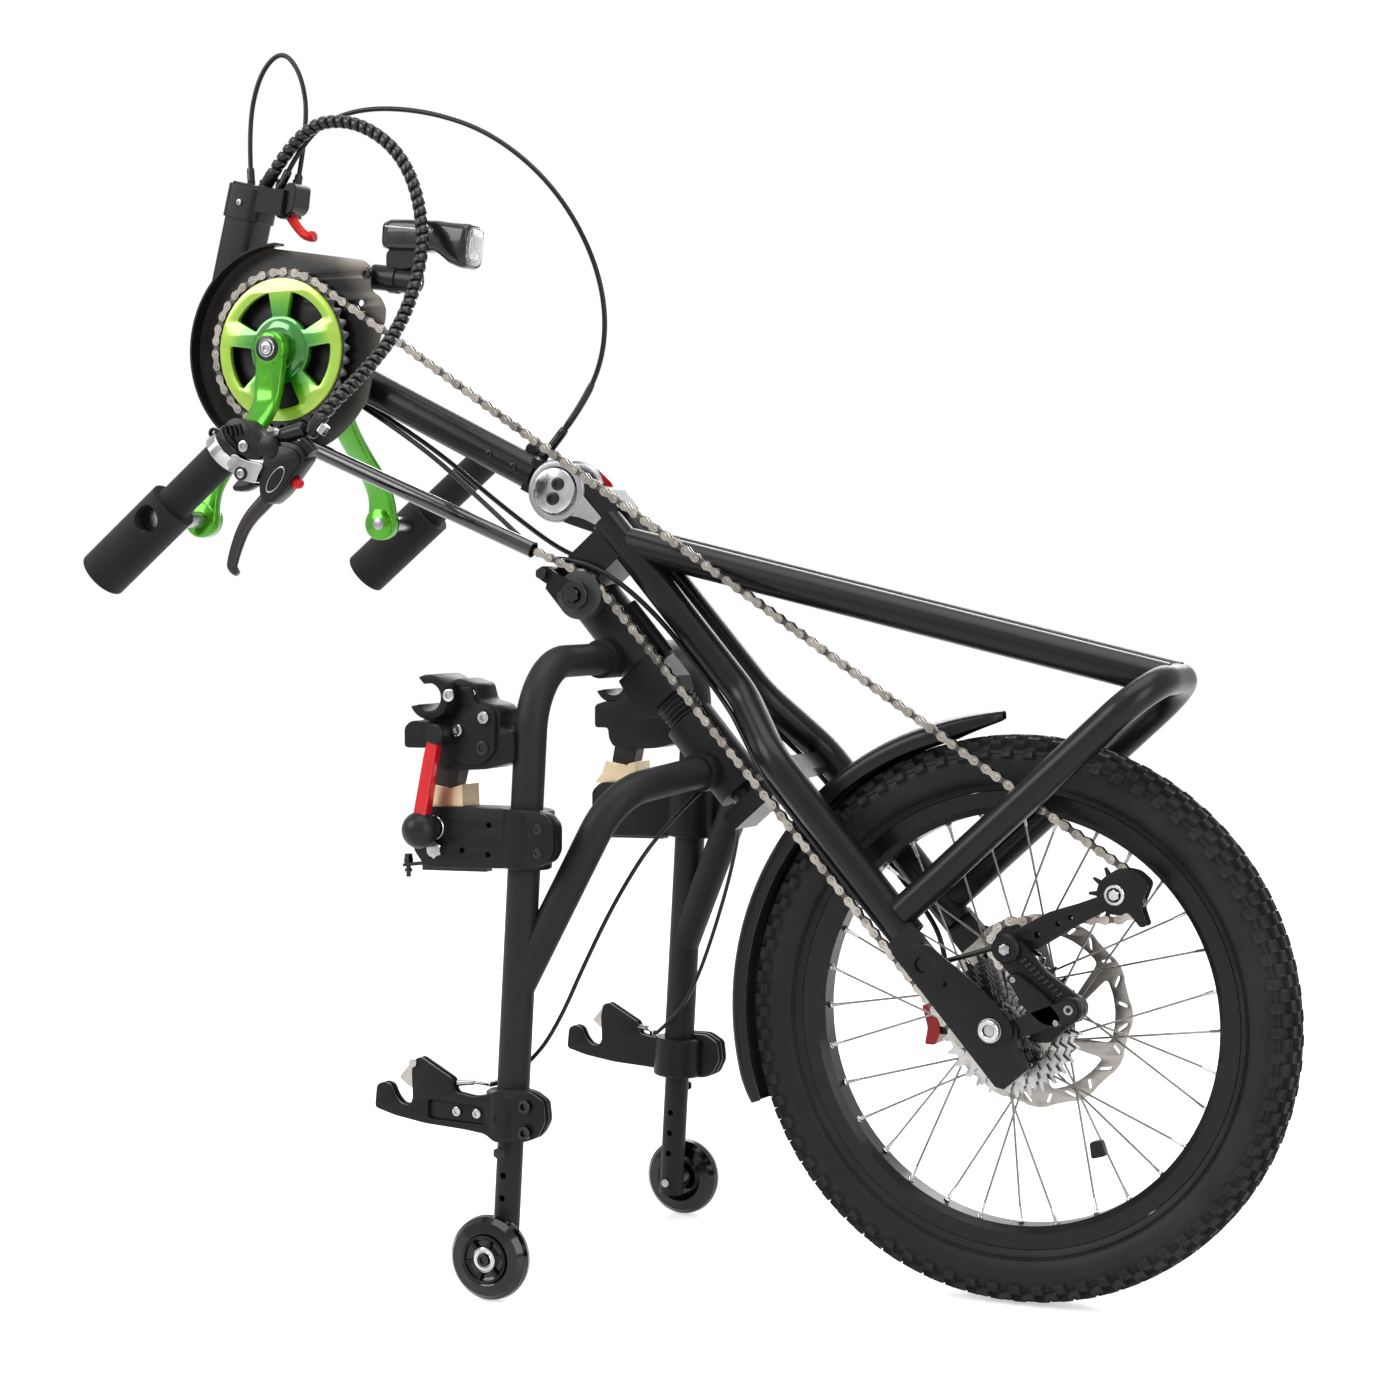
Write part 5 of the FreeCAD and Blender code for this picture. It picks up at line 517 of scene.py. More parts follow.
def build(name, shapes, material, body, slot, *replaced, bevel=0.0, smooth=40.0, merge=True):
    """One object from (points, faces) shapes, closed, facing outwards. It rides a body, or,
    where body is (body, body, start, end), stays fixed where it is built."""
    points, faces, start = [], [], 0
    for shape_points, shape_faces in shapes:
        points.append(np.asarray(shape_points, float))
        faces += [[index + start for index in face] for face in shape_faces]
        start += len(shape_points)
    mesh = bpy.data.meshes.new(name)
    mesh.from_pydata(np.concatenate(points).tolist(), [], faces)
    work = bmesh.new()
    work.from_mesh(mesh)
    if merge:
        bmesh.ops.remove_doubles(work, verts=work.verts, dist=2e-6)
        bmesh.ops.dissolve_degenerate(work, edges=work.edges, dist=1e-6)
    bmesh.ops.recalc_face_normals(work, faces=work.faces)
    work.to_mesh(mesh)
    work.free()
    mesh.materials.append(material)
    mesh.shade_smooth()
    mesh.set_sharp_from_angle(angle=math.radians(smooth))
    piece = bpy.data.objects.new(name, mesh)
    bpy.context.scene.collection.objects.link(piece)
    if bevel:
        edge = piece.modifiers.new("edge", "BEVEL")
        edge.width, edge.segments, edge.limit_method = bevel, 2, "ANGLE"
        edge.angle_limit = math.radians(35)
        edge.harden_normals = True
    if isinstance(body, str):
        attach(piece, body)
    else:
        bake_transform(piece)
    if replaced:
        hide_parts(*replaced)
    return piece


# Cables and hoses

def axle_frame(*spots):
    """Millimetres with X counted from the wheel's axle, as metres in the shared frame."""
    return [(x / 1000 + WHEEL_X, y / 1000, z / 1000) for x, y, z in spots]


def head_frame(side, *spots):
    """Millimetres down the steering axis, ahead of it and sideways, as metres."""
    return [tuple(HEAD_BASE + HEAD * run / 1000 + AHEAD * offset / 1000 + Y * y * side / 1000)
            for run, offset, y in spots]


def nurbs_line(name, route, steps):
    """Curve data: one NURBS line of order 3 with the route's points as control points."""
    data = bpy.data.curves.new(name, "CURVE")
    data.dimensions = "3D"
    line = data.splines.new("NURBS")
    line.points.add(len(route) - 1)
    for point, spot in zip(line.points, route):
        point.co = (*spot, 1.0)
    line.order_u = 3
    line.use_endpoint_u = True
    line.resolution_u = steps
    return data


def cord(name, route, radius, material, body, node):
    """A cable of one radius on the route's NURBS line."""
    data = nurbs_line(name, route, 12)
    data.bevel_depth = radius
    data.bevel_resolution = 4
    data.use_fill_caps = True
    data.materials.append(material)
    piece = bpy.data.objects.new(name, data)
    bpy.context.scene.collection.objects.link(piece)
    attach(piece, body)
    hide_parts(node)
    return piece


def line_points(route):
    """Points read off the route's NURBS line, as a curve without thickness gives them."""
    holder = bpy.data.objects.new("reading", nurbs_line("reading", route, 24))
    bpy.context.scene.collection.objects.link(holder)
    mesh = bpy.data.meshes.new_from_object(holder)
    points = np.array([vertex.co[:] for vertex in mesh.vertices])
    bpy.data.objects.remove(holder)
    return points


def run_along(line):
    """Distance along a line at each of its points, from 0."""
    return np.concatenate([[0], np.cumsum(np.linalg.norm(np.diff(line, axis=0), axis=1))])


def read_at(spot, run, values):
    """Values of three channels at distances along a line, linear between its points."""
    return np.stack([np.interp(spot, run, values[:, axis]) for axis in range(3)], -1)


HOSE = axle_frame((-604.8, -238, 786.8), (-596, -224, 812), (-588, -170, 846), (-584, -98, 903),
                  (-588, -52, 985), (-622, -30, 1066), (-690, -18, 1110), (-762, -8, 1106),
                  (-809, 0.5, 1045.8))
LOOP = axle_frame((-830, 12, 1053.7), (-835, 14, 1112), (-823, 16, 1166), (-797, 18, 1190),
                  (-772, 16, 1164), (-763, 14, 1112), (-777, 12, 1044.5))
OUTER = axle_frame((-790, 2, 1046.8), (-762, 2, 1098), (-704, 2, 1123), (-620, 2, 1116),
                   (-541, 2, 1087), (-472, 4, 1028), (-430, 8, 950), (-426, 12, 876),
                   (-456, 12, 816), (-497, 10, 771))
RELEASE = axle_frame((-445, -158.9, 193), (-418, -153, 214), (-394, -148, 252),
                     (-372, -142, 304), (-346, -126, 366), (-320, -92, 424), (-305, -36, 456.6))


def frame_route(side, ending):
    """A cable's way down one side of the steering head and fork, to its own ending."""
    return (axle_frame((-700, 8 * side, 833.4), (-625, 10 * side, 791), (-545, 14 * side, 728))
            + head_frame(side, (-108, -6, 30), (-84, 22, 39.5), (-46, 42, 38), (4, 47.5, 23),
                         (62, 48, 20), (122, 47.5, 21), (160, 48, 41), (202, 47.5, 62),
                         (262, 48, 62.5), (322, 47.5, 62)) + axle_frame(*ending))


def spiral_wrap(route, radius, pitch, width, turn_steps=16):
    """A ribbon wound on the line: u runs along it while its angle turns once a pitch,
    and v spans the ribbon's width along the line."""
    line = line_points(route)
    run = run_along(line)
    count = int((run[-1] - 2 * width) / pitch * turn_steps)
    along = np.linspace(width, run[-1] - width, count)
    spread = np.linspace(-0.5, 0.5, 4) * width
    spot = along[:, None] + spread[None]
    centre = read_at(spot, run, line)
    tangent, side, rise = directions(line, (0.25, 0.9, 0.3))
    side = read_at(spot, run, side)
    rise = read_at(spot, run, rise)
    turn = (2 * math.pi * along / pitch)[:, None, None]
    crown = (radius - 0.0006 * (2 * np.abs(spread) / width) ** 2)[None, :, None]
    points = centre + crown * (np.cos(turn) * side + np.sin(turn) * rise)
    return points.reshape(-1, 3), grid_quads(count, 4).tolist()


hose_wrap = build("hose_spiral_wrap", [spiral_wrap(HOSE, 0.0062, 0.0105, 0.0082)], WRAP_BLACK,
                  "boom_body", "cable_black", merge=False)
wall = hose_wrap.modifiers.new("wall", "SOLIDIFY")
wall.thickness, wall.offset = 0.0011, 0.0
cord("control_hose_core", HOSE, 0.0047, CABLE_BLACK, "boom_body", "control_hose")
cord("mast_loop_cable", LOOP, 0.0025, CABLE_BLACK, "boom_body", "mast_cables")
cord("mast_outer_cable", OUTER, 0.0025, CABLE_BLACK, "boom_body", "mast_cables")
cord("gear_cable", frame_route(-1, ((-112, -61, 341), (-80, -60, 306), (-40, -60, 317),
                                    (2, -60, 331))), 0.0025, CABLE_BLACK, "fork",
     "frame_cables")
cord("brake_hose", frame_route(1, ((-112, 61, 341), (-96, 58, 312), (-92, 56, 284))), 0.0025,
     CABLE_BLACK, "fork", "frame_cables")
for side, word in ((1, "right"), (-1, "left")):
    cord("release_cable_" + word, [(x, y * side, z) for x, y, z in RELEASE], 0.002,
         CABLE_BLACK, "dock", "release_cables")


# Wheel

def wheel_spot(radius, turn, y):
    """A point at a radius from the axle, turned from +X towards +Z, at a Y."""
    return np.stack([AXLE[0] + radius * np.cos(turn), np.broadcast_to(y, np.shape(turn)),
                     AXLE[2] + radius * np.sin(turn)], -1)


TYRE_HALF = curve_through([(0.2083, 0.012), (0.2086, 0.0156), (0.2125, 0.0178), (0.2205, 0.0245),
                           (0.2305, 0.0272), (0.2395, 0.0268), (0.247, 0.0228), (0.2512, 0.015),
                           (0.2528, 0.0075), (0.2532, 0.0)], 4)
TYRE_PROFILE = np.concatenate([TYRE_HALF, (TYRE_HALF * [1, -1])[::-1][1:]])
carcass = lathe(np.concatenate([TYRE_PROFILE, TYRE_PROFILE[:1]]), AXLE, Y, TYRE_SIDES)


def tread_block(length, width, height, dimple=0.0):
    """A rubber block: sloped sides, a chamfered edge and, where asked, a sunk middle."""
    rings = [(1.0, -0.0015), (0.9, height * 0.82), (0.78, height), (0.45, height - dimple)]
    base = np.array([(-1, -1), (1, -1), (1, 1), (-1, 1)]) * (length / 2, width / 2)
    points = np.concatenate([np.insert(base * share, 2, rise, 1) for share, rise in rings])
    faces = grid_quads(len(rings), 4, False, True).tolist()
    return points, faces + [[12, 13, 14, 15]]


def tread_row(place, y_sign, count, phase, length, width, height, dimple=0.0):
    """A row of blocks set round the tyre at one place of its cross-section."""
    r, y = TYRE_HALF[place]
    slope = unit(TYRE_HALF[min(place + 1, len(TYRE_HALF) - 1)] - TYRE_HALF[place - 1])
    turn = (np.arange(count) + phase) * 2 * math.pi / count
    out = np.stack([np.cos(turn), np.zeros(count), np.sin(turn)], 1)
    ahead = np.stack([-np.sin(turn), np.zeros(count), np.cos(turn)], 1)
    lateral = out * slope[0] + Y * slope[1] * y_sign
    normal = -out * slope[1] + Y * slope[0] * y_sign
    normal *= np.sign(np.sum(normal * (out + Y * y_sign * 0.5), 1))[:, None]
    shape = tread_block(length, width, height, dimple)
    return repeated(shape, wheel_spot(r, turn, y * y_sign), np.stack([ahead, lateral, normal], 1))


# Rows of blocks: place on the section, phase, length, width, height and dimple
TREAD_ROWS = ((34, 0.0, 0.0125, 0.0088, 0.0048, 0.0008), (29, 0.5, 0.0115, 0.0082, 0.005, 0.0008),
              (25, 0.0, 0.0118, 0.0075, 0.0052, 0.0012), (21, 0.5, 0.0105, 0.0085, 0.0042, 0.001))
tread = []
for sign in (-1, 1):
    for place, phase, *size in TREAD_ROWS:
        tread.append(tread_row(place, sign, TREAD_BLOCKS, phase + 0.25 * sign, *size))
ribs = []
for sign in (-1, 1):
    for rib_radius, rib_y in ((0.2145, 0.0206), (0.2162, 0.0222), (0.2425, 0.0262)):
        ribs.append(lathe([(rib_radius - 0.0006, rib_y * sign), (rib_radius, (rib_y + 0.0007) * sign),
                           (rib_radius + 0.0006, rib_y * sign),
                           (rib_radius, (rib_y - 0.0009) * sign),
                           (rib_radius - 0.0006, rib_y * sign)], AXLE, Y, TYRE_SIDES))
build("tyre_with_tread", [carcass] + tread + ribs, TYRE, "wheel", "tyre_rubber", "tyre")

nipples = []
for index in range(SPOKES):
    side = -1 if index % 2 else 1
    lead = 1 if (index // 2) % 2 else -1
    rim_turn = 2 * math.pi * index / SPOKES
    hub_turn = rim_turn + lead * 2 * math.pi * 0.15
    foot = wheel_spot(0.0304, hub_turn, (0.036 if side > 0 else -0.02) + 0.0012 * lead)
    head = wheel_spot(0.1877, rim_turn, side * 0.00384)
    run = unit(foot - head)
    nipples.append(lathe([(0, -0.001), (0.0021, -0.001), (0.0021, 0.004), (0.0017, 0.0045),
                          (0.0015, 0.0135), (0.001, 0.0142)], head, run, 8))
    nipples.append(lathe([(0.0028, -0.0006), (0.0034, 0.0), (0.0028, 0.0012), (0.0021, 0.0014)],
                         head, run, 10))
build("spoke_nipples", nipples, POLISHED, "wheel", "spoke_steel")


# Chain

def belt(stops):
    """A closed path over round stops, each (centre, radius, way round): between two stops
    it takes their common tangent and round each one an arc."""
    touches = []
    for (c0, r0, s0), (c1, r1, s1) in zip(stops, stops[1:] + stops[:1]):
        gap = c1 - c0
        heading = (math.atan2(gap[2], gap[0])
                   + math.asin((s0 * r0 - s1 * r1) / math.hypot(gap[0], gap[2])))
        normal = np.array([math.sin(heading), 0, -math.cos(heading)])
        touches.append((c0 + normal * s0 * r0, c1 + normal * s1 * r1))
    path = []
    for index, (centre, radius, way) in enumerate(stops):
        first, last = touches[index - 1][1] - centre, touches[index][0] - centre
        start = math.atan2(first[2], first[0])
        turn = (math.atan2(last[2], last[0]) - start) % (2 * math.pi)
        turn -= 2 * math.pi if way < 0 else 0
        angle = start + np.linspace(0, turn, ARC_STEPS)
        path.append(centre + radius * np.stack([np.cos(angle), 0 * angle, np.sin(angle)], 1))
    path = np.concatenate(path + [path[0][:1]])
    path[:, 1] = CHAIN_Y
    return path


CHAIN_PATH = belt([(CRANK, 0.0769, -1), (TENSION, 0.02254, -1), (GUIDE, 0.02254, 1),
                   (AXLE, 0.0426, -1), (IDLER, 0.02, 1)])
chain_run = run_along(CHAIN_PATH)
LINKS = 2 * round(chain_run[-1] / (2 * LINK_PITCH))
spots = np.linspace(0, chain_run[-1], LINKS, endpoint=False)
PINS = read_at(spots, chain_run, CHAIN_PATH)


def chain_plate(low, high, eye, waist):
    """A link plate's outline: two round eyes joined by a waist."""
    turn = np.radians(np.array([-50, -25, 0, 25, 50]))
    half = LINK_PITCH / 2
    right = np.stack([half + eye * np.cos(turn), eye * np.sin(turn)], 1)
    up = np.array([[half - eye * 0.1, eye], [0.0, waist], [-half + eye * 0.1, eye]])
    return prism(np.concatenate([right, up, -right, -up]), low, high)


middle = (PINS + np.roll(PINS, -1, 0)) / 2
along = unit(np.roll(PINS, -1, 0) - PINS)
link_axes = np.stack([along, np.broadcast_to(Y, along.shape), np.cross(along, Y)], 1)
pin = rod((0, -0.0037, 0), (0, 0.0037, 0), 0.0019, 8, bevel=0.0003)
roller = rod((0, -0.0012, 0), (0, 0.0012, 0), 0.0038, 10)
odd = np.arange(LINKS) % 2 == 1
front = PINS[:, 0] < 0.05
upper = ~front & (spots < chain_run[ARC_STEPS])
# The chain is built in three pieces, each fixed where it is built: the run at the crank,
# the upper run and the run between the pulleys.
KNUCKLE_BEND = ((-0.1503, 0, 0.7378), (-0.0962, 0, 0.7118))
UPPER_BEND = (PINS[upper][0], PINS[upper][-1])
CAGE_BEND = (GUIDE + (0.0088, 0, 0.0047), GUIDE + (0.0705, 0, 0.0378))
for part, here, bodies in (("", front, ("boom_body", "fork", *KNUCKLE_BEND)),
                           ("_upper", upper, ("fork", "cage_body", *UPPER_BEND)),
                           ("_rear", ~front & ~upper, ("fork", "cage_body", *CAGE_BEND))):
    plates = {}
    for word, chosen, near, far in (("outer", here & ~odd, 0.0022, 0.0031),
                                    ("inner", here & odd, 0.00125, 0.0021)):
        plates[word] = [repeated(chain_plate(low, high, 0.0043, 0.0024), middle[chosen],
                                 link_axes[chosen]) for low, high in ((near, far), (-far, -near))]
    joins = repeated(pin, PINS[here], link_axes[here])
    build("chain_outer_plates" + part, plates["outer"] + [joins], CHAIN_PLATE, bodies,
          "chain_steel", *([] if part else ["chain"]), merge=False)
    build("chain_inner_plates" + part, plates["inner"], CHAIN_INNER, bodies, "chain_steel",
          merge=False)
    build("chain_rollers" + part, [repeated(roller, PINS[here], link_axes[here])],
          CHAIN_ROLLER, bodies, "chain_steel", merge=False)


# Plates, bars and screws

def mm(*spots):
    """Places written in millimetres, as metres."""
    return np.asarray(spots, float) / 1000


def at(*spot):
    """One place written in millimetres, as metres."""
    return mm(spot)[0]


def pierced(outlines, low, high, bevel=0.0):
    """A flat plate from Y = low to high: the first outline in X and Z is its rim and the
    others are holes in it, every edge chamfered by bevel."""
    data = bpy.data.curves.new("plate", "CURVE")
    data.dimensions, data.fill_mode = "2D", "BOTH"
    for outline in outlines:
        line = data.splines.new("POLY")
        line.points.add(len(outline) - 1)
        flat = np.column_stack([outline, np.zeros(len(outline)), np.ones(len(outline))])
        line.points.foreach_set("co", flat.ravel())
        line.use_cyclic_u = True
    data.extrude = (high - low) / 2 - bevel
    data.bevel_depth, data.offset, data.bevel_resolution = bevel, -bevel, 1
    holder = bpy.data.objects.new("plate", data)
    bpy.context.scene.collection.objects.link(holder)
    mesh = bpy.data.meshes.new_from_object(holder)
    flat = np.empty(len(mesh.vertices) * 3)
    mesh.vertices.foreach_get("co", flat)
    flat = flat.reshape(-1, 3)
    faces = [list(face.vertices) for face in mesh.polygons]
    bpy.data.objects.remove(holder)
    return np.column_stack([flat[:, 0], (low + high) / 2 - flat[:, 2], flat[:, 1]]), faces


def ring_line(x, z, radius, sides=28, start=0.0, end=360.0):
    """Points on a circle or an arc in X and Z, its angle counted from X towards Z."""
    whole = abs(end - start) >= 360.0
    turn = np.radians(np.linspace(start, end, sides, endpoint=not whole))
    return np.stack([x + radius * np.cos(turn), z + radius * np.sin(turn)], 1)


def bent(points, reach, steps=7):
    """A line through points whose inner corners are blended over a reach each way."""
    points = np.asarray(points, float)
    corner = points[1:-1]
    back, ahead = unit(points[:-2] - corner) * reach, unit(points[2:] - corner) * reach
    t = np.linspace(0, 1, steps)[None, :, None]
    arcs = ((1 - t) ** 2 * (corner + back)[:, None] + 2 * t * (1 - t) * corner[:, None]
            + t ** 2 * (corner + ahead)[:, None])
    return np.concatenate([points[:1], arcs.reshape(-1, points.shape[1]), points[-1:]])


def squircle(width, height, power=3.2, sides=32):
    """A rounded rectangle: each half axis times the angle's cosine or sine to 2/power."""
    turn = np.arange(sides) * 2 * math.pi / sides
    wave = np.stack([np.cos(turn), np.sin(turn)], 1)
    return np.sign(wave) * np.abs(wave) ** (2 / power) * (width / 2, height / 2)


def loft(path, sizes, up, power=3.2, sides=32):
    """A bar of rounded-rectangle section; sizes gives its two widths at each point."""
    return sweep(path, squircle(1.0, 1.0, power, sides), up, scale=sizes)


def flipped(shape):
    """The same shape on the other side of the middle plane."""
    return np.asarray(shape[0]) * (1, -1, 1), shape[1]


def pair(*shapes):
    """Shapes together with their images on the other side."""
    return list(shapes) + [flipped(shape) for shape in shapes]


def both(make):
    """Shapes of the right side, and of the left side."""
    return (("right", make), ("left", [flipped(shape) for shape in make]))


def ring_band(x, y, z, inner, outer, depth):
    """A flat ring on the right face at Y = y, standing out by depth."""
    return lathe(mm((inner, 0), (inner, depth), (outer - 0.4, depth), (outer, depth - 0.4),
                    (outer, 0), (inner, 0)), at(x, y, z), -Y, 32)


def hexes(y, radius, height, *spots):
    """Hexagon heads on the right face at Y = y, at places in X and Z."""
    return [hex_nut(at(x, y, z), -Y, radius / 1000, height / 1000) for x, z in spots]


def sockets(y, radius, height, *spots):
    """Socket screws on the right face at Y = y, at places in X and Z."""
    return [socket_head(at(x, y, z), -Y, radius / 1000, height / 1000)
            for x, z in spots]


# Crank and guard

def crank_arm():
    """The right arm: a section that narrows and turns outwards along a smooth S, with a
    round boss at the crank and one at the handle's axle."""
    wide = np.array([0.9976, 0, -0.0698])
    spots = mm((-63.5, 2), (-63.8, 30), (-67, 52), (-84, 74), (-112, 98), (-140, 120),
               (-157, 138), (-164, 154), (-165, 170))
    line = curve_through(spots, 6)
    path = CRANK + line[:, :1] * Y + line[:, 1:] * CRANK_DOWN
    share = np.linspace(0, 1, len(path))
    waist = np.sin(share * math.pi)
    sizes = mm(*np.stack([15.0 - 1.5 * waist, 34.0 - 8.0 * waist ** 0.8], 1))
    boss = lathe(mm((0, -8), (15, -8), (17.5, -5.5), (18, 0), (17.5, 5.5), (15, 8), (0, 8)),
                 CRANK - Y * 0.0635, -Y, 40)
    eye = lathe(mm((0, -8.2), (15.6, -8.2), (17, -6.8), (17.2, 0), (17, 6.8), (15.6, 8.2),
                   (0, 8.2)), CRANK - Y * 0.165 + CRANK_DOWN * CRANK_LENGTH, -Y, 48)
    return [loft(path, sizes, wide, 3.4), boss, eye]


for word, shapes in both(crank_arm()):
    build("crank_arm_%s_smooth" % word, shapes, ARM_GREEN, "crank", "arm_green",
          "crank_arm_" + word, smooth=50)
washers = [lathe(mm((0, 0), (12.5, 0), (12.5, 1.6), (11.5, 2.2), (7.5, 2.2), (7, 1.0),
                    (0, 1.0)), CRANK - Y * 0.0712, -Y, 32)]
build("crank_bolt_washers", pair(*washers), SCREW_DARK, "crank", "axle_steel")
eye_spot = CRANK - Y * 0.1566 + CRANK_DOWN * CRANK_LENGTH
build("handle_axle_ends", pair(lathe(mm((0, 0.6), (5.6, 0.6), (6.6, 0), (6.8, -1), (0, -1)),
                                     eye_spot, Y, 32)), SATIN_GREY, "crank", "axle_steel")
build("crank_bolts", pair(socket_head(CRANK - Y * 0.0722, -Y, 0.0062, 0.0024),
                          ring_band(-449.8, -73.2, 882, 7.4, 9.0, 0.5)), POLISHED, "crank",
      "axle_steel")

WINDOWS = 5
window = [ring_line(0, 0, 0.0582, 9, -23, 23), ring_line(0, 0, 0.0335, 7, 21, -21)]
window = rounded(np.concatenate(window), 0.006, 4)
windows = []
for index in range(WINDOWS):
    turn = math.radians(54 + 360 / WINDOWS * index)
    spin = np.array([[math.cos(turn), math.sin(turn)], [-math.sin(turn), math.cos(turn)]])
    windows.append(window @ spin + CRANK[[0, 2]])
teeth_turn = np.linspace(0, 2 * math.pi, CRANK_TEETH * 8, endpoint=False)
teeth_radius = 0.0735 + 0.0072 * np.clip(np.cos(CRANK_TEETH * teeth_turn) * 0.5 + 0.42, 0, 0.8)
teeth = np.stack([CRANK[0] + teeth_radius * np.cos(teeth_turn),
                  CRANK[2] + teeth_radius * np.sin(teeth_turn)], 1)
build("chainring_teeth", [pierced([teeth, ring_line(CRANK[0], CRANK[2], 0.068, 60)], -0.0461,
                                  -0.0439, 0.0002)], RING_TEETH, "crank", "ring_green")
ring_disc = pierced([ring_line(CRANK[0], CRANK[2], 0.0706, 120)] + windows, -0.0492, -0.0432,
                    0.0009)
ring_boss = lathe(mm((0, 0), (30, 0), (30.5, 1), (27, 3.2), (22, 4.6), (21.5, 8), (0, 8)),
                  CRANK - Y * 0.0488, -Y, 60)
build("chainring_lime_disc", [ring_disc, ring_boss], RING_GREEN, "crank", "ring_green",
      "chainring", smooth=30)

wing = mm((-357, 829), (-346, 880), (-337, 908), (-336, 921), (-343, 932), (-352, 937),
          (-353, 948), (-351, 960), (-360, 967.5), (-372, 969.5), (-462, 983))
GUARD_RADIUS = 0.1045
guard_line = np.concatenate([ring_line(CRANK[0], CRANK[2], GUARD_RADIUS, 70, 100, 325),
                             bent(wing, 0.005)])
guard_holes = [ring_line(-0.3563, 0.9545, 0.003, 12), ring_line(-0.3637, 0.926, 0.0032, 12),
               ring_line(CRANK[0], CRANK[2], 0.0225, 40)]
flange_turn = np.radians(np.linspace(92, 262, 60))
flange_path = np.stack([CRANK[0] + GUARD_RADIUS * np.cos(flange_turn), np.full(60, -0.0425),
                        CRANK[2] + GUARD_RADIUS * np.sin(flange_turn)], 1)
flange = sweep(flange_path, mm((-1.1, -8.2), (1.1, -8.2), (1.1, 8.2), (-1.1, 8.2)), Y)
build("chain_guard_plate", [pierced([guard_line] + guard_holes, -0.0365, -0.0342, 0.0003)],
      GUARD_FACE, "boom_body", "guard_black", "chain_guard", smooth=25)
build("chain_guard_flange", [flange], GUARD_BLACK, "boom_body", "guard_black", smooth=30)
build("chain_guard_screws", sockets(-36.5, 5.2, 3.2, (-356.3, 954.5)), SCREW_DARK,
      "boom_body", "guard_black")

# Mast and lamp
mast_foot, mast_top = at(-549.8, 2, 900), at(-512.8, 2, 1044)
mast_run = unit(mast_top - mast_foot)
sleeve = sweep([mast_foot + mast_run * 0.008, mast_foot + mast_run * 0.128],
               squircle(0.0365, 0.0385, 7), Y)
build("mast_flat_sleeve", [sleeve], GUARD_BLACK, "boom_body", "block_black", smooth=35)


def mast_head():
    """The perch on the mast: a collar round the tube with its lid, an arm to the lever's fork
    and an ear beside it; the threaded stops for the cables are built apart."""
    collar = sweep([mast_foot + mast_run * 0.121, mast_foot + mast_run * 0.155],
                   squircle(0.042, 0.043, 5), Y)
    lid = sweep([mast_foot + mast_run * 0.155, mast_foot + mast_run * 0.1575],
                squircle(0.037, 0.038, 5), Y)
    arm = prism(rounded(mm((-500, 1024), (-484, 1020.5), (-462, 1020), (-456, 1026),
                           (-453, 1049), (-463, 1052.5), (-469, 1044), (-484, 1044),
                           (-492, 1051), (-502, 1050)), 0.006), -0.0125, 0.0165)
    ear = prism(rounded(mm((-482, 1034), (-481, 1019), (-474, 1015.5), (-462, 1018),
                           (-460, 1034)), 0.006), -0.0085, 0.0125)
    return [collar, lid, arm, ear]


build("mast_head_perch", mast_head(), CONTROL_BLACK, "boom_body", "block_black", bevel=0.0012)
ferrules = []
for x, y, z in ((-521.8, 12, 1048), (-500.8, 0.5, 1044), (-468.8, 12, 1044),
                (-481.8, 2, 1044)):
    foot = at(x, y, z)
    ferrules.append(lathe(mm((0, 0), (5.5, 0), (5.5, 3.5), (4.2, 4.2), (4.2, 8), (3.4, 9),
                             (3.4, 13), (0, 13)), foot, (0, 0, 1), 18))
build("mast_cable_stops", ferrules, CONTROL_BLACK, "boom_body", "block_black")
build("mast_head_screws", [socket_head(at(-478, -12.5, 1033), -Y, 0.0035, 0.002),
                           socket_head(mast_foot + mast_run * 0.138 - Y * 0.0215, -Y, 0.003,
                                       0.002)], SCREW_STEEL, "boom_body", "screw_steel")
lever_line = curve_through(mm((-476, 2, 1030), (-469, 2, 1020), (-462, 2, 1010),
                              (-454, 2, 1001.5), (-447, 2, 998), (-441, 2, 998.5)), 6)
lever_size = np.interp(np.linspace(0, 1, len(lever_line)), [0, 0.15, 0.5, 0.8, 0.93, 1.0],
                       [11.5, 13, 11.5, 12, 14.5, 12]) / 1000
build("mast_lever_curved", [loft(lever_line, np.stack([lever_size * 0.8, lever_size], 1), Y,
                                 2.2)], RED_PLASTIC, "mast_lever_body", "lever_red",
      "mast_lever", bevel=0.0015, smooth=60)

lamp_axis = np.array([-0.993, 0.0, 0.119])
LAMP_SECTIONS = np.array([  # run back from the front rim, width, height, rise
    (-1.0, 34, 40, 0.5), (1.5, 37.5, 43, 0.5), (6.0, 38, 43.5, 0.8), (14.0, 37, 41, 2.0),
    (26.0, 34.5, 34, 5.5), (36.0, 33.5, 30.5, 7.5), (70.0, 33, 31, 6.0), (88.0, 31, 31, 5.0),
    (96.0, 26, 26, 4.4), (98.5, 18, 17, 4.4)])
lamp_front = at(-247.5, -18, 976.5)
lamp_path = (lamp_front + LAMP_SECTIONS[:, :1] / 1000 * lamp_axis
             + LAMP_SECTIONS[:, 3:] / 1000 * np.array([0.119, 0, 0.993]))
build("lamp_housing", [loft(lamp_path, LAMP_SECTIONS[:, 1:3] / 1000, Z, 4.2, 40)], LAMP_BLACK,
      "lamp_body", "lamp_black", "lamp", smooth=50)
bowl = sweep(lamp_front - lamp_axis * 0.0012 + np.array([[0.0], [0.0012], [0.006], [0.0062]])
             * lamp_axis, squircle(1, 1, 3.4, 40), Z,
             scale=mm((31, 37), (28.5, 34.5), (13, 15), (4, 4)))
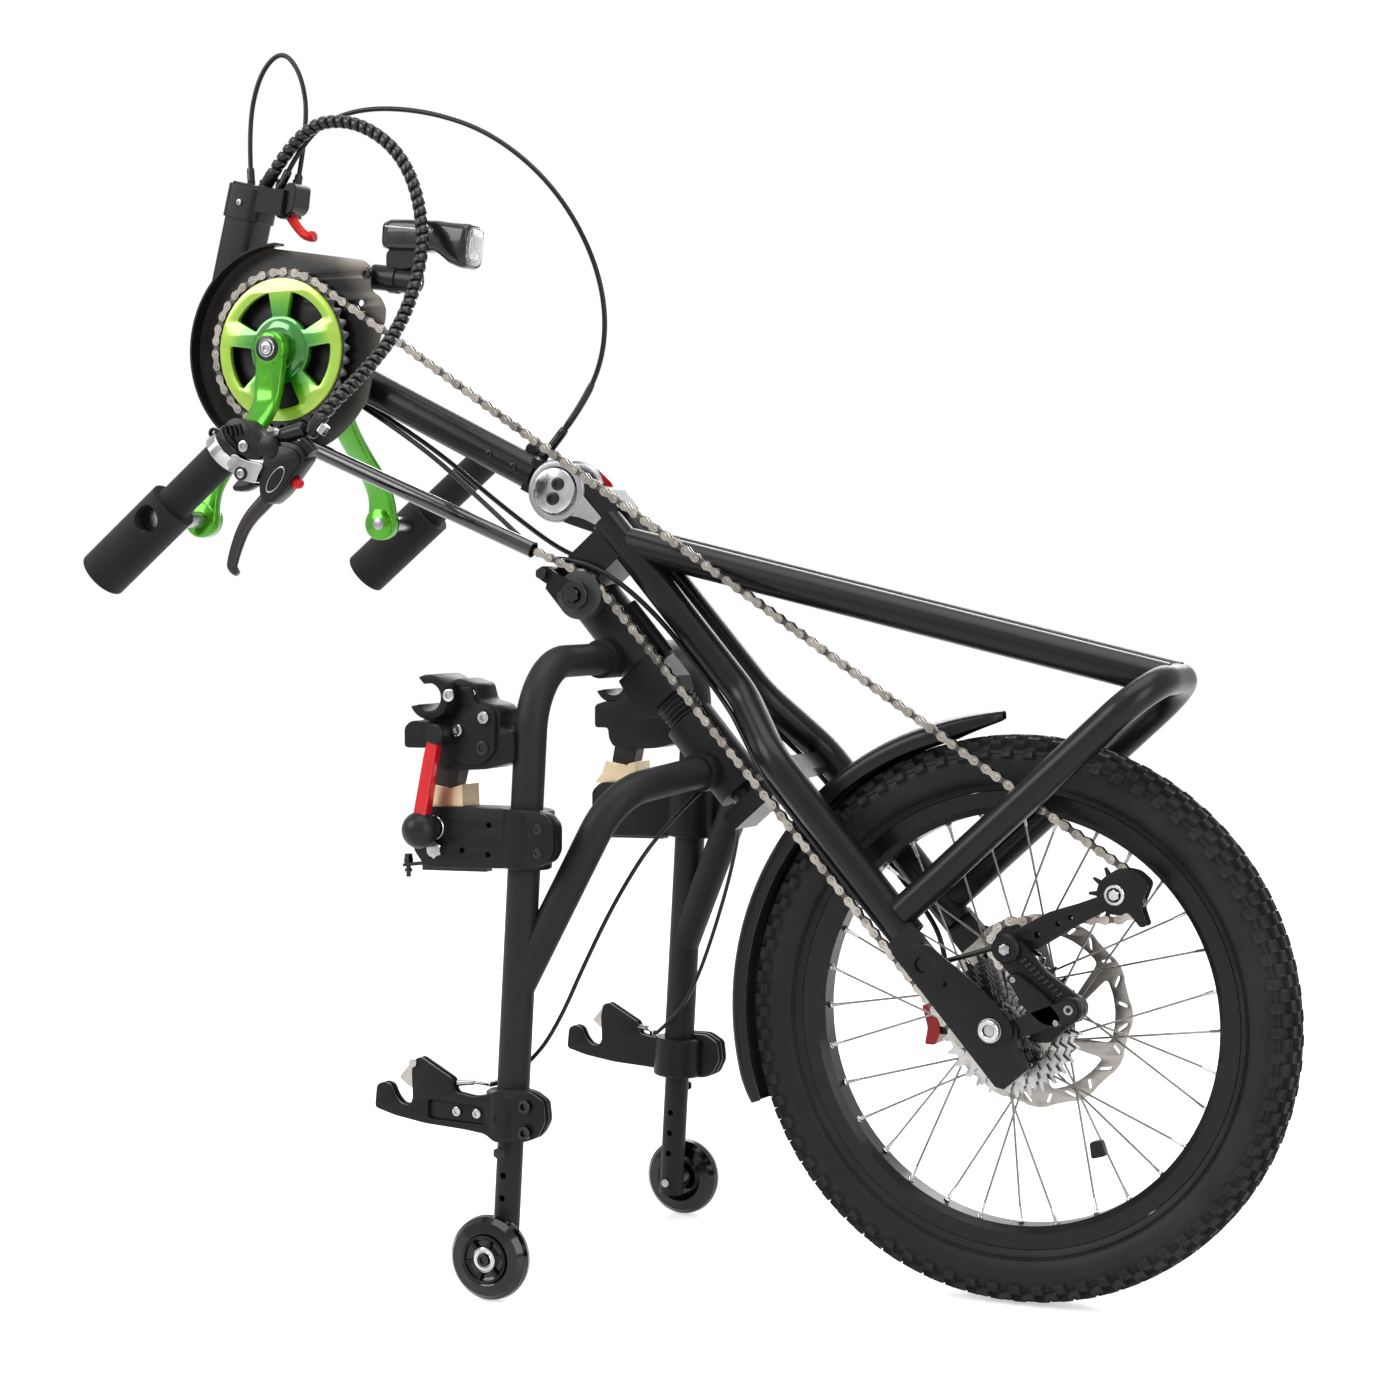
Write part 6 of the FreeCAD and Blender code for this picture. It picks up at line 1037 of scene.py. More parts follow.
build("lamp_reflector", [bowl], REFLECTOR, "lamp_body", "lamp_black", smooth=50)
lens = sweep(lamp_front - lamp_axis * np.array([[0.0010], [0.0030], [0.0042]]),
             squircle(1, 1, 3.4, 40), Z, scale=mm((32, 38), (27, 33), (15, 19)))
build("lamp_lens", [lens], CLEAR_LENS, "lamp_body", "lamp_black", smooth=60)
band = sweep(lamp_front + lamp_axis * np.array([[0.036], [0.09]]) + Z * 0.0125 - Y * 0.0164,
             mm((-0.8, -1.1), (0.8, -1.1), (0.8, 1.1), (-0.8, 1.1)), Y)
build("lamp_side_strip", [band], POLISHED, "lamp_body",
      "lamp_black", bevel=0.0004)
stem = [rod(at(-361, -18, 953), at(-309, -18, 946), 0.0125, 28, bevel=0.002),
        lathe(mm((12.6, 0), (14.2, 0.6), (14.2, 9.4), (12.6, 10)), at(-340, -18, 950.2),
              (1, 0, -0.13), 28)]
build("lamp_stub_bar", stem, CONTROL_BLACK, "boom_body", "guard_black")
clamp = prism(rounded(mm((-341, 958), (-341, 975), (-334, 981), (-308, 977), (-303, 968),
                         (-312, 958)), 0.006), -0.027, -0.009)
build("lamp_clamp", [clamp], CONTROL_BLACK, "lamp_body", "lamp_black", bevel=0.0012)

# Knuckle and boom
housing = lathe(mm((0, 0), (27, 0), (30, 2.5), (30.5, 6), (29, 8.5), (27, 9), (23, 9),
                   (22.6, 6.5), (0, 6.5)), KNUCKLE - Y * 0.0165, -Y, 60)
neck = prism(rounded(mm((-137, 749), (-119, 728), (-104, 712), (-110, 706), (-128, 714),
                        (-142, 716), (-158, 716)), 0.006), -0.0245, -0.0185)
build("knuckle_housing", pair(housing, neck), SATIN_GREY, "fork", "pin_steel", bevel=0.001)
face = lathe(mm((0, 0), (21.5, 0), (22.2, 1), (22.2, 5.4), (21.4, 6.6), (19, 7.2), (0, 7.2)),
             KNUCKLE - Y * 0.0225, -Y, 64)
build("knuckle_bright_face", [face], POLISHED, "fork", "pin_steel")
build("knuckle_socket_bolts", sockets(-29.5, 6.4, 2.2, (-149.5, 746.5), (-155, 732.5)),
      SCREW_DARK, "fork", "pin_steel")
knob = [lathe(mm((0, -5), (6, -5), (7.2, -3.6), (7.2, 3.6), (6, 5), (0, 5)),
              at(-196, 8, 781), Y, 26),
        prism(rounded(mm((-201, 762), (-201.5, 781), (-191, 781), (-187, 757)), 0.002), 0.005,
              0.011)]
build("boom_cable_hanger", knob, CONTROL_BLACK, "boom_body", "block_black", bevel=0.0008)
boom_screws = []
for reach in (0.056, 0.085):
    boom_screws.append(socket_head(KNUCKLE + BOOM * reach - Y * 0.0164, -Y, 0.0035, 0.0018))
build("boom_screws", boom_screws, SCREW_DARK, "boom_body", "screw_steel")


def cable_sleeve(route, first, last, radius):
    """A sleeve over a cord's line between two distances counted back from its end."""
    line = line_points(route)[::-1]
    run = run_along(line)
    spot = np.linspace(first, last, 9)
    path = read_at(spot, run, line)
    size = np.array([0.86, 1, 1, 1, 1, 1, 1, 1, 0.86])
    return sweep(path, circle(radius, 16), (0.3, 0.9, 0.2), scale=size)


sleeves = [cable_sleeve(OUTER, 0.001, 0.040, 0.0046), cable_sleeve(OUTER, 0.039, 0.092, 0.0035),
           cable_sleeve(OUTER[::-1], 0.001, 0.022, 0.0042),
           cable_sleeve(LOOP, 0.001, 0.018, 0.0042), cable_sleeve(LOOP[::-1], 0.001, 0.018, 0.0042)]
build("mast_cable_sleeves", sleeves, WRAP_BLACK, "boom_body", "cable_black")
build("hose_end_sleeves", [cable_sleeve(HOSE, 0.001, 0.024, 0.0068),
                           cable_sleeve(HOSE[::-1], 0.001, 0.02, 0.0068)], CONTROL_BLACK,
      "boom_body", "cable_black")
caps = [hexes(-61.5, 7.5, 4, (-116.8, 640.6)), hexes(-58.5, 6.0, 3, (-151.8, 661))]
build("idler_bolts", caps[0] + caps[1] + [ring_band(-116.8, -57.5, 640.6, 8, 14, 4)],
      SCREW_DARK, "fork", "screw_steel")

# Controls


def perch():
    """The brake lever's perch: an oval body with a crowned lid; the cap beside it, the
    master's barrel above and the ribbed adjuster are built apart."""
    body = rounded(mm((-294, 766.5), (-299.5, 778), (-315, 782.5), (-327, 782), (-336, 776.5),
                      (-342, 764), (-346, 748), (-345.5, 734), (-342, 726), (-334, 724.5),
                      (-325, 730.5), (-317.5, 737), (-309.5, 748), (-299, 760)), 0.009)
    middle = body.mean(0)
    return [pierced([body], -0.2475, -0.2265, 0.003),
            pierced([middle + (body - middle) * 0.84], -0.2505, -0.2472, 0.0014)]


oval = ring_line(0, 0, 1.0, 40) * (0.0145, 0.0062)
tilt = math.radians(52)
oval = oval @ np.array([[math.cos(tilt), math.sin(tilt)], [-math.sin(tilt), math.cos(tilt)]])
build("brake_perch", perch(), CONTROL_BLACK, "handle_right_body", "control_black",
      "brake_master", smooth=35)
build("perch_oval_rim", [pierced([oval + at(-325, 747), oval * (0.9, 0.9)
                                  + at(-325, 747)], -0.2512, -0.2503, 0.0002)],
      SATIN_GREY, "handle_right_body", "control_black", smooth=35)
shifter = rounded(mm((-383, 795), (-375, 804), (-362, 804), (-350.5, 797), (-342, 785),
                     (-336, 776), (-341, 765), (-356, 766), (-369, 774.5)), 0.006)
ribs = [prism(rounded(mm((x, 0.1 * x + 835.0), (x + 2.2, 0.1 * x + 835.2),
                         (x + 4.6, 0.1 * x + 825), (x + 2.4, 0.1 * x + 824.8)), 0.0006),
              -0.2535, -0.2505) for x in (-379, -374, -369, -364)]
cap = lathe(mm((0, 4.5), (8, 4.5), (10.5, 3.5), (11.2, 1.5), (11.2, 0), (0, 0)),
            at(-333, -248, 777), -Y, 36)
build("shifter_body", [pierced([shifter], -0.2515, -0.2275, 0.0022), cap] + ribs,
      CONTROL_BLACK, "handle_right_body", "control_black", smooth=35)
barrel = [rod(at(-338, -240, 784), at(-300, -240, 793), 0.0072, 26, bevel=0.001),
          rod(at(-303, -240, 782), at(-291, -239, 771), 0.0062, 26, bevel=0.001)]
for step in range(5):
    centre = at(-303, -240, 782) + at(12, 1, -11) * (0.12 + 0.19 * step)
    barrel.append(rod(centre, centre + at(1.0, 0.1, -0.9), 0.0070, 26, bevel=0.0003))
build("perch_barrels", barrel, CONTROL_BLACK, "handle_right_body", "control_black")
band_foot = at(-461.66, -238, 712.41)
collar = lathe(mm((17, 92), (20.6, 92), (21.2, 92.8), (21.2, 104.2), (20.6, 105), (17, 105)),
               band_foot, GRIP, 44)
lug = prism(rounded(mm((-378, 764), (-369, 772), (-357.5, 765.5), (-336, 761), (-342, 752),
                       (-345, 743.5), (-366, 748.5)), 0.004), -0.2535, -0.2445)
build("control_bright_band", [collar, lug,
                              hex_nut(at(-284.5, -238, 789.5), (0.6, 0.1, 0.75), 0.0055,
                                      0.009)],
      POLISHED, "handle_right_body", "control_black", bevel=0.0008)
shoulder = lathe(mm((17, 104.5), (19.5, 104.5), (20, 105.2), (20, 112), (19, 113), (17, 113)),
                 band_foot, GRIP, 44)
ears = lathe(mm((2.4, 0), (5, 0), (5, 3), (4.4, 3.6), (2.4, 3.6)), at(-394, -246, 791),
             -Y, 26)
lug_ring = ring_band(-360.5, -253.5, 753, 4.3, 6.4, 1.6)
build("control_dark_collar", [shoulder, ears, lug_ring], CONTROL_BLACK, "handle_right_body",
      "control_black")
build("control_screws", sockets(-253.5, 4.1, 1.6, (-360.5, 753))
      + sockets(-251.5, 5.2, 2.0, (-358.5, 778)) + sockets(-247.5, 2.6, 1.4, (-325, 791)),
      POLISHED, "handle_right_body", "screw_steel")
lever_path = curve_through(mm((-322, -238, 752), (-333, -238, 738.5), (-345.5, -238, 726.5),
                              (-359.5, -238, 713.5), (-369, -238, 700.5),
                              (-376, -238, 685), (-380, -238, 673), (-380.5, -238, 667),
                              (-375, -238, 660.5)), 6)
share = np.linspace(0, 1, len(lever_path))
lever_width = np.interp(share, [0, 0.12, 0.3, 0.5, 0.7, 0.85, 0.95, 1],
                        [15, 16, 14.5, 12, 10.5, 9.5, 8, 5]) / 1000
lever_depth = np.interp(share, [0, 0.3, 0.9, 1], [9, 9, 8, 5]) / 1000
build("brake_lever_blade", [loft(lever_path, np.stack([lever_width, lever_depth], 1), Y, 3.0)],
      LEVER_DARK, "brake_lever_body", "lever_black", "brake_lever", smooth=50)
paddle = rounded(mm((-378, 741.5), (-369, 750), (-357, 752), (-350, 745), (-350, 742.5),
                    (-361, 737.5), (-368, 736.5), (-376.5, 737.5)), 0.0035)
build("shift_thumb_paddle", [pierced([paddle], -0.2435, -0.2325, 0.0025)], CONTROL_BLACK,
      "shift_paddle_body", "control_black", "shift_paddle", smooth=35)
button_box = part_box("lock_button")
middle = (np.array(button_box[0]) + np.array(button_box[1])) / 2
reach = (np.array(button_box[1]) - np.array(button_box[0])) / 2
build("lock_button_domed", [lathe([(0, -reach[1]), (reach[0] * 0.9, -reach[1]),
                                   (reach[0], -reach[1] * 0.8), (reach[0], reach[1] * 0.3),
                                   (reach[0] * 0.85, reach[1] * 0.75),
                                   (reach[0] * 0.5, reach[1] * 0.95), (0, reach[1])],
                                  middle, -Y, 30)], RED_PLASTIC, "lock_button_body",
      "button_red", "lock_button", smooth=50)

# Clamps
bracket_line = rounded(mm((-211, 408), (-201, 395), (-189, 392), (-86, 395), (-71, 402),
                          (-66, 411), (-66, 435), (-74, 444), (-86, 447.5), (-161, 449),
                          (-200, 448), (-211, 438)), 0.004)
core_line = rounded(mm((-210, 408), (-200, 396), (-189, 393), (-120, 394), (-120, 448),
                       (-161, 448), (-200, 447), (-210, 438)), 0.004)
bracket_holes = [ring_line(x / 1000, z / 1000, 0.0026, 14) for x, z in
                 ((-132, 433), (-160, 409), (-133, 406))]


def tube_at(z):
    """The middle of the right docking tube at a height: X grows by 0.0582 of the height."""
    return at(-128.3 + (z - 39) * 0.0582, -177, z)


bulge = rod(tube_at(394), tube_at(447.5), 0.0255, 56, bevel=0.0012)
build("bracket_cheeks", pair(pierced([bracket_line] + bracket_holes, -0.1995, -0.1958, 0.0008),
                             pierced([bracket_line], -0.1938, -0.181, 0.0008),
                             pierced([core_line], -0.1815, -0.1585, 0.0008), bulge),
      CAST_BLACK, "dock", "block_black", "clamp_brackets", smooth=30)
jaw_line = rounded(mm((-207, 503), (-207, 526), (-196, 530), (-182, 530), (-172, 542),
                      (-175, 562), (-165, 566), (-147, 561), (-143, 546), (-127, 542),
                      (-122, 536), (-122, 521), (-108, 519), (-108, 491), (-137, 483.5),
                      (-160, 482), (-186, 484), (-191, 492), (-192, 503)), 0.0035)
cheek_line = rounded(mm((-170, 493), (-175, 508), (-172, 524), (-160, 541), (-163, 558),
                        (-150, 559), (-146, 544), (-130, 540), (-125, 534), (-126, 500),
                        (-138, 488), (-156, 487)), 0.004)
ring_gap = np.concatenate([ring_line(-0.187, 0.549, 0.0205, 30, 205, 480),
                           ring_line(-0.187, 0.549, 0.0128, 26, 472, 213)])
yoke = prism(rounded(mm((-208, 503), (-208, 522), (-200, 528), (-170, 524), (-168, 508),
                        (-186, 503)), 0.004), -0.2195, -0.1955)
build("jaw_castings", pair(pierced([jaw_line], -0.1955, -0.1585, 0.0014),
                           pierced([cheek_line], -0.1995, -0.195, 0.001),
                           pierced([ring_gap], -0.2125, -0.161, 0.0008), yoke), CAST_BLACK,
      "dock", "block_black", "clamp_jaws", smooth=35)
link = prism(rounded(mm((-191, 487), (-165, 486), (-172, 459), (-196, 461)), 0.0015), -0.192,
             -0.174)
build("clamp_links", pair(link), LINK_BROWN, "dock", "block_black", bevel=0.0006)
wedge = [prism(mm((-210, 446), (-202, 456), (-163, 450), (-162, 446)), -0.1935, -0.1655),
         prism(mm((-202, 455.5), (-197, 469), (-171, 464.5), (-171, 450)), -0.1935, -0.1655),
         prism(mm((-172, 446), (-172, 466), (-162, 469), (-161, 446)), -0.1955, -0.1635)]
build("clamp_wedge_blocks", pair(*wedge), GOLD, "dock", "wedge_gold", "clamp_wedges",
      bevel=0.0005)
silver = (hexes(-199.5, 8.2, 5.5, (-187, 409)) + [ring_band(-189, -199.5, 429, 7.5, 11.5, 3)]
          + sockets(-199.5, 5.6, 4.0, (-163.5, 519), (-136, 531))
          + sockets(-212.5, 5.6, 2.5, (-165, 551)) + sockets(-195.6, 2.4, 1.4, (-149, 553))
          + sockets(-197.5, 4.2, 1.8, (-167, 168.5), (-146, 168)))
dark = (sockets(-199.5, 4.6, 1.2, (-81, 431), (-81.5, 409))
        + sockets(-199.5, 6.4, 1.6, (-138, 503))
        + sockets(-200.5, 6.2, 5.0, (-94, 179), (-94, 155)) + hexes(-199.5, 5.6, 2.5,
                                                                    (-122, 134)))
build("dock_bright_screws", pair(*silver), POLISHED, "dock", "screw_steel", "dock_fasteners")
build("dock_black_screws", pair(*dark), SCREW_DARK, "dock", "screw_steel")
stop_screw = [rod(at(-224, -186, 381), at(-224, -186, 399), 0.0022, 12, bevel=0.0004),
              hex_nut(at(-224, -186, 394), Z, 0.0048, 0.005),
              hex_nut(at(-224, -186, 399), Z, 0.0042, 0.0035),
              hex_nut(at(-224, -186, 386), Z, 0.0040, 0.003),
              prism(mm((-228, 390.5), (-228, 393.5), (-206, 396.5), (-206, 393)), -0.19, -0.182),
              prism(mm((-206, 388.5), (-206, 394), (-139, 394), (-139, 389.5)), -0.192, -0.18)]
build("clamp_stop_screws", pair(*stop_screw), SCREW_DARK, "dock", "screw_steel", bevel=0.0004)
rod_path = mm((-179, -214, 514), (-183, -214, 494), (-191, -214, 452), (-194.5, -214, 437))
red_bar = loft(rod_path, mm((11, 11), (12.5, 12.5), (13.5, 13.5), (13, 13)), Y, 5)
hub_boss = lathe(mm((0, -7), (8, -7), (9, -6), (9, 6), (8, 7), (0, 7)),
                 at(-177.8, -214, 516), Y, 32)
turn = np.linspace(-math.pi / 2, math.pi / 2, 17)
ball = lathe(np.stack([0.0172 * np.cos(turn), 0.0172 * np.sin(turn)], 1),
             at(-195, -214, 427.5), unit((-0.22, 0, -1)), 40)
for word, (bar, *ends) in both([red_bar, ball, hub_boss]):
    body = "clamp_lever_%s_body" % word
    build("clamp_lever_%s_bar" % word, [bar], RED_ANODISED, body, "lever_red",
          "clamp_lever_" + word, bevel=0.0008)
    build("clamp_lever_%s_ball" % word, ends, BALL_BLACK, body, "grip_black")

# Hooks
hook_line = rounded(mm((-254, 166), (-252, 187), (-246, 190.5), (-238, 189), (-233, 178),
                       (-226, 171), (-217, 171), (-213.5, 177), (-214.5, 203), (-212, 213),
                       (-206, 216.5), (-172, 198), (-170, 186), (-150, 183), (-133, 187),
                       (-122, 192), (-92, 192), (-78, 184), (-76, 165), (-83, 151),
                       (-95, 146), (-128, 143), (-138, 150), (-160, 152.5), (-200, 155),
                       (-232, 160)), 0.004)
slot_line = rounded(mm((-197, 160), (-197, 178), (-138, 175), (-138, 158)), 0.004)
wrap = rod(tube_at(149), tube_at(187.5), 0.0245, 56, bevel=0.0014)
back_line = rounded(mm((-140, 146), (-140, 187), (-122, 191), (-92, 191), (-79, 183),
                        (-77, 165), (-84, 152), (-96, 147)), 0.004)
boss_ring = ring_band(-119, -200.6, 166, 6.6, 7.8, 1.0)
build("hook_blades", pair(pierced([hook_line, slot_line], -0.1988, -0.1945, 0.0009),
                          pierced([hook_line], -0.1905, -0.1865, 0.0009),
                          pierced([slot_line], -0.1960, -0.1905, 0.0002),
                          pierced([back_line], -0.1850, -0.1795, 0.001), wrap, boss_ring),
      HOOK_BLACK, "dock", "block_black", "hook_plates", smooth=32)
latch = prism(rounded(mm((-215, 211), (-227.5, 196), (-219, 189.5), (-208, 185), (-206, 209)),
                      0.002), -0.1985, -0.1935)
latch_pin = lathe(mm((0, -5), (3.4, -5), (4, -4.4), (4, 4.4), (3.4, 5), (0, 5)),
                  at(-212, -196.5, 210.5), Y, 22)
for word, shapes in both([latch, latch_pin]):
    build("hook_latch_%s_tongue" % word, shapes, LATCH_STEEL, "hook_latch_%s_body" % word,
          "pin_steel", "hook_latch_" + word, bevel=0.0004)
pull = [rod(at(-172, -190, 193), at(-158, -181, 193.5), 0.0028, 16, bevel=0.0004),
        rod(at(-158, -181, 193.5), at(-148, -172, 190.5), 0.0015, 12),
        rod(at(-148, -172, 190.5), at(-140, -162, 192.5), 0.0028, 16, bevel=0.0004)]
build("release_cable_barrels", pair(*pull), POLISHED, "dock", "screw_steel")

# Castors


def castor_hub(sign):
    """The castor's core: a rim ring, six ribs, a bearing and its bolt's head."""
    centre = np.array([-0.1283, 0.205 * sign, 0.039])
    axis = Y * sign
    parts = [lathe(mm((19.4, 7.5), (21.8, 7.5), (21.8, 12.6), (20.8, 13.2), (19.6, 12.6),
                      (19.4, 7.5)), centre, axis, 44)]
    for index in range(6):
        turn = math.radians(60 * index + 12)
        out = np.array([math.cos(turn), 0, math.sin(turn)])
        parts.append(sweep([centre + axis * 0.0098 + out * 0.010,
                            centre + axis * 0.0098 + out * 0.0205],
                           mm((-1.6, -2.4), (1.6, -2.4), (1.6, 2.4), (-1.6, 2.4)), axis))
    return parts, [lathe(mm((6.4, 8), (11.4, 8), (11.4, 13.2), (10.6, 13.8), (9.9, 12.8),
                            (8, 12.8), (7.4, 13.6), (6.4, 13.4)), centre, axis, 44)], [
        socket_head(centre + axis * 0.0125, axis, 0.0058, 0.003)]


for word, sign in (("right", -1), ("left", 1)):
    spokes, bearing, bolt = castor_hub(sign)
    body = "castor_%s_body" % word
    build("castor_%s_core" % word, spokes, CASTOR_HUB, body, "castor_black", bevel=0.0004)
    build("castor_%s_bearing" % word, bearing, POLISHED, body, "castor_black")
    build("castor_%s_bolt" % word, bolt, SCREW_DARK, "dock", "screw_steel")

# Hub, brake and gears


def wheel_cut(radius, turn):
    """Points in X and Z at a radius from the wheel's axle."""
    return np.stack([AXLE[0] + radius * np.cos(turn), AXLE[2] + radius * np.sin(turn)], -1)


turn = np.linspace(0, 2 * math.pi, 360, endpoint=False)
wave = np.cos(12 * turn)
rim_cut = wheel_cut(0.0885 + 0.0013 * np.sign(wave) * np.abs(wave) ** 0.6, turn)
openings = []
for index in range(6):
    start = 2 * math.pi * index / 6
    inner_turn = start + np.radians(np.linspace(10, 50, 9))
    outer_turn = start + np.radians(np.linspace(40, 87, 13))
    gap = np.concatenate([wheel_cut(0.0285, inner_turn), wheel_cut(0.0735, outer_turn[::-1])])
    openings.append(rounded(gap[np.r_[0, 4, 8, 9, 12, 15, 18, 21]], 0.005, 4))
for index in range(24):
    start = 2 * math.pi * (index + 0.5) / 24
    lean = 0.05 if index % 2 else -0.02
    openings.append(rounded(np.stack([wheel_cut(0.0775, start - 0.016 - lean),
                                      wheel_cut(0.0775, start + 0.022 - lean),
                                      wheel_cut(0.0852, start + 0.016 + lean),
                                      wheel_cut(0.0852, start - 0.022 + lean)]), 0.0016, 3))
openings.append(ring_line(AXLE[0], AXLE[2], 0.017, 40))
build("rotor_wavy_disc", [pierced([rim_cut] + openings, 0.0508, 0.0526, 0.0002)], ROTOR_STEEL,
      "wheel", "rotor_steel", "brake_rotor", smooth=25)
rotor_bolts = [socket_head(wheel_spot(0.0225, 2 * math.pi * index / ROTOR_BOLTS, 0.0526), Y, 0.0042,
                           0.002) for index in range(ROTOR_BOLTS)]
build("rotor_bolts", rotor_bolts, SCREW_DARK, "wheel", "screw_steel")
build("caliper_red_pad_keeper", [prism(rounded(mm((199, 259), (210, 260), (218, 236), (213, 222),
                                                  (202, 222), (205, 238)), 0.003), 0.034,
                                       0.060)], CALIPER_RED, "fork", "lever_red",
      bevel=0.0006)
plate_line = rounded(mm((226, 318), (233, 330), (248, 332), (260, 322), (286, 304),
                        (314, 279), (328, 264), (329, 252), (314, 243), (300, 244),
                        (266, 274), (236, 298), (227, 308)), 0.007)
arm_line = rounded(mm((262, 262), (276, 246), (298, 228), (313, 216), (322, 218), (327, 226),
                      (314, 238), (300, 247), (285, 262), (270, 270)), 0.005)
arm_slot = rounded(mm((306, 226), (314, 222), (318, 227), (309, 235)), 0.003)
dropout = pierced([plate_line, ring_line(0.2435, 0.3125, 0.0075, 28),
                   ring_line(0.2655, 0.2962, 0.0022, 12)], -0.0815, -0.0765, 0.0009)
build("dropout_plates", pair(dropout, pierced([arm_line, arm_slot], -0.0742, -0.0680, 0.001)),
      HOOK_BLACK, "fork", "frame_black", smooth=30)
axle_rings = [lathe(mm((5.4, 0), (9.6, 0), (9.6, 3), (9, 3.6), (6, 3.6), (5.4, 3)),
                    at(308.2, -85.5, 258), -Y, 36)]
build("axle_end_rings", pair(*axle_rings), POLISHED, "fork", "axle_steel")

cage_line = rounded(mm((405, 397), (402, 380), (376, 370), (351, 362), (329, 349), (309, 338),
                       (306, 326), (314, 317), (328, 322), (348, 333), (375, 350),
                       (408, 368), (425, 365), (436, 352), (442, 354), (436, 371),
                       (444, 392), (432, 402), (416, 404)), 0.005)
cage_holes = [ring_line(x / 1000, z / 1000, r / 1000, 14) for x, z, r in
              ((341, 341, 3.2), (360, 352, 2.4), (372, 358, 2.4))]
build("long_cage_plates", [pierced([cage_line] + cage_holes, -0.0533, -0.0508, 0.0006),
                           pierced([cage_line] + cage_holes, -0.0392, -0.0367, 0.0006)],
      HOOK_BLACK, "cage_body", "lever_black", "derailleur_cage", smooth=30)
build("cage_pivot_bolts", [hex_nut(at(412.2, -53.3, 380), -Y, 0.0052, 0.0026),
                           ring_band(412.2, -53.3, 380, 6.6, 9.2, 1.2),
                           hex_nut(at(318.2, -53.3, 329.5), -Y, 0.0046, 0.0022)],
      POLISHED, "cage_body", "screw_steel")


def gear_body():
    """The gear changer's parallelogram: two links one above the other, a barrel at the
    cage's pivot, a knuckle and a plate at the hanger; the spring between the links is built apart."""
    upper = rounded(mm((306, 322), (316, 338), (330, 338), (352, 312), (384, 290), (392, 276),
                       (380, 268), (352, 284), (322, 304)), 0.007)
    lower = rounded(mm((318, 306), (330, 309), (356, 290), (372, 272), (368, 262), (352, 264),
                       (336, 278)), 0.006)
    shapes = [pierced([upper], -0.0665, -0.0575, 0.0016), pierced([lower], -0.0735, -0.0655,
                                                                  0.0016)]
    shapes.append(rod(at(318.2, -50, 329.5), at(318.2, -74, 329.5), 0.0128, 36,
                      bevel=0.0018))
    shapes.append(rod(at(377.2, -50, 279), at(377.2, -72, 279), 0.0118, 36,
                      bevel=0.0018))
    hanger = rounded(mm((322, 262), (330, 270), (352, 268), (366, 288), (384, 288),
                        (388, 272), (372, 262), (356, 246), (336, 246)), 0.006)
    shapes.append(pierced([hanger], -0.0575, -0.0515, 0.001))
    return shapes


build("gear_changer_links", gear_body(), HOOK_BLACK, "fork", "lever_black", "derailleur_body",
      smooth=32)
COIL_TURNS = 9
coil_turn = np.linspace(0, COIL_TURNS * 2 * math.pi, COIL_TURNS * 14)
coil_run = np.linspace(0, 1, len(coil_turn))[:, None]
coil_foot, coil_head = at(331, -68, 322), at(368, -66, 290)
coil_way = unit(coil_head - coil_foot)
coil_side = unit(np.cross(coil_way, Y))
coil = (coil_foot + coil_run * (coil_head - coil_foot) + 0.0042
        * (np.cos(coil_turn)[:, None] * coil_side + np.sin(coil_turn)[:, None] * Y))
build("gear_changer_spring", [sweep(coil, circle(0.0008, 6), coil_way)], SCREW_DARK, "fork",
      "screw_steel", smooth=60)
build("gear_changer_screws", hexes(-74, 5.4, 2.0, (318.2, 329.5)) + sockets(
    -73.5, 2.6, 1.2, (326, 303), (366, 267)) + sockets(-72, 4.6, 1.6, (377.2, 279)),
      SCREW_STEEL, "fork", "screw_steel")
magnet = prism(rounded(mm((380, 137), (378, 152), (389, 155), (394, 141)), 0.003), -0.0145,
               -0.0045)
build("spoke_magnet", [magnet], CONTROL_BLACK, "wheel", "hub_black", bevel=0.001)

# Mudguard


def mudguard_shell():
    """A channel over the tyre: its section of (Y, radius) is carried round the axle, and
    towards the front tip it narrows and its skirts rise to a point."""
    half = mm((-31, 260.5), (-31.8, 268), (-29.5, 274), (-22, 277.6), (-11, 279.2), (0, 279.6))
    outer = curve_through(np.concatenate([half, (half * (-1, 1))[::-1][1:]]), 3)
    inner = (outer - (0, 0.2702)) * (0.945, 0.86) + (0, 0.2702) - (0, 0.0004)
    inner[[0, -1], 1] = outer[[0, -1], 1] + 0.0003
    loop = np.concatenate([outer, inner[::-1]])
    turn = np.radians(np.concatenate([np.linspace(93.5, 106, 14), np.linspace(108, 194, 60),
                                      np.linspace(195, 200, 7)]))
    degrees = np.degrees(turn)
    front = np.clip((degrees - 93.5) / 12.5, 0, 1) ** 0.7
    back = np.clip((200.5 - degrees) / 6, 0, 1) ** 0.5
    grow = (0.16 + 0.84 * front) * (0.5 + 0.5 * back)
    radius = 0.2796 - (0.2796 - loop[None, :, 1]) * (0.25 + 0.75 * grow[:, None])
    across = loop[None, :, 0] * grow[:, None]
    points = wheel_spot(radius, np.repeat(turn[:, None], len(loop), 1), across)
    count = len(loop)
    first = np.arange(count)
    faces = grid_quads(len(turn), count, False, True).tolist()
    return points.reshape(-1, 3), faces + [first.tolist(),
                                           (first + (len(turn) - 1) * count)[::-1].tolist()]


tab_line = mm((68.7, 451.1), (76.2, 457.7), (99, 431.2), (91.6, 424.8))
build("mudguard_channel", [mudguard_shell(), prism(tab_line, -0.009, 0.009)], MUDGUARD, "fork",
      "guard_black", "mudguard", smooth=45)

# Stage and light

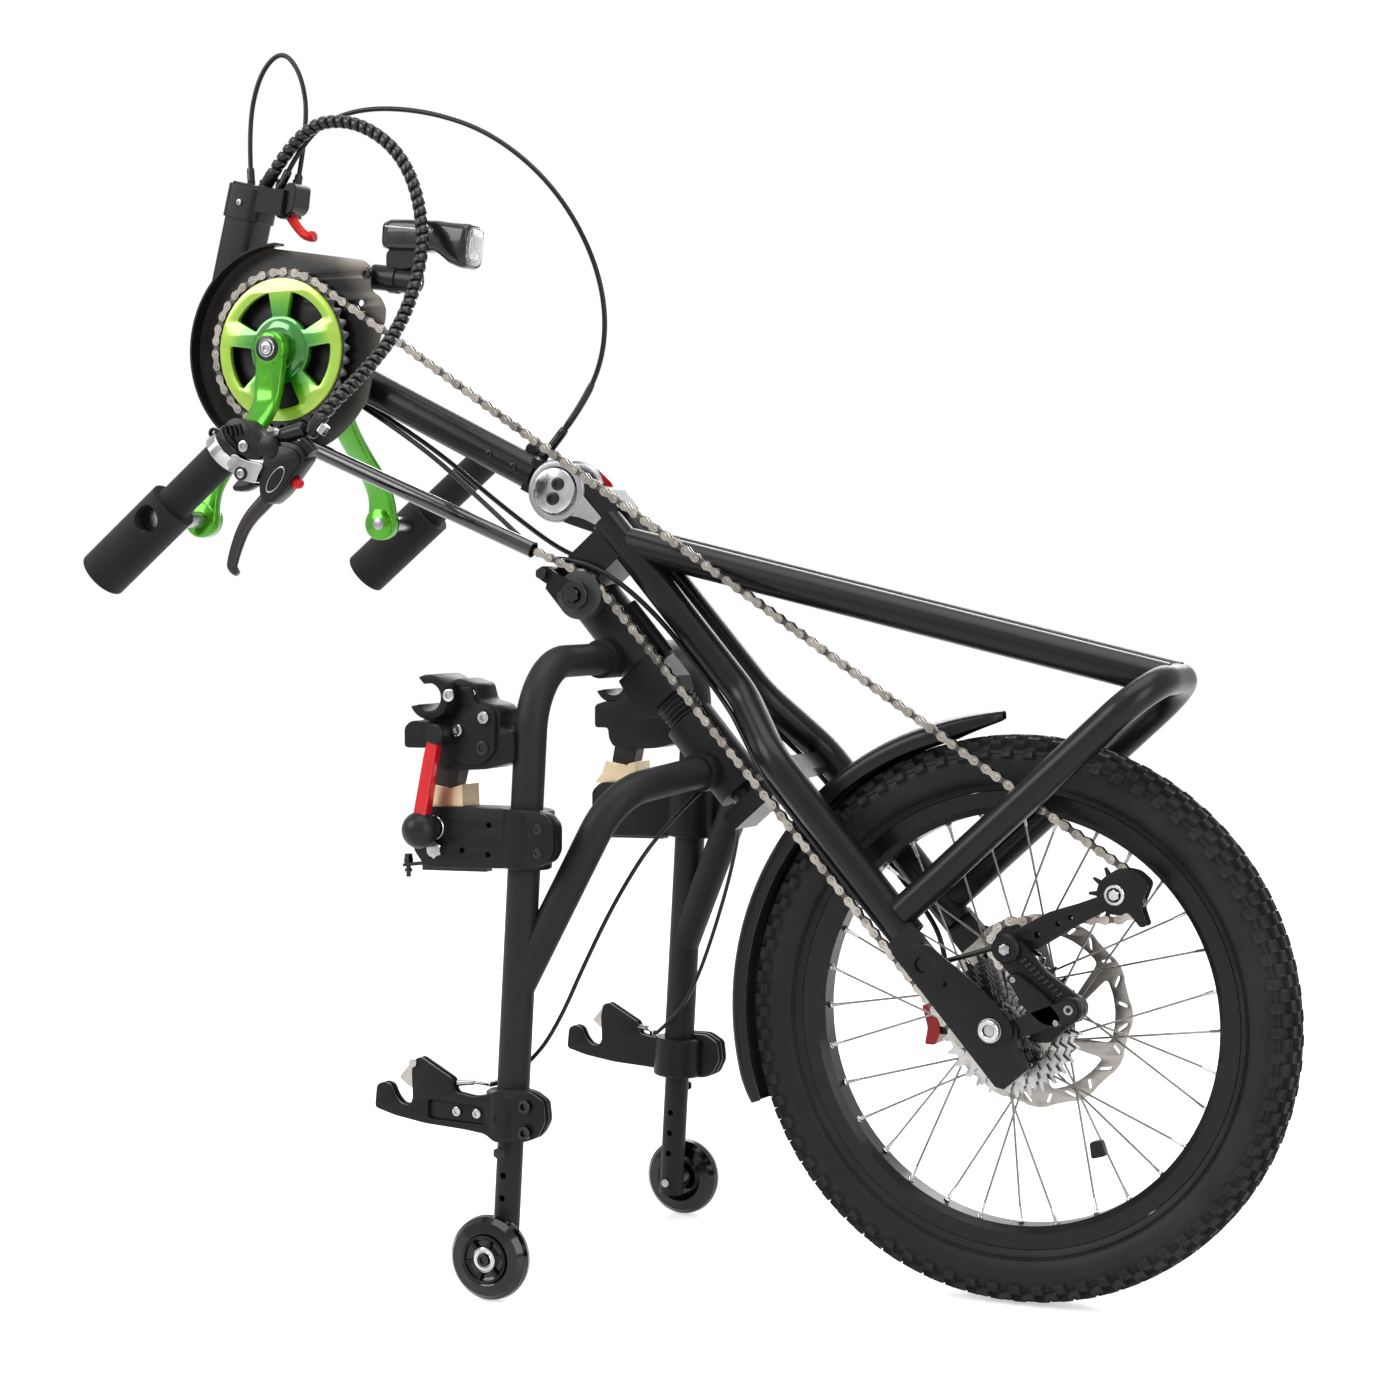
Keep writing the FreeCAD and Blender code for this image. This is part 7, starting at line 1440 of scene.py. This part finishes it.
FLOOR_REACH = 9
FLOOR_GLOW = 0.52
ROOM_LIGHT = 0.34


def white_floor():
    """A white floor that glows towards the camera, in reflections and through glass."""
    desk = Desk("floor_white")
    seen = desk.node("LightPath", out="Is Camera Ray")
    shine = desk.node("LightPath", out="Is Glossy Ray")
    through = desk.node("LightPath", out="Is Transmission Ray")
    glow = desk.math("MINIMUM", seen + shine + through, 1.0)
    desk.finish(colour=(0.8, 0.8, 0.8), rough=0.32, specular=0.25, glow=(1, 1, 1),
                glow_power=glow * FLOOR_GLOW)
    mesh = bpy.data.meshes.new("floor")
    corners = [(x * FLOOR_REACH, y * FLOOR_REACH, 0) for x, y in ((-1, -1), (1, -1), (1, 1), (-1, 1))]
    mesh.from_pydata(corners, [], [(0, 1, 2, 3)])
    mesh.materials.append(desk.material)
    floor = bpy.data.objects.new("floor", mesh)
    bpy.context.scene.collection.objects.link(floor)


def white_room():
    """A room that is white to the camera, in reflections and through glass, and lights
    the object with a soft even grey."""
    world = bpy.data.worlds.new("room")
    bpy.context.scene.world = world
    world.use_nodes = True
    tree = world.node_tree
    tree.nodes.clear()
    path = tree.nodes.new("ShaderNodeLightPath")
    ray = path.outputs["Is Camera Ray"]
    for other in ("Is Transmission Ray", "Is Glossy Ray"):
        either = tree.nodes.new("ShaderNodeMath")
        either.operation = "MAXIMUM"
        tree.links.new(ray, either.inputs[0])
        tree.links.new(path.outputs[other], either.inputs[1])
        ray = either.outputs[0]
    near, far = (tree.nodes.new("ShaderNodeBackground") for _ in range(2))
    for sky, strength in ((near, ROOM_LIGHT), (far, 1.0)):
        sky.inputs["Color"].default_value = (1.0, 1.0, 1.0, 1.0)
        sky.inputs["Strength"].default_value = strength
    mix = tree.nodes.new("ShaderNodeMixShader")
    tree.links.new(ray, mix.inputs[0])
    tree.links.new(near.outputs[0], mix.inputs[1])
    tree.links.new(far.outputs[0], mix.inputs[2])
    output = tree.nodes.new("ShaderNodeOutputWorld")
    tree.links.new(mix.outputs[0], output.inputs["Surface"])


def softbox(name, spot, aim, width, height, power):
    """A rectangular lamp at one place, turned to shine at another."""
    data = bpy.data.lights.new(name, "AREA")
    data.shape, data.size, data.size_y, data.energy = "RECTANGLE", width, height, power
    lamp = bpy.data.objects.new(name, data)
    bpy.context.scene.collection.objects.link(lamp)
    lamp.location = spot
    toward = Vector(aim) - Vector(spot)
    lamp.rotation_euler = toward.to_track_quat("-Z", "Y").to_euler()


white_floor()
white_room()
for lamp in (("key_left", (-2.4, -2.6, 2.6), (0, 0, 0.5), 2.2, 2.2, 105),
             ("top", (0.3, -0.4, 3.4), (0, 0, 0.4), 2.6, 2.6, 75),
             ("right_fill", (3.2, -1.6, 1.6), (0.1, 0, 0.5), 1.6, 2.4, 55),
             ("rear_edge", (-0.6, 3.2, 2.2), (0, 0, 0.5), 2.4, 1.6, 60)):
    softbox(*lamp)

CAMERA_SPOT = (1.2117, -2.6178, 0.6693)
CAMERA_DROP, CAMERA_TURN = 2.54, 25.08
camera = bpy.data.objects.new("camera", bpy.data.cameras.new("camera"))
bpy.context.scene.collection.objects.link(camera)
camera.location = CAMERA_SPOT
camera.rotation_euler = (math.radians(90 - CAMERA_DROP), 0, math.radians(CAMERA_TURN))
camera.data.lens, camera.data.sensor_width = 78.4, 36.0
bpy.context.scene.camera = camera
bpy.context.scene.view_settings.view_transform = "Standard"
